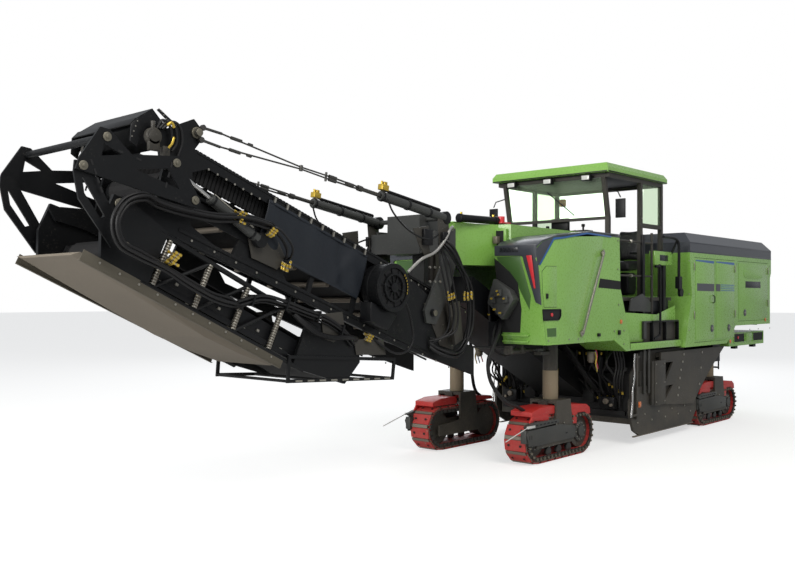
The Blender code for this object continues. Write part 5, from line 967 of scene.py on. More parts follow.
def tower_details():
    """Head plates, boxes and cylinder parts on the slewing tower and the lift cylinders."""
    for side, word in SIDES:
        plates = Shapes()
        plates.prism([(1.86, 2.80), (1.60, 2.84), (1.58, 2.52), (1.66, 2.50), (1.76, 2.62)], side * 0.540,
            side * 0.554)
        plates.prism([(1.44, 2.96), (1.24, 3.00), (1.22, 2.62), (1.40, 2.60)], side * 0.541, side * 0.549)
        plates.prism([(1.30, 1.96), (1.12, 2.00), (1.06, 1.56), (1.20, 1.50)], side * 0.552, side * 0.62)
        plates.piece(f"tower_plates_{word}", "tower", GREY_PAINT, bevel=0.003)
        blocks = Shapes()
        blocks.box(1.58, 1.72, side * 0.555, side * 0.60, 2.62, 2.80)
        blocks.box(1.30, 1.40, side * 0.567, side * 0.61, 2.66, 2.78)
        blocks.piece(f"tower_valves_{word}", "tower", BLACK_PAINT, bevel=0.004)
        base, eye = Vector((1.27, side * 0.52, 2.95)), Vector((4.64, side * 0.52, 3.45))
        run = (eye - base).normalized()
        lift = Vector((-run.z, 0, run.x))
        bands = Shapes()
        bands.disc(base, (0, 1, 0), 0.075, 0.070, 24)
        for reach in (0.30, 0.66, 1.075):
            bands.disc(base + run * reach, run, 0.058, 0.030, 24)
        bands.piece(f"lift_barrel_bands_{word}", "lift_barrels", FRAME_BLACK, bevel=0.003)
        line = Shapes()
        line.tube([base + run * 0.10 + lift * 0.066, base + run * 0.50 + lift * 0.070, base + run * 1.02
            + lift * 0.070], 0.014, 8)
        line.piece(f"lift_barrel_line_{word}", "lift_barrels", HOSE_RUBBER)
        ribs = [(base + run * (0.12 + 0.022 * step) + lift * 0.0695, run, (0, 1, 0)) for step in range(40)]
        repeat(f"lift_barrel_line_ribs_{word}", WASHERS, ribs, "lift_barrels", HOSE_RUBBER, Radius=0.0175,
            Height=0.008)
        valve = Shapes()
        spot = base + run * 1.06 + lift * 0.095
        valve.bar(spot - run * 0.05, spot + run * 0.05, 0.070, 0.060)
        valve.bar(spot - run * 0.03 + lift * 0.045, spot + run * 0.01 + lift * 0.045, 0.050, 0.034)
        valve.disc(spot + run * 0.03 + lift * 0.045, lift, 0.014, 0.04, 6)
        valve.piece(f"lift_valve_{word}", "lift_barrels", YELLOW_ZINC, bevel=0.003)
        rod = Shapes()
        rod.tube([base + run * 0.62, base + run * 1.42], 0.021, 16)
        for offset in (0.060, -0.060):
            knot, clamp = base + run * 1.80 + lift * offset * 0.25, base + run * 2.22 + lift * offset * 0.16
            rod.tube([base + run * 1.38, base + run * 1.48 + lift * offset * 0.2, knot], 0.010, 8)
            rod.tube([knot, clamp, eye - run * 0.22 + lift * offset], 0.0085, 8)
            rod.tube([eye - run * 0.24 + lift * offset, eye - run * 0.03 + lift * offset * 0.9], 0.013, 8)
            rod.disc(eye - run * 0.04 + lift * offset * 0.9, (0, 1, 0), 0.026, 0.030, 16)
            rod.disc(knot, run, 0.019, 0.10, 10)
            rod.disc(knot + run * 0.09, lift, 0.013, 0.060, 8)
            rod.disc(eye - run * 0.40 + lift * offset * 0.9, run, 0.016, 0.12, 10)
            rod.disc(eye - run * 0.56 + lift * offset * 0.85, run, 0.014, 0.05, 10)
        rod.disc(base + run * 1.41, run, 0.030, 0.06, 14)
        rod.disc(base + run * 1.56, run, 0.026, 0.09, 6)
        rod.disc(base + run * 2.22, lift, 0.020, 0.055, 6)
        rod.disc(eye, (0, 1, 0), 0.034, 0.046, 20)
        made = rod.piece(f"lift_rod_and_ropes_{word}", "lift_rods", DARK_STEEL, bevel=0.0015, segments=1)
        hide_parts(f"lift_rod_{word}")
        bolts = [((1.40 + 0.09 * (step % 3), side * 0.556, 2.22 + 0.16 * (step // 3)), (0, side, 0), (1, 0, 0))
            for step in range(6)]
        repeat(f"arm_bolts_{word}", BOLTS, bolts, "tower", PLATED_STEEL, Radius=0.015, Height=0.014)


def slanted_front(z):
    """X of the pods' front faces at a height."""
    if z < 2.20:
        return 0.22 + (z - 1.48) * 0.14 / 0.72
    if z < 2.4996:
        return 0.36 + (z - 2.20) * 0.06 / 0.2996
    return 0.42


def front_patch(form, outline, side, rise, seat=0.0006):
    """A plate on a pod's slanted front, its outline given as Y and Z."""
    back = [(slanted_front(z) + seat, side * y, z) for y, z in outline]
    form.loft([back, [(x + rise, y, z) for x, y, z in back]])


def pods():
    """Front pods: dark cowl, blue line, panels, painted shade in the front recesses, lamps and the prop bar on
    each flank.
    """
    for side, word in SIDES:
        face = side * 1.2006
        out = side * 1.2066
        cowl = Shapes()
        cowl.prism([(0.418, 2.618), (0.299, 2.698), (-0.051, 2.779), (-0.891, 2.869), (-1.600, 2.869),
            (-1.598, 2.842), (-0.741, 2.852), (-0.145, 2.766), (0.051, 2.742), (0.354, 2.424), (0.400, 2.424)],
            face, out)
        front_patch(cowl, [(0.62, 2.545), (0.985, 2.535), (1.015, 2.525), (1.135, 1.985), (1.203, 1.955),
            (1.203, 2.66), (0.62, 2.665)], side, 0.022)
        cowl.piece(f"cowl_{word}", "machine", COWL_PAINT, bevel=0.003, segments=3)
        lid = Shapes()
        lid.loft([[(x, side * 0.603, z), (x, side * 1.206, z), (x, side * 1.196, z + 0.016),
            (x, side * 0.612, z + 0.016)] for x, z in ((0.424, 2.628), (0.300, 2.702), (-0.051, 2.783),
            (-0.891, 2.873), (-1.600, 2.873))])
        lid.piece(f"cowl_top_{word}", "machine", COWL_PAINT, bevel=0.004, segments=3)
        label = Shapes()
        front_patch(label, [(0.70, 2.585), (0.96, 2.578), (0.96, 2.635), (0.70, 2.64)], side, 0.006, 0.0235)
        label.piece(f"bare_cowl_plate_{word}", "machine", BARE_PLATE, bevel=0.001)
        line = Shapes()
        edge = [(0.376, 2.424), (0.060, 2.756), (-0.145, 2.779), (-0.741, 2.864), (-1.363, 2.852),
            (-1.363, 2.832), (-0.741, 2.842), (-0.145, 2.756), (0.046, 2.733), (0.345, 2.424)]
        line.prism(edge, side * 1.2068, side * 1.2082)
        line.piece(f"blue_line_{word}", "machine", BLUE_PAINT, bevel=0.0004)
        red = Shapes()
        front_patch(red, [(1.075, 2.535), (1.150, 2.535), (1.160, 2.150), (1.138, 2.150)], side, 0.007, 0.0232)
        red.piece(f"red_lamp_strip_{word}", "machine", RED_PAINT, bevel=0.003)
        # A flat near-black patch painted as the deep shadow between the nose and the pod's front frame.
        shadow_patch = Shapes()
        front_patch(shadow_patch, [(0.602, 2.520), (0.66, 2.48), (0.80, 2.36), (0.905, 2.22), (0.915, 1.90),
            (0.86, 1.62), (0.602, 1.62)], side, 0.004)
        shadow_patch.piece(f"front_painted_shadow_{word}", "machine", SHADE_AND_SEAM_BLACK)
        # The gusset is painted in the shaded green: painted shade on the pod's front face.
        gusset = Shapes()
        front_patch(gusset, [(0.64, 2.530), (0.975, 2.530), (1.065, 2.06), (1.03, 1.90), (0.917, 2.15),
            (0.905, 2.225), (0.80, 2.365), (0.66, 2.485)], side, 0.006)
        gusset.piece(f"inner_gusset_{word}", "machine", GREEN_SHADED, bevel=0.001)
        shelf = Shapes()
        front_patch(shelf, [(0.605, 1.60), (1.00, 1.60), (0.98, 1.575), (0.605, 1.575)], side, 0.030)
        front_patch(shelf, [(0.605, 1.525), (0.98, 1.525), (0.97, 1.50), (0.605, 1.50)], side, 0.030)
        shelf.piece(f"front_shelves_{word}", "machine", GREEN_PAINT, bevel=0.002)
        block = Shapes()
        outline = [(0.61, 2.27), (0.84, 2.13), (0.90, 2.02), (0.73, 1.78), (0.52, 1.98)]
        block.loft([[(x, side * y, z) for y, z in outline] for x in (0.31, 0.45)])
        for y, z, wide in ((0.70, 2.10, 0.10), (0.80, 2.02, 0.07), (0.62, 2.02, 0.06)):
            block.box(0.4502, 0.50, side * (y - wide / 2), side * (y + wide / 2), z - 0.04, z + 0.04)
        block.piece(f"front_valve_block_{word}", "machine", TOWER_GREY, bevel=0.005)
        ports = [((0.503, side * y, z), (1, 0, 0), (0, 1, 0)) for y, z in ((0.70, 2.12), (0.72, 2.08),
            (0.80, 2.03), (0.62, 2.03), (0.66, 1.90), (0.74, 1.86))]
        repeat(f"front_valve_ports_{word}", BOLTS, ports, "machine", YELLOW_ZINC, Radius=0.013, Height=0.03)
        panel = Shapes()
        panel.prism([(0.205, 1.50), (0.340, 2.200), (0.366, 2.33), (0.366, 2.400), (0.345, 2.410),
            (0.040, 2.722), (-0.145, 2.744), (-0.741, 2.830), (-1.150, 2.838), (-1.115, 2.64), (-0.530, 1.63),
            (-0.66, 1.50)], face, side * 1.2045)
        panel.piece(f"flank_panel_{word}", "machine", GREEN_PAINT, bevel=0.0015)
        seams = Shapes()
        outline = [(0.314, 2.350), (0.222, 2.416), (-0.014, 2.420), (-0.014, 1.925), (0.270, 1.925),
            (0.300, 2.10)]
        seams.prism(outline, side * 1.2044, side * 1.2050)
        seams.prism([(0.30, 1.900), (0.285, 1.775), (-0.055, 1.775), (-0.100, 1.820), (-0.100, 1.900)],
            side * 1.2046, side * 1.2056)
        seams.prism([(-1.075, 2.290), (-1.625, 2.262), (-1.625, 2.150), (-1.030, 2.172)], face, side * 1.2028)
        seams.piece(f"flank_seams_{word}", "machine", SHADE_AND_SEAM_BLACK)
        door = Shapes()
        centre = Vector((0.16, 0, 2.17))
        door.prism([(centre.x + (x - centre.x) * 0.965, centre.z + (z - centre.z) * 0.978) for x, z in outline],
            side * 1.2052, side * 1.2100)
        door.prism([(0.228, 1.690), (0.205, 1.565), (-0.014, 1.565), (-0.014, 1.690)], side * 1.2046,
            side * 1.2062)
        door.piece(f"flank_hatch_{word}", "machine", GREEN_PAINT, bevel=0.002)
        # The hatch's inset is painted in the shaded green: painted shade.
        hatch_shade = Shapes()
        hatch_shade.prism([(0.212, 1.678), (0.192, 1.577), (-0.002, 1.577), (-0.002, 1.678)], side * 1.2063,
            side * 1.2069)
        hatch_shade.piece(f"small_hatch_{word}", "machine", GREEN_SHADED)
        frame_edge = Shapes()
        hatch = [(0.30, 1.900), (0.285, 1.775), (-0.055, 1.775), (-0.100, 1.820), (-0.100, 1.900)]
        for start, stop in zip(hatch, hatch[1:] + hatch[:1]):
            frame_edge.bar((start[0], side * 1.2105, start[1]), (stop[0], side * 1.2105, stop[1]), 0.012, 0.012)
        frame_edge.box(0.20, 0.235, side * 1.211, side * 1.228, 2.03, 2.09)
        frame_edge.box(-1.60, -1.55, side * 1.201, side * 1.225, 1.55, 1.61)
        frame_edge.box(-1.06, -1.00, side * 1.201, side * 1.222, 1.545, 1.585)
        frame_edge.piece(f"flank_fittings_{word}", "machine", BLACK_PAINT, bevel=0.003)
        prop = Shapes()
        prop.bar((-1.120, side * 1.234, 2.625), (-0.590, side * 1.234, 1.600), 0.020, 0.034)
        prop.bar((-1.150, side * 1.216, 2.640), (-1.085, side * 1.216, 2.600), 0.030, 0.060)
        prop.bar((-0.622, side * 1.216, 1.620), (-0.556, side * 1.216, 1.580), 0.030, 0.060)
        prop.piece(f"prop_bar_{word}", "machine", PLATED_STEEL, bevel=0.004, segments=3)
        lamp = Shapes()
        lamp.disc((-1.640, side * 1.206, 1.722), (0, 1, 0), 0.030, 0.012, 24)
        lamp.piece(f"amber_reflector_front_{word}", "machine", AMBER_LENS, bevel=0.003)
        stop_lamp = Shapes()
        stop_lamp.disc((0.10, side * 1.209, 1.838), (0, 1, 0), 0.022, 0.014, 20)
        stop_lamp.piece(f"red_flank_lamp_{word}", "machine", RED_PAINT, bevel=0.003)
        bolts = [on_side(x, side, 1.2062, z) for x, z in ((-1.55, 2.80), (-1.55, 2.42), (-1.57, 1.95),
            (-1.72, 1.60), (-1.72, 1.42), (-1.45, 1.60), (0.17, 1.53), (-0.30, 1.53), (-0.52, 1.53))]
        repeat(f"flank_bolts_{word}", WASHERS, bolts, "machine", PLATED_STEEL, Radius=0.010, Height=0.008)
        skirt = Shapes()
        skirt.prism([(-0.66, 1.478), (0.205, 1.478), (0.205, 1.50), (-0.66, 1.50)], face, side * 1.210)
        skirt.prism([(-1.90, 1.322), (-1.78, 1.322), (-1.445, 1.478), (-1.445, 1.505), (-1.79, 1.350),
            (-1.90, 1.350)], face, side * 1.210)
        skirt.piece(f"flank_lip_{word}", "machine", GREEN_PAINT, bevel=0.002)
    wires = [(-1.42, 1.33), (-1.45, 1.26), (-1.43, 1.18), (-1.47, 1.09)]
    for index, (finish, shift) in enumerate(((RED_PAINT, 0.0), (WIRE_MIXED, 0.05), (WIRE_YELLOW, 0.09))):
        bundle = [(x + shift, side * (0.95 + 0.02 * index), z - shift * 0.3) for side in (1, -1) for x,
            z in wires]
        form = Shapes()
        for part in (bundle[:4], bundle[4:]):
            for spread_out in (0.0, 0.022):
                form.tube(smooth_path([(x + spread_out, y + spread_out / 2, z + spread_out) for x, y,
                    z in part], 5), 0.008, 6)
        form.piece(f"harness_{index + 1}", "machine", finish, slot="steel_black")


def nose_details():
    """The nose between the pods: window, slew cylinder, valve group and hoses."""
    frame_form = Shapes()
    for side in (1, -1):
        for y0, y1, z0, z1 in ((0.24, 0.58, 2.66, 2.90), (0.24, 0.52, 2.46, 2.64)):
            frame_form.box(0.1212, 0.150, side * y0, side * y1, z0, z1)
    frame_form.piece("nose_frames", "machine", GREEN_PAINT, bevel=0.006, segments=3)
    # Near-black sheets behind the frames, painted as the shade inside the window recesses.
    inside = Shapes()
    for side in (1, -1):
        inside.box(0.1505, 0.1525, side * 0.27, side * 0.55, 2.69, 2.87)
        inside.box(0.1505, 0.1525, side * 0.27, side * 0.49, 2.485, 2.615)
    inside.piece("nose_window_shade", "machine", SHADE_AND_SEAM_BLACK)
    valve = Shapes()
    for side in (1, -1):
        valve.box(0.153, 0.20, side * 0.32, side * 0.42, 2.72, 2.84)
        valve.box(0.153, 0.22, side * 0.44, side * 0.50, 2.71, 2.80)
        valve.disc((0.20, side * 0.37, 2.79), (1, 0, 0), 0.026, 0.05, 14)
    valve.piece("nose_valves", "machine", WORN_STEEL, bevel=0.003)
    caps = Shapes()
    caps.box(0.30, 0.72, -0.215, 0.215, 2.952, 2.968)
    caps.box(-1.58, 0.10, -0.44, 0.44, 2.952, 2.966)
    caps.piece("nose_cap", "machine", GREEN_PAINT, bevel=0.005)
    for side, word in SIDES:
        base = Shapes()
        base.box(-0.08, 0.12, side * 0.40, side * 0.50, 2.968, 2.985)
        base.disc((0.06, side * 0.45, 3.02), (0, 0, 1), 0.045, 0.07, 20)
        base.piece(f"slew_cylinder_base_{word}", "machine", RED_PAINT, bevel=0.003)
        barrel = Shapes()
        barrel.disc((0.42, side * 0.36, 3.00), (1, -0.16 * side, 0), 0.048, 0.66, 24)
        barrel.disc((0.12, side * 0.408, 3.00), (1, -0.16 * side, 0), 0.056, 0.05, 24)
        barrel.disc((0.72, side * 0.312, 3.00), (1, -0.16 * side, 0), 0.056, 0.05, 24)
        barrel.piece(f"slew_cylinder_{word}", "machine", BLACK_PAINT, bevel=0.003)
        ports = Shapes()
        ports.disc((0.16, side * 0.40, 3.055), (0, 0, 1), 0.016, 0.04, 6)
        ports.disc((0.70, side * 0.315, 3.055), (0, 0, 1), 0.016, 0.04, 6)
        ports.piece(f"slew_ports_{word}", "machine", YELLOW_ZINC, bevel=0.001)
        group = Shapes()
        group.box(0.05, 0.20, side * 0.46, side * 0.58, 1.98, 2.26)
        group.box(0.10, 0.26, side * 0.42, side * 0.50, 2.06, 2.18)
        group.prism([(0.22, 2.02), (0.00, 1.94), (-0.30, 1.66), (-0.26, 1.58), (0.02, 1.72), (0.24, 1.90)],
            side * 0.50, side * 0.595)
        group.disc((0.20, side * 0.52, 1.86), (1, 0, 0.3), 0.05, 0.10, 20)
        group.piece(f"valve_group_{word}", "machine", BLACK_PAINT, bevel=0.005)
        stem = Shapes()
        for z, y in ((2.22, 0.53), (2.12, 0.45), (2.06, 0.55)):
            stem.disc((0.215, side * y, z), (1, 0, 0), 0.017, 0.04, 6)
        stem.piece(f"valve_group_ports_{word}", "machine", YELLOW_ZINC, bevel=0.001)
        hose(f"nose_hose_{word}", "machine", [(0.235, side * 0.420, 2.12), (0.30, side * 0.440, 2.02),
            (0.30, side * 0.445, 1.84), (0.22, side * 0.44, 1.66), (0.08, side * 0.46, 1.52),
            (-0.08, side * 0.51, 1.46), (-0.22, side * 0.56, 1.49), (-0.32, side * 0.590, 1.56)], 0.040)
        bands = smooth_path([(0.30, side * 0.44, 1.84), (0.22, side * 0.42, 1.66), (0.08, side * 0.41, 1.50)],
            4)
        places = [(bands[step], bands[step + 1] - bands[step], (0, 1, 0)) for step in (0, 3, 6)]
        repeat(f"nose_hose_bands_{word}", WASHERS, places, "machine", YELLOW_ZINC, Radius=0.0235, Height=0.014)
        recess = Shapes()
        recess.prism([(-0.18, 1.85), (-0.62, 1.84), (-0.62, 1.46), (-0.18, 1.47)], side * 0.585, side * 0.5995)
        recess.piece(f"inner_liner_{word}", "machine", GREEN_PAINT, bevel=0.002)
        hose(f"leg_hose_{word}", "machine", [(0.18, side * 0.585, 1.82), (0.34, side * 0.585, 1.74),
            (0.44, side * 0.595, 1.58), (0.42, side * 0.595, 1.44), (0.30, side * 0.585, 1.36),
            (0.12, side * 0.57, 1.33), (-0.02, side * 0.56, 1.36), (-0.12, side * 0.56, 1.43)], 0.030)


def track_hoses():
    """The thick hose from under the nose down to each front track."""
    for side, word in SIDES:
        route = [(0.19, side * 0.585, 1.88), (0.33, side * 0.640, 1.76), (0.50, side * 0.72, 1.62),
            (0.66, side * 0.765, 1.48), (0.79, side * 0.78, 1.30), (0.76, side * 0.78, 1.10),
            (0.62, side * 0.78, 0.93), (0.42, side * 0.78, 0.79), (0.22, side * 0.78, 0.725),
            (0.03, side * 0.78, 0.645)]
        if word == "right":
            route = [(-0.78, -0.66, 1.45), (-0.79, -0.655, 1.28), (-0.80, -0.65, 1.10), (-0.81, -0.65, 0.95),
                (-0.86, -0.66, 0.80), (-0.95, -0.68, 0.70), (-1.06, -0.70, 0.645)]
        made = hose(f"track_hose_{word}", None, route, 0.046)
        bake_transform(made)


def loop_place(centre_x, distance, outward):
    """Point and outward facing on a track's path, measured from its top rear as in the part's source."""
    radius, straight, middle = 0.255, 1.06, 0.29
    arc = math.pi * radius
    distance = distance % (2 * straight + 2 * arc)
    reach = radius + outward
    if distance < straight:
        return (centre_x - straight / 2 + distance, middle + reach), (0.0, 1.0)
    distance -= straight
    if distance < arc:
        turn = math.pi / 2 - distance / radius
        return (centre_x + straight / 2 + reach * math.cos(turn), middle + reach * math.sin(turn)), (
            math.cos(turn), math.sin(turn))
    distance -= arc
    if distance < straight:
        return (centre_x + straight / 2 - distance, middle - reach), (0.0, -1.0)
    distance -= straight
    turn = -math.pi / 2 - distance / radius
    return (centre_x - straight / 2 + reach * math.cos(turn), middle + reach * math.sin(turn)), (math.cos(turn),
        math.sin(turn))


def tracks():
    """Chain links, pad plates, hub covers, fenders, leg sleeves and front pointers."""
    pitch = (2 * 1.06 + 2 * math.pi * 0.255) / 22
    for end, centre_x, centre_y in (("front", -0.593, 0.757), ("rear", -5.12, 0.95)):
        for side, word in SIDES:
            body = f"leg_{end}_{word}"
            y = side * centre_y
            plates, bolts, links, gaps, rollers = [], [], [], [], []
            for shoe in range(22):
                middle = (shoe + 0.5 + 0.36) * pitch
                (x, z), (fx, fz) = loop_place(centre_x, middle, 0.004)
                plates.append(((x, y, z), (fx, 0, fz), (0, 1, 0)))
                (x, z), _ = loop_place(centre_x, middle, 0.036)
                for across in (-0.085, 0.085):
                    bolts.append(((x, y + across, z), (fx, 0, fz), (0, 1, 0)))
                (x, z), (gx, gz) = loop_place(centre_x, middle + 0.5 * pitch, 0.0365)
                gaps.append(((x, y, z), (gx, 0, gz), (0, 1, 0)))
                for half in (0.25, 0.75):
                    (x, z), _ = loop_place(centre_x, middle + half * pitch, -0.030)
                    rollers.append(((x, y + side * 0.182, z), (0, side, 0), (1, 0, 0)))
                for half in (0.0, 0.5):
                    (x, z), (fx, fz) = loop_place(centre_x, middle + half * pitch, -0.030)
                    for across in (-0.157, 0.157):
                        links.append(((x, y + across, z), (fx, 0, fz), (0, 1, 0)))
            repeat(f"pad_plates_{end}_{word}", BLOCKS, plates, body, WORN_STEEL, Length=0.312, Width=0.150,
                Height=0.012)
            repeat(f"pad_bolts_{end}_{word}", WASHERS, bolts, body, SHADE_AND_SEAM_BLACK, Radius=0.016, Height=0.004)
            repeat(f"chain_links_{end}_{word}", BLOCKS, links, body, DARK_STEEL, Length=0.022, Width=0.066,
                Height=0.044)
            repeat(f"pad_gap_plates_{end}_{word}", BLOCKS, gaps, body, WORN_STEEL, Length=0.286, Width=0.040,
                Height=0.006)
            repeat(f"chain_rollers_{end}_{word}", WASHERS, rollers, body, PIN_STEEL, Radius=0.015, Height=0.020)
            hub = Shapes()
            for x in (centre_x + 0.53, centre_x - 0.53):
                hub.disc((x, y + side * 0.112, 0.29), (0, 1, 0), 0.135, 0.022, 32)
                hub.disc((x, y + side * 0.130, 0.29), (0, 1, 0), 0.075, 0.036, 28)
            for x in (centre_x - 0.24, centre_x, centre_x + 0.24):
                hub.disc((x, y + side * 0.112, 0.115), (0, 1, 0), 0.062, 0.030, 20)
            hub.piece(f"wheel_covers_{end}_{word}", body, TOWER_GREY, bevel=0.003, slot="bare_steel")
            heads = []
            for x in (centre_x + 0.53, centre_x - 0.53):
                for step in range(10):
                    turn = 2 * math.pi * step / 10
                    heads.append(((x + 0.108 * math.cos(turn), y + side * 0.126, 0.29 + 0.108 * math.sin(turn)),
                        (0, side, 0), (1, 0, 0)))
            for x, z in ((0.30, 0.40), (0.18, 0.46), (-0.22, 0.46), (-0.34, 0.40), (0.0, 0.46), (0.0, 0.30)):
                heads.append(((centre_x + x, y + side * 0.2005, z), (0, side, 0), (1, 0, 0)))
            repeat(f"wheel_bolts_{end}_{word}", BOLTS, heads, body, PLATED_STEEL, Radius=0.010, Height=0.012)
            fender = Shapes()
            near, edge = y + side * 0.152, y + side * 0.172
            fender.prism([(centre_x + 0.69, 0.652), (centre_x + 0.50, 0.690), (centre_x + 0.175, 0.690),
                (centre_x + 0.175, 0.592), (centre_x + 0.69, 0.592)], y - side * 0.137, edge)
            fender.prism([(centre_x + 0.69, 0.594), (centre_x + 0.74, 0.520), (centre_x + 0.70, 0.505),
                (centre_x + 0.64, 0.545), (centre_x + 0.31, 0.510), (centre_x + 0.31, 0.594)], near, edge)
            fender.prism([(centre_x - 0.175, 0.675), (centre_x - 0.62, 0.640), (centre_x - 0.70, 0.592),
                (centre_x - 0.175, 0.592)], y - side * 0.137, edge)
            fender.prism([(centre_x - 0.175, 0.594), (centre_x - 0.70, 0.594), (centre_x - 0.72, 0.510),
                (centre_x - 0.63, 0.505), (centre_x - 0.56, 0.545), (centre_x - 0.38, 0.550),
                (centre_x - 0.36, 0.410), (centre_x - 0.27, 0.420), (centre_x - 0.25, 0.560)], near, edge)
            fender.piece(f"track_fenders_{end}_{word}", body, FENDER_RED, bevel=0.004, segments=3)
            arm = Shapes()
            arm.prism([(centre_x + 0.67, 0.245), (centre_x + 0.80, 0.255), (centre_x + 0.86, 0.40),
                (centre_x + 0.83, 0.445), (centre_x + 0.10, 0.455), (centre_x - 0.25, 0.40),
                (centre_x - 0.25, 0.25)], y + side * 0.1956, y + side * 0.215)
            arm.prism([(centre_x + 0.86, 0.490), (centre_x + 0.72, 0.530), (centre_x + 0.12, 0.520),
                (centre_x + 0.12, 0.470), (centre_x + 0.80, 0.452)], y + side * 0.150, y + side * 0.205)
            arm.box(centre_x + 0.78, centre_x + 0.86, y + side * 0.120, y + side * 0.196, 0.29, 0.45)
            arm.piece(f"track_arm_cover_{end}_{word}", body, TOWER_GREY, bevel=0.004)
            # The slots are dark blocks painted as the shade seen in them.
            cuts = [((centre_x + 0.20 + 0.085 * step, y + side * 0.2056, 0.494), (0, side, 0), (1, 0, 0))
                for step in range(7)]
            cuts += [((centre_x + 0.76 + 0.045 * step, y + side * 0.2156, 0.36), (0, side, 0), (0, 0, 1))
                for step in range(2)]
            cuts.append(((centre_x - 0.04, y + side * 0.2156, 0.33), (0, side, 0), (1, 0, 0)))
            repeat(f"track_arm_slots_{end}_{word}", BLOCKS, cuts, body, SHADE_AND_SEAM_BLACK, Length=0.048, Width=0.016,
                Height=0.002)
            collar = Shapes()
            top = 1.115
            collar.disc((centre_x, y, (0.7505 + top) / 2), (0, 0, 1), 0.0975, top - 0.7505, 40)
            collar.piece(f"leg_sleeve_{end}_{word}", body, COLUMN_BROWN, bevel=0.002)
            gauge = Shapes()
            gauge.disc((centre_x - 0.110, y + side * 0.040, 0.945), (0, 0, 1), 0.007, 0.37, 8)
            gauge.piece(f"leg_gauge_rod_{end}_{word}", body, YELLOW_ZINC, bevel=0.001)
            if end == "front":
                pointer = Shapes()
                pointer.tube([(0.25, y + side * 0.210, 0.487), (0.70, y + side * 0.205, 0.372)], 0.0065, 8)
                pointer.box(0.10, 0.26, y + side * 0.2052, y + side * 0.222, 0.472, 0.502)
                pointer.piece(f"steering_pointer_{word}", body, WHITE_LENS, bevel=0.001, slot="paint_grey")
    ring = Shapes()
    for side in (1, -1):
        ring.disc((-0.593, side * 0.757, 1.47), (0, 0, 1), 0.160, 0.05, 36)
        ring.disc((-5.12, side * 0.95, 1.30), (0, 0, 1), 0.160, 0.04, 36)
    ring.piece("leg_guide_rings", "machine", GREY_PAINT, bevel=0.004, slot="paint_grey")


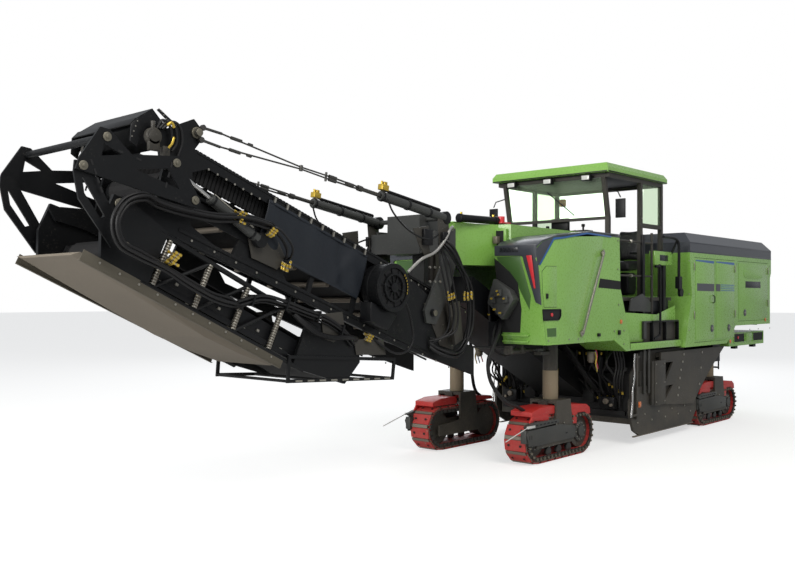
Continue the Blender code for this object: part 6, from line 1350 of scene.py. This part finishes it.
def rear_body_details():
    """Door seams, hinges, latches, stripes, emboss, reflectors, grilles and boxes on the engine bay."""
    door_ends = {"front": (-3.90, -4.68, 1.36), "middle": (-4.70, -5.53, 1.36), "rear": (-5.66, -7.09, 1.65)}
    for side, word in SIDES:
        y = side * 1.2506
        for place, (x0, x1, low) in door_ends.items():
            body = f"door_{place}_{word}"
            raised = Shapes()
            raised.prism([(x0 - 0.035, 2.625), (x1 + 0.035, 2.625), (x1 + 0.035, low + 0.035),
                (x0 - 0.035, low + 0.035)], y, side * 1.2545)
            raised.piece(f"door_panel_{place}_{word}", body, GREEN_PAINT, bevel=0.0018, segments=3)
            latch = Shapes()
            spot = {"front": (-4.56, 1.56), "middle": (-5.25, 1.555), "rear": (-5.96, 1.79)}[place]
            latch.disc((spot[0], side * 1.2565, spot[1]), (0, 1, 0), 0.058, 0.010, 28)
            latch.piece(f"door_latch_{place}_{word}", body, COWL_PAINT, bevel=0.002)
            key = Shapes()
            key.disc((spot[0], side * 1.264, spot[1]), (0, 1, 0), 0.020, 0.008, 18)
            key.box(spot[0] - 0.035, spot[0] + 0.035, side * 1.262, side * 1.267, spot[1] - 0.010, spot[1]
                + 0.010)
            key.piece(f"door_key_{place}_{word}", body, PLATED_STEEL, bevel=0.001)
            hinges = Shapes()
            hinge_x = (x0 if place == "front" else x1) + 0.012
            for z in (2.52, 1.78 if place != "rear" else 1.95):
                hinges.disc((hinge_x, side * 1.2585, z), (0, 0, 1), 0.0075, 0.12, 12)
            hinges.piece(f"door_hinges_{place}_{word}", body, PLATED_STEEL, bevel=0.001)
        grip = Shapes()
        grip.tube([(-4.60, side * 1.255, 1.96), (-4.60, side * 1.285, 1.975), (-4.60, side * 1.285, 2.065),
            (-4.60, side * 1.255, 2.08)], 0.009, 8)
        grip.piece(f"door_grip_{word}", f"door_front_{word}", BLACK_PAINT)
        for place, x0, x1 in (("front", -3.99, -4.65), ("middle", -4.73, -4.90)):
            band = Shapes()
            band.prism([(x0, 2.265), (x1, 2.262), (x1, 2.145), (x0, 2.150)], side * 1.2547, side * 1.2556)
            band.piece(f"dark_stripe_{place}_{word}", f"door_{place}_{word}", COWL_PAINT)
        lines = Shapes()
        for step in range(4):
            z = 2.250 - 0.030 * step
            lines.box(-4.92, -5.49, side * 1.2547, side * 1.2555, z - 0.006, z + 0.006)
        lines.piece(f"thin_lines_{word}", f"door_middle_{word}", BLUE_PAINT)
        for place, x0, x1 in (("front", -3.94, -4.64), ("middle", -4.74, -5.49)):
            top = Shapes()
            top.prism([(x0, 2.624), (x1, 2.624), (x1, 2.585), (x0, 2.605)], side * 1.2547, side * 1.2556)
            top.piece(f"blue_door_top_{place}_{word}", f"door_{place}_{word}", BLUE_PAINT)
        oval = Shapes()
        ring = []
        for step in range(40):
            turn = 2 * math.pi * step / 40
            x = -6.36 + 0.46 * math.copysign(abs(math.cos(turn)) ** 0.55, math.cos(turn))
            z = 2.465 + 0.095 * math.copysign(abs(math.sin(turn)) ** 0.55, math.sin(turn))
            ring.append((x, z))
        oval.prism(ring, side * 1.2546, side * 1.2600)
        oval.piece(f"oval_panel_{word}", f"door_rear_{word}", GREEN_PAINT, bevel=0.003, segments=3)
        plate = Shapes()
        plate.prism([(-5.99, 2.325), (-6.70, 2.325), (-6.70, 2.215), (-5.99, 2.215)], side * 1.2546,
            side * 1.2575)
        plate.piece(f"bare_side_plate_{word}", f"door_rear_{word}", BARE_PLATE, bevel=0.001)
        lamps = Shapes()
        lamps.disc((-6.95, side * 1.256, 1.655), (0, 1, 0), 0.032, 0.011, 24)
        lamps.disc((-5.32, side * 1.256, 1.325), (0, 1, 0), 0.032, 0.011, 24)
        lamps.piece(f"amber_reflectors_rear_{word}", "machine", AMBER_LENS, bevel=0.003)
        # Near-black sheets painted as the shade in the rear box's recesses.
        recess = Shapes()
        recess.box(-5.88, -6.34, side * 1.1006, side * 1.1030, 1.285, 1.425)
        recess.box(-6.76, -7.24, side * 1.1006, side * 1.1030, 1.285, 1.425)
        recess.piece(f"rear_box_recess_shade_{word}", "machine", SHADE_AND_SEAM_BLACK)
        trim = Shapes()
        for x0, x1 in ((-5.86, -6.36), (-6.74, -7.26)):
            for z in (1.278, 1.432):
                trim.bar((x0, side * 1.106, z), (x1, side * 1.106, z), 0.012, 0.014)
            for x in (x0, x1):
                trim.bar((x, side * 1.106, 1.278), (x, side * 1.106, 1.432), 0.012, 0.014)
        trim.box(-6.42, -6.70, side * 1.1006, side * 1.112, 1.29, 1.42)
        trim.piece(f"rear_box_trim_{word}", "machine", GREEN_PAINT, bevel=0.002)
        foot = Shapes()
        foot.box(-6.04, -6.16, side * 0.98, side * 1.06, 1.165, 1.2196)
        foot.box(-6.90, -7.02, side * 0.98, side * 1.06, 1.165, 1.2196)
        foot.piece(f"rear_box_feet_{word}", "machine", BLACK_PAINT, bevel=0.004)
        stop = Shapes()
        stop.disc((-6.05, side * 1.107, 1.36), (0, 1, 0), 0.024, 0.014, 20)
        stop.piece(f"rear_box_lamp_{word}", "machine", RED_PAINT, bevel=0.002)
        lip = Shapes()
        lip.box(-7.24, -3.745, side * 1.2504, side * 1.256, 2.735, 2.752)
        lip.box(-7.24, -3.745, side * 1.2504, side * 1.2545, 2.872, 2.886)
        lip.piece(f"hood_lip_{word}", "hood", COWL_PAINT, bevel=0.0015)
        bolts = [on_side(x, side, 1.2525, z) for x, z in ((-3.70, 2.60), (-3.70, 2.10), (-3.70, 1.55),
            (-5.595, 2.60), (-5.595, 1.45), (-7.18, 2.60), (-7.18, 1.50), (-6.2, 1.50), (-6.6, 1.50))]
        repeat(f"body_bolts_{word}", WASHERS, bolts, "machine", PLATED_STEEL, Radius=0.011, Height=0.006)
    slats = []
    for step in range(26):
        slats.append(((-7.2526, 0, 1.62 + 0.040 * step), (-1, 0, 0), (0, 1, 0)))
    repeat("rear_grille_slats", BLOCKS, slats, "machine", BLACK_PAINT, Length=1.90, Width=0.020, Height=0.014)
    # A near-black sheet painted as the shade behind the grille slats.
    back = Shapes()
    back.box(-7.2506, -7.2530, -0.98, 0.98, 1.58, 2.66)
    back.piece("rear_grille_shade", "machine", SHADE_AND_SEAM_BLACK)
    rim = Shapes()
    for z in (1.565, 2.675):
        rim.bar((-7.258, -1.0, z), (-7.258, 1.0, z), 0.030, 0.014, side=(0, 0, 1))
    for y in (-0.99, 0.99):
        rim.bar((-7.258, y, 1.565), (-7.258, y, 2.675), 0.030, 0.014)
    rim.piece("rear_grille_rim", "machine", GREEN_PAINT, bevel=0.003)
    lights = Shapes()
    for y in (-1.14, 1.14):
        lights.box(-7.251, -7.275, y - 0.05, y + 0.05, 1.75, 1.97)
    lights.piece("rear_lamps", "machine", RED_PAINT, bevel=0.006)
    white = Shapes()
    for y in (-1.14, 1.14):
        white.box(-7.251, -7.275, y - 0.05, y + 0.05, 2.00, 2.09)
    white.piece("rear_work_lamps", "machine", WHITE_LENS, bevel=0.006)
    steps = Shapes()
    for z in (0.98, 0.72):
        steps.box(-7.26, -7.30, -0.28, 0.28, z, z + 0.03)
    for y in (-0.29, 0.27):
        steps.box(-7.262, -7.29, y, y + 0.02, 0.70, 1.235)
    steps.piece("rear_ladder", "machine", FRAME_BLACK, bevel=0.002)
    top = Shapes()
    for x in (-4.30, -5.20, -6.10):
        top.box(x, x - 0.62, -0.42, 0.42, 3.0455, 3.058)
    top.disc((-6.85, 0.45, 3.06), (0, 0, 1), 0.085, 0.06, 28)
    top.piece("hood_vents", "hood", FRAME_BLACK, bevel=0.003)
    # The slots are dark blocks painted as the shade seen in them.
    vents = [((-4.34 - 0.9 * bank - 0.06 * step, 0, 3.0595), (0, 0, 1), (0, 1, 0)) for bank in range(3)
        for step in range(10)]
    repeat("hood_vent_slots", BLOCKS, vents, "hood", SHADE_AND_SEAM_BLACK, Length=0.78, Width=0.028, Height=0.004)


def platform_details():
    """Canopy trim, lamps, rails, controls, side boxes, steps and boarding tubes."""
    trim = Shapes()
    for side in (1, -1):
        trim.box(-3.56, -1.75, side * 0.9606, side * 0.966, 3.772, 3.786)
    trim.box(-1.729, -1.724, -0.95, 0.95, 3.772, 3.786)
    trim.piece("canopy_edge", "machine", BLACK_PAINT, bevel=0.001)
    under = Shapes()
    under.box(-3.50, -1.82, -0.88, 0.88, 3.755, 3.7695)
    under.piece("canopy_lining", "machine", BLACK_PAINT, bevel=0.003)
    lamps = Shapes()
    for y in (-0.62, 0.0, 0.62):
        lamps.box(-1.80, -1.72, y - 0.07, y + 0.07, 3.665, 3.750)
    lamps.piece("work_lamps", "machine", BLACK_PAINT, bevel=0.008)
    lenses = Shapes()
    for y in (-0.62, 0.0, 0.62):
        lenses.box(-1.719, -1.713, y - 0.058, y + 0.058, 3.678, 3.738)
    lenses.piece("work_lamp_lenses", "machine", WHITE_LENS, bevel=0.002)
    beacon = Shapes()
    beacon.disc((-3.48, -0.80, 3.60), (0, 0, 1), 0.055, 0.12, 24)
    beacon.piece("beacon", "machine", AMBER_LENS, bevel=0.012, segments=3)
    wiper = Shapes()
    wiper.bar((-1.975, 0.30, 3.22), (-1.880, -0.10, 3.58), 0.014, 0.014)
    wiper.bar((-1.990, 0.34, 3.19), (-1.990, 0.26, 3.19), 0.030, 0.030)
    wiper.piece("screen_wiper", "machine", BLACK_PAINT, bevel=0.002)
    desk = Shapes()
    desk.box(-2.30, -2.10, -0.42, 0.42, 3.006, 3.020)
    for y in (-0.30, 0.30):
        desk.disc((-2.22, y, 3.05), (0, 0, 1), 0.014, 0.07, 14)
        desk.disc((-2.22, y, 3.095), (0, 0, 1), 0.026, 0.04, 18)
    desk.box(-2.12, -2.06, -0.14, 0.14, 3.02, 3.20)
    desk.piece("console_top", "machine", BLACK_PAINT, bevel=0.006)
    knobs = [((-2.20 + 0.05 * (step % 2), -0.20 + 0.045 * step, 3.0225), (0, 0, 1), (1, 0, 0))
        for step in range(10)]
    repeat("console_switches", WASHERS, knobs, "machine", PLATED_STEEL, Radius=0.011, Height=0.012)
    belts = Shapes()
    for side in (1, -1):
        for y in (0.32, 0.78):
            belts.box(-3.02, -2.76, side * y - 0.03, side * y + 0.03, 2.68, 2.72)
            belts.bar((-3.05, side * y, 2.50), (-2.98, side * y, 2.69), 0.035, 0.035)
    belts.piece("armrests", "machine", BLACK_PAINT, bevel=0.012, segments=3)
    for side, word in SIDES:
        green = Shapes()
        green.box(-2.885, -3.455, side * 1.0, side * 1.10, 2.52, 2.725)
        green.piece(f"control_box_{word}", "machine", GREEN_PAINT, bevel=0.010, segments=3)
        blank = Shapes()
        blank.box(-3.03, -3.30, side * 1.1003, side * 1.1035, 2.585, 2.670)
        blank.piece(f"bare_box_plate_{word}", "machine", BARE_PLATE, bevel=0.001)
        tube = Shapes()
        tube.tube(smooth_path([(-3.02, side * 1.16, 2.93), (-3.30, side * 1.17, 2.93),
            (-3.44, side * 1.18, 2.90), (-3.49, side * 1.185, 2.80), (-3.49, side * 1.185, 2.40),
            (-3.49, side * 1.185, 2.16)], 6), 0.021, 12)
        tube.tube(smooth_path([(-2.76, side * 1.16, 2.49), (-2.85, side * 1.17, 2.49),
            (-2.88, side * 1.175, 2.44), (-2.88, side * 1.175, 1.60), (-2.85, side * 1.17, 1.50),
            (-2.70, side * 1.165, 1.46)], 6), 0.017, 12)
        tube.box(-3.44, -3.54, side * 1.150, side * 1.215, 2.18, 2.36)
        tube.disc((-3.54, side * 1.190, 2.12), (0, 1, 0), 0.062, 0.04, 24)
        tube.bar((-3.49, side * 1.185, 2.27), (-3.49, side * 1.10, 2.27), 0.030, 0.030)
        tube.bar((-3.44, side * 1.18, 2.90), (-3.44, side * 1.09, 2.70), 0.024, 0.024)
        tube.piece(f"grab_tubes_{word}", "machine", FRAME_BLACK)
        posts = Shapes()
        posts.box(-2.50, -2.57, side * 1.055, side * 1.095, 1.72, 2.94)
        posts.box(-3.16, -3.25, side * 1.050, side * 1.095, 1.44, 2.52)
        posts.box(-3.30, -3.40, side * 1.02, side * 1.06, 1.72, 2.04)
        posts.piece(f"dark_posts_{word}", "machine", BLACK_PAINT, bevel=0.004)
        cabinet = Shapes()
        cabinet.box(-2.60, -3.14, side * 0.70, side * 1.04, 1.725, 2.02)
        cabinet.box(-1.98, -2.46, side * 0.70, side * 1.00, 1.44, 2.02)
        cabinet.piece(f"side_cabinets_{word}", "machine", BLACK_PAINT, bevel=0.008)
        deck = Shapes()
        deck.prism([(-1.905, 1.425), (-3.53, 1.425), (-3.53, 1.93), (-2.90, 1.80), (-1.905, 1.84)],
            side * 1.1030, side * 1.1096)
        deck.prism([(-1.910, 1.324), (-3.545, 1.324), (-3.545, 1.418), (-1.910, 1.418)], side * 1.2006,
            side * 1.206)
        deck.piece(f"deck_side_{word}", "machine", GREEN_PAINT, bevel=0.002)
        tray = Shapes()
        tray.prism([(-2.05, 1.86), (-2.70, 1.84), (-2.70, 1.98), (-2.45, 2.10), (-2.10, 2.02)], side * 1.0962,
            side * 1.118)
        tray.box(-2.42, -3.52, side * 1.1206, side * 1.150, 1.690, 1.712)
        tray.box(-2.42, -2.50, side * 1.1206, side * 1.150, 1.46, 1.69)
        tray.piece(f"deck_tray_{word}", "machine", TOWER_GREY, bevel=0.003)
        treads = Shapes()
        treads.box(-2.66, -3.50, side * 1.1206, side * 1.18, 1.400, 1.425)
        treads.box(-2.66, -3.50, side * 1.1206, side * 1.18, 1.690, 1.712)
        for x in (-2.66, -3.08, -3.50):
            treads.box(x, x - 0.02, side * 1.1206, side * 1.175, 1.42, 1.70)
        treads.piece(f"boarding_steps_{word}", "machine", FRAME_BLACK, bevel=0.002)
        grip = [((-2.70 - 0.055 * step, side * 1.150, 1.7125), (0, 0, 1), (0, 1, 0)) for step in range(15)]
        repeat(f"step_ribs_{word}", BLOCKS, grip, "machine", PLATED_STEEL, Length=0.05, Width=0.012,
            Height=0.006)
        mirror = Shapes()
        mirror.tube([(-1.96, side * 0.84, 3.55), (-1.90, side * 1.02, 3.50), (-1.90, side * 1.06, 3.42)], 0.009,
            8)
        mirror.box(-1.915, -1.885, side * 0.99, side * 1.13, 3.14, 3.40)
        mirror.piece(f"mirror_{word}", "machine", BLACK_PAINT, bevel=0.010, segments=3)
        heads = [on_side(x, side, 0.9335, z) for x in (-2.80, -3.47) for z in (2.40, 2.62, 3.20, 3.60)]
        repeat(f"post_bolts_{word}", BOLTS, heads, "machine", PLATED_STEEL, Radius=0.009, Height=0.010)
        hand = Shapes()
        for z in (2.83, 2.35):
            hand.disc((-2.20, side * 1.06, z), (1, 0, 0), 0.026, 0.04, 14)
        hand.piece(f"rail_clamps_{word}", "machine", PLATED_STEEL, bevel=0.002)


def cushions():
    """Padded seats: cushion and back for each, swelled by a short cloth run, with sewn channels."""
    for side, word in SIDES:
        for part, centre, size, lean in (("cushion", (-2.98, side * 0.55, 2.520), (0.50, 0.42, 0.115),
                math.radians(4)), ("back", (-3.19, side * 0.55, 2.830), (0.115, 0.42, 0.50), math.radians(-8)),
                ("base", (-2.98, side * 0.55, 2.25), (0.30, 0.30, 0.36), 0.0)):
            bm = bmesh.new()
            bmesh.ops.create_cube(bm, size=1.0)
            bmesh.ops.subdivide_edges(bm, edges=bm.edges, cuts=11, use_grid_fill=True)
            for vert in bm.verts:
                square = [vert.co[axis] * 2 for axis in range(3)]
                round_off = 1 - 0.045 * (abs(square[0]) ** 4 * abs(square[1]) ** 4
                    + abs(square[1]) ** 4 * abs(square[2]) ** 4 + abs(square[0]) ** 4 * abs(square[2]) ** 4)
                vert.co = Vector([vert.co[axis] * size[axis] * 0.93 * round_off for axis in range(3)])
            bmesh.ops.rotate(bm, verts=bm.verts, cent=(0, 0, 0), matrix=Matrix.Rotation(lean, 3, "Y"))
            bmesh.ops.translate(bm, verts=bm.verts, vec=at(*centre))
            mesh = bpy.data.meshes.new(f"seat_{part}_{word}")
            bm.to_mesh(mesh)
            bm.free()
            mesh.materials.append(SEAT_LEATHER if part != "base" else BLACK_PAINT)
            made = bpy.data.objects.new(f"seat_{part}_{word}", mesh)
            bpy.context.scene.collection.objects.link(made)
            if part != "base":
                swell(made)
            made.data.shade_smooth()
            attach(made, "machine")
            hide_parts("seats")
            if part != "base":
                seams = Shapes()
                for step in (-1, 0, 1):
                    if part == "cushion":
                        y = centre[1] + step * 0.105
                        seams.tube([(centre[0] - 0.20, y, centre[2] + 0.068), (centre[0], y, centre[2] + 0.077),
                            (centre[0] + 0.20, y, centre[2] + 0.060)], 0.004, 6)
                    else:
                        y = centre[1] + step * 0.105
                        seams.tube([(centre[0] + 0.105, y, centre[2] - 0.18), (centre[0] + 0.075, y, centre[2]),
                            (centre[0] + 0.030, y, centre[2] + 0.18)], 0.004, 6)
                seams.piece(f"seat_{part}_piping_{word}", "machine", BLACK_PAINT, slot="seat_black")


def swell(made):
    """Blow a cushion up a little by a short cloth run, then smooth it by one subdivision."""
    rest = [vert.co.copy() for vert in made.data.vertices]
    cloth = made.modifiers.new("swell", "CLOTH")
    cloth.settings.use_pressure = True
    cloth.settings.uniform_pressure_force = 4.0
    cloth.settings.effector_weights.gravity = 0.0
    cloth.point_cache.frame_start = 1
    cloth.point_cache.frame_end = 20
    scene = bpy.context.scene
    for step in range(1, 21):
        scene.frame_set(step)
        bpy.context.view_layer.update()
    seen = made.evaluated_get(bpy.context.evaluated_depsgraph_get())
    moved = [vert.co.copy() for vert in seen.data.vertices]
    made.modifiers.clear()
    scene.frame_set(1)
    for vert, begin, end in zip(made.data.vertices, rest, moved):
        shift = end - begin
        if shift.length > 0.022:
            shift = shift.normalized() * 0.022
        vert.co = begin + shift
    rounder = made.modifiers.new("round", "SUBSURF")
    rounder.levels = 1
    rounder.render_levels = 1
    bake(made)


def underside_gear():
    """Near-black painted shade on the drum housing's front, with its lines, valves and cylinders."""
    # A near-black sheet painted as the shade under the machine on the drum housing's front.
    liner = Shapes()
    liner.box(-2.1485, -2.1445, -1.06, 1.06, 0.36, 0.975)
    liner.loft([[(-2.1445, y, 0.98), (-2.440, y, 1.285), (-2.444, y, 1.281), (-2.1485, y, 0.976)]
        for y in (-1.06, 1.06)])
    liner.box(-2.1445, -2.10, -1.02, 1.02, 0.40, 0.46)
    liner.piece("housing_front_shade", "machine", SHADE_AND_SEAM_BLACK)
    for side, word in SIDES:
        guard = Shapes()
        guard.tube(smooth_path([(-2.11, side * 1.162, 1.27), (-2.09, side * 1.163, 1.12),
            (-2.10, side * 1.163, 0.96), (-2.05, side * 1.163, 0.78), (-2.04, side * 1.162, 0.58),
            (-2.01, side * 1.160, 0.40)], 8), 0.015, 12)
        guard.piece(f"bent_guard_tube_{word}", "machine", BRIGHT_STEEL)
        hold = Shapes()
        for z, x in ((1.22, -2.12), (0.42, -2.035)):
            hold.bar((x, side * 1.165, z), (x - 0.13, side * 1.165, z), 0.016, 0.030)
        hold.box(-2.155, -2.20, side * 1.145, side * 1.172, 0.36, 1.27)
        hold.piece(f"guard_tube_brackets_{word}", "machine", GREY_PAINT, bevel=0.002, slot="paint_grey")
        gear = Shapes()
        for y in (0.96, 0.66):
            gear.disc((-2.06, side * y, 0.96), (0, 0, 1), 0.046, 0.50, 20)
            gear.disc((-2.06, side * y, 0.62), (0, 0, 1), 0.020, 0.22, 14)
        gear.box(-2.14, -1.98, side * 0.70, side * 0.92, 0.50, 0.66)
        gear.box(-2.14, -2.02, side * 0.40, side * 0.58, 0.56, 0.80)
        gear.bar((-1.30, side * 0.52, 1.40), (-2.05, side * 0.62, 0.72), 0.10, 0.03)
        gear.box(-2.14, -2.04, side * 0.10, side * 1.04, 1.02, 1.07)
        gear.piece(f"underside_gear_{word}", "machine", BLACK_PAINT, bevel=0.004)
        pots = Shapes()
        pots.disc((-1.34, side * 0.92, 1.262), (0, 0, 1), 0.052, 0.118, 24)
        pots.disc((-1.34, side * 0.92, 1.195), (0, 0, 1), 0.040, 0.030, 24)
        pots.disc((-1.97, side * 0.80, 0.60), (1, 0, 0), 0.040, 0.05, 18)
        pots.disc((-1.97, side * 0.88, 0.55), (1, 0, 0), 0.022, 0.05, 14)
        pots.piece(f"underside_pots_{word}", "machine", WORN_STEEL, bevel=0.003)
        lines = Shapes()
        for step in range(9):
            y = 0.36 + 0.075 * step
            bow = 0.05 * math.sin(2.1 * step) + 0.03
            lines.tube(smooth_path([(-1.62 - 0.03 * step, side * y, 1.315), (-1.70, side * (y + bow), 1.16),
                (-1.86, side * (y - bow), 0.98), (-1.97 - bow / 3, side * (y + bow / 2), 0.80),
                (-2.10, side * (0.52 + 0.05 * step), 0.58)], 5), 0.011 + 0.003 * (step % 3), 8)
        for step in range(4):
            x = -1.78 - 0.08 * step
            lines.tube(smooth_path([(x, side * 1.02, 1.315), (x - 0.03, side * 1.04, 1.10),
                (x + 0.02, side * 1.03, 0.90), (-2.08, side * (0.90 + 0.03 * step), 0.64)], 5), 0.012, 8)
        lines.piece(f"underside_lines_{word}", "machine", HOSE_RUBBER)
        nuts = []
        for step in range(9):
            nuts.append(((-2.07, side * (0.52 + 0.05 * step), 0.63 + 0.02 * (step % 2)), (0.45, 0, 0.9),
                (0, 1, 0)))
        for step in range(5):
            nuts.append(((-1.95 - 0.02 * step, side * (0.86 + 0.04 * step), 0.84 - 0.03 * step), (0.3, 0, 0.9),
                (0, 1, 0)))
            nuts.append(((-1.66 - 0.04 * step, side * (0.45 + 0.09 * step), 1.27), (0, 0, 1), (0, 1, 0)))
        repeat(f"underside_nuts_{word}", BOLTS, nuts, "machine", YELLOW_ZINC, Radius=0.016, Height=0.034)
        steer = Shapes()
        steer.disc((0.12, side * 0.70, 1.385), (1, 0, 0), 0.036, 0.40, 20)
        steer.disc((-0.16, side * 0.70, 1.385), (1, 0, 0), 0.018, 0.18, 14)
        for x in (0.02, 0.26):
            steer.box(x - 0.025, x + 0.025, side * 0.655, side * 0.745, 1.36, 1.455)
        steer.piece(f"steering_cylinder_{word}", "machine", GREY_PAINT, bevel=0.003, slot="bare_steel")


def housing_details():
    """Skirt bolts and plates, guide rods, side plate shoes and drum picks."""
    for side, word in SIDES:
        bolts = [on_side(x, side, 1.1815, z) for x, z in ((-3.67, 1.19), (-3.63, 1.08), (-3.57, 0.96),
            (-3.53, 0.84), (-3.49, 0.70), (-3.46, 0.59), (-4.35, 1.19), (-4.30, 0.95), (-4.25, 0.70))]
        repeat(f"skirt_bolts_{word}", WASHERS, bolts, "machine", PLATED_STEEL, Radius=0.019, Height=0.012)
        cover = Shapes()
        cover.prism([(-2.68, 1.14), (-3.03, 1.14), (-3.03, 0.50), (-2.68, 0.50)], side * 1.1806, side * 1.190)
        cover.piece(f"skirt_cover_{word}", "machine", GREY_PAINT, bevel=0.004, slot="paint_grey")
        small = [on_side(x, side, 1.1915, z) for x in (-2.72, -2.99) for z in (1.09, 0.82, 0.55)]
        repeat(f"skirt_cover_bolts_{word}", BOLTS, small, "machine", PLATED_STEEL, Radius=0.012, Height=0.012)
        rods = Shapes()
        for x in (-2.42, -2.56):
            rods.disc((x, side * 1.150, 1.02), (0, 0, 1), 0.022, 0.66, 18)
        rods.piece(f"guide_rods_{word}", "machine", DARK_STEEL, bevel=0.002)
        shoes = Shapes()
        shoes.box(-2.15, -4.12, side * 1.101, side * 1.1345, 0.104, 0.121)
        shoes.piece(f"side_plate_runner_{word}", f"side_plate_{word}", WORN_STEEL, bevel=0.004)
        edge = [((-2.25 - 0.22 * step, side * 1.1365, 0.30 + 0.10 * (step % 2)), (0, side, 0), (1, 0, 0))
            for step in range(9)]
        repeat(f"side_plate_bolts_{word}", BOLTS, edge, f"side_plate_{word}", PLATED_STEEL, Radius=0.014,
            Height=0.012)
        amber = Shapes()
        amber.disc((-2.23, side * 1.186, 0.56), (0, 1, 0), 0.028, 0.010, 24)
        amber.box(-2.19, -2.27, side * 1.1806, side * 1.1812, 0.52, 0.60)
        amber.piece(f"amber_reflector_skirt_{word}", "machine", AMBER_LENS, bevel=0.002)
    picks = []
    for row in range(20):
        for spin in (0, 1):
            turn = row * 0.55 + spin * math.pi
            y = -0.96 + row * 0.101
            spot = Vector((-3.2 + 0.485 * math.cos(turn), y, 0.66 + 0.485 * math.sin(turn)))
            picks.append((spot, (math.cos(turn), 0, math.sin(turn)), (0, 1, 0)))
    repeat("drum_picks", BOLTS, picks, "drum", WORN_STEEL, Radius=0.020, Height=0.05)


# Stage, light and camera


def build_stage():
    """Pale floor, white backdrop by camera ray, soft lamps."""
    world = bpy.data.worlds.new("studio")
    bpy.context.scene.world = world
    world.use_nodes = True
    tree = world.node_tree
    tree.nodes.clear()
    output = tree.nodes.new("ShaderNodeOutputWorld")
    soft = node(tree, "ShaderNodeBackground", Strength=0.42)
    soft.inputs["Color"].default_value = (0.93, 0.96, 1.0, 1)
    white = node(tree, "ShaderNodeBackground", Strength=1.0)
    white.inputs["Color"].default_value = (1, 1, 1, 1)
    rays = tree.nodes.new("ShaderNodeLightPath")
    seen = math_node(tree, "MAXIMUM", rays.outputs["Is Camera Ray"], rays.outputs["Is Transmission Ray"])
    mixed = tree.nodes.new("ShaderNodeMixShader")
    tree.links.new(seen, mixed.inputs[0])
    tree.links.new(soft.outputs[0], mixed.inputs[1])
    tree.links.new(white.outputs[0], mixed.inputs[2])
    tree.links.new(mixed.outputs[0], output.inputs["Surface"])

    bm = bmesh.new()
    bmesh.ops.create_grid(bm, x_segments=1, y_segments=1, size=120.0)
    mesh = bpy.data.meshes.new("floor")
    bm.to_mesh(mesh)
    bm.free()
    floor = bpy.data.objects.new("floor", mesh)
    bpy.context.scene.collection.objects.link(floor)
    floor.location.z = -0.002
    finish = bpy.data.materials.new("floor_pale")
    finish.use_nodes = True
    tree = finish.node_tree
    shader = tree.nodes["Principled BSDF"]
    shader.inputs["Base Color"].default_value = (0.58, 0.58, 0.575, 1)
    shader.inputs["Roughness"].default_value = 0.9
    rays = tree.nodes.new("ShaderNodeLightPath")
    tree.links.new(rays.outputs["Is Camera Ray"], shader.inputs["Emission Strength"])
    shader.inputs["Emission Color"].default_value = (0.56, 0.56, 0.56, 1)
    floor.data.materials.append(finish)

    lamps = [  # name, place, size, power, colour
        ("key", (6.0, 11.0, 13.0), 8.0, 1200.0, (1.0, 0.97, 0.92)),
        ("front_fill", (17.0, -1.0, 6.0), 7.0, 1850.0, (1.0, 0.99, 0.96)),
        ("rear_fill", (-12.0, -9.0, 9.0), 10.0, 650.0, (0.95, 0.97, 1.0)),
    ]
    for name, place, size, power, colour in lamps:
        light = bpy.data.lights.new(name, "AREA")
        light.size = size
        light.energy = power
        light.color = colour
        lamp = bpy.data.objects.new(name, light)
        bpy.context.scene.collection.objects.link(lamp)
        lamp.location = place
        lamp.rotation_mode = "QUATERNION"
        lamp.rotation_quaternion = (Vector((0, 0, 1)) - Vector(place)).to_track_quat("-Z", "Y")


def build_camera():
    """The photograph's own view, solved from the machine's sizes."""
    data = bpy.data.cameras.new("photo_camera")
    data.sensor_width = 36.0
    data.lens = 39.79
    data.shift_y = 0.0157
    data.clip_end = 400.0
    camera = bpy.data.objects.new("photo_camera", data)
    bpy.context.scene.collection.objects.link(camera)
    camera.location = (9.112 + AHEAD, 6.789, 2.032)
    camera.rotation_mode = "QUATERNION"
    camera.rotation_quaternion = Vector((-0.7463, -0.6656, 0)).to_track_quat("-Z", "Y")
    bpy.context.scene.camera = camera


bpy.context.scene.view_settings.view_transform = "Standard"
build_camera()
conveyor_hoses()
nose_details()
track_hoses()
dress_cad_nodes()
side_cloths()
main_conveyor()
fold_linkage_details()
front_conveyor()
tower_details()
pods()
tracks()
rear_body_details()
platform_details()
cushions()
housing_details()
underside_gear()
build_stage()
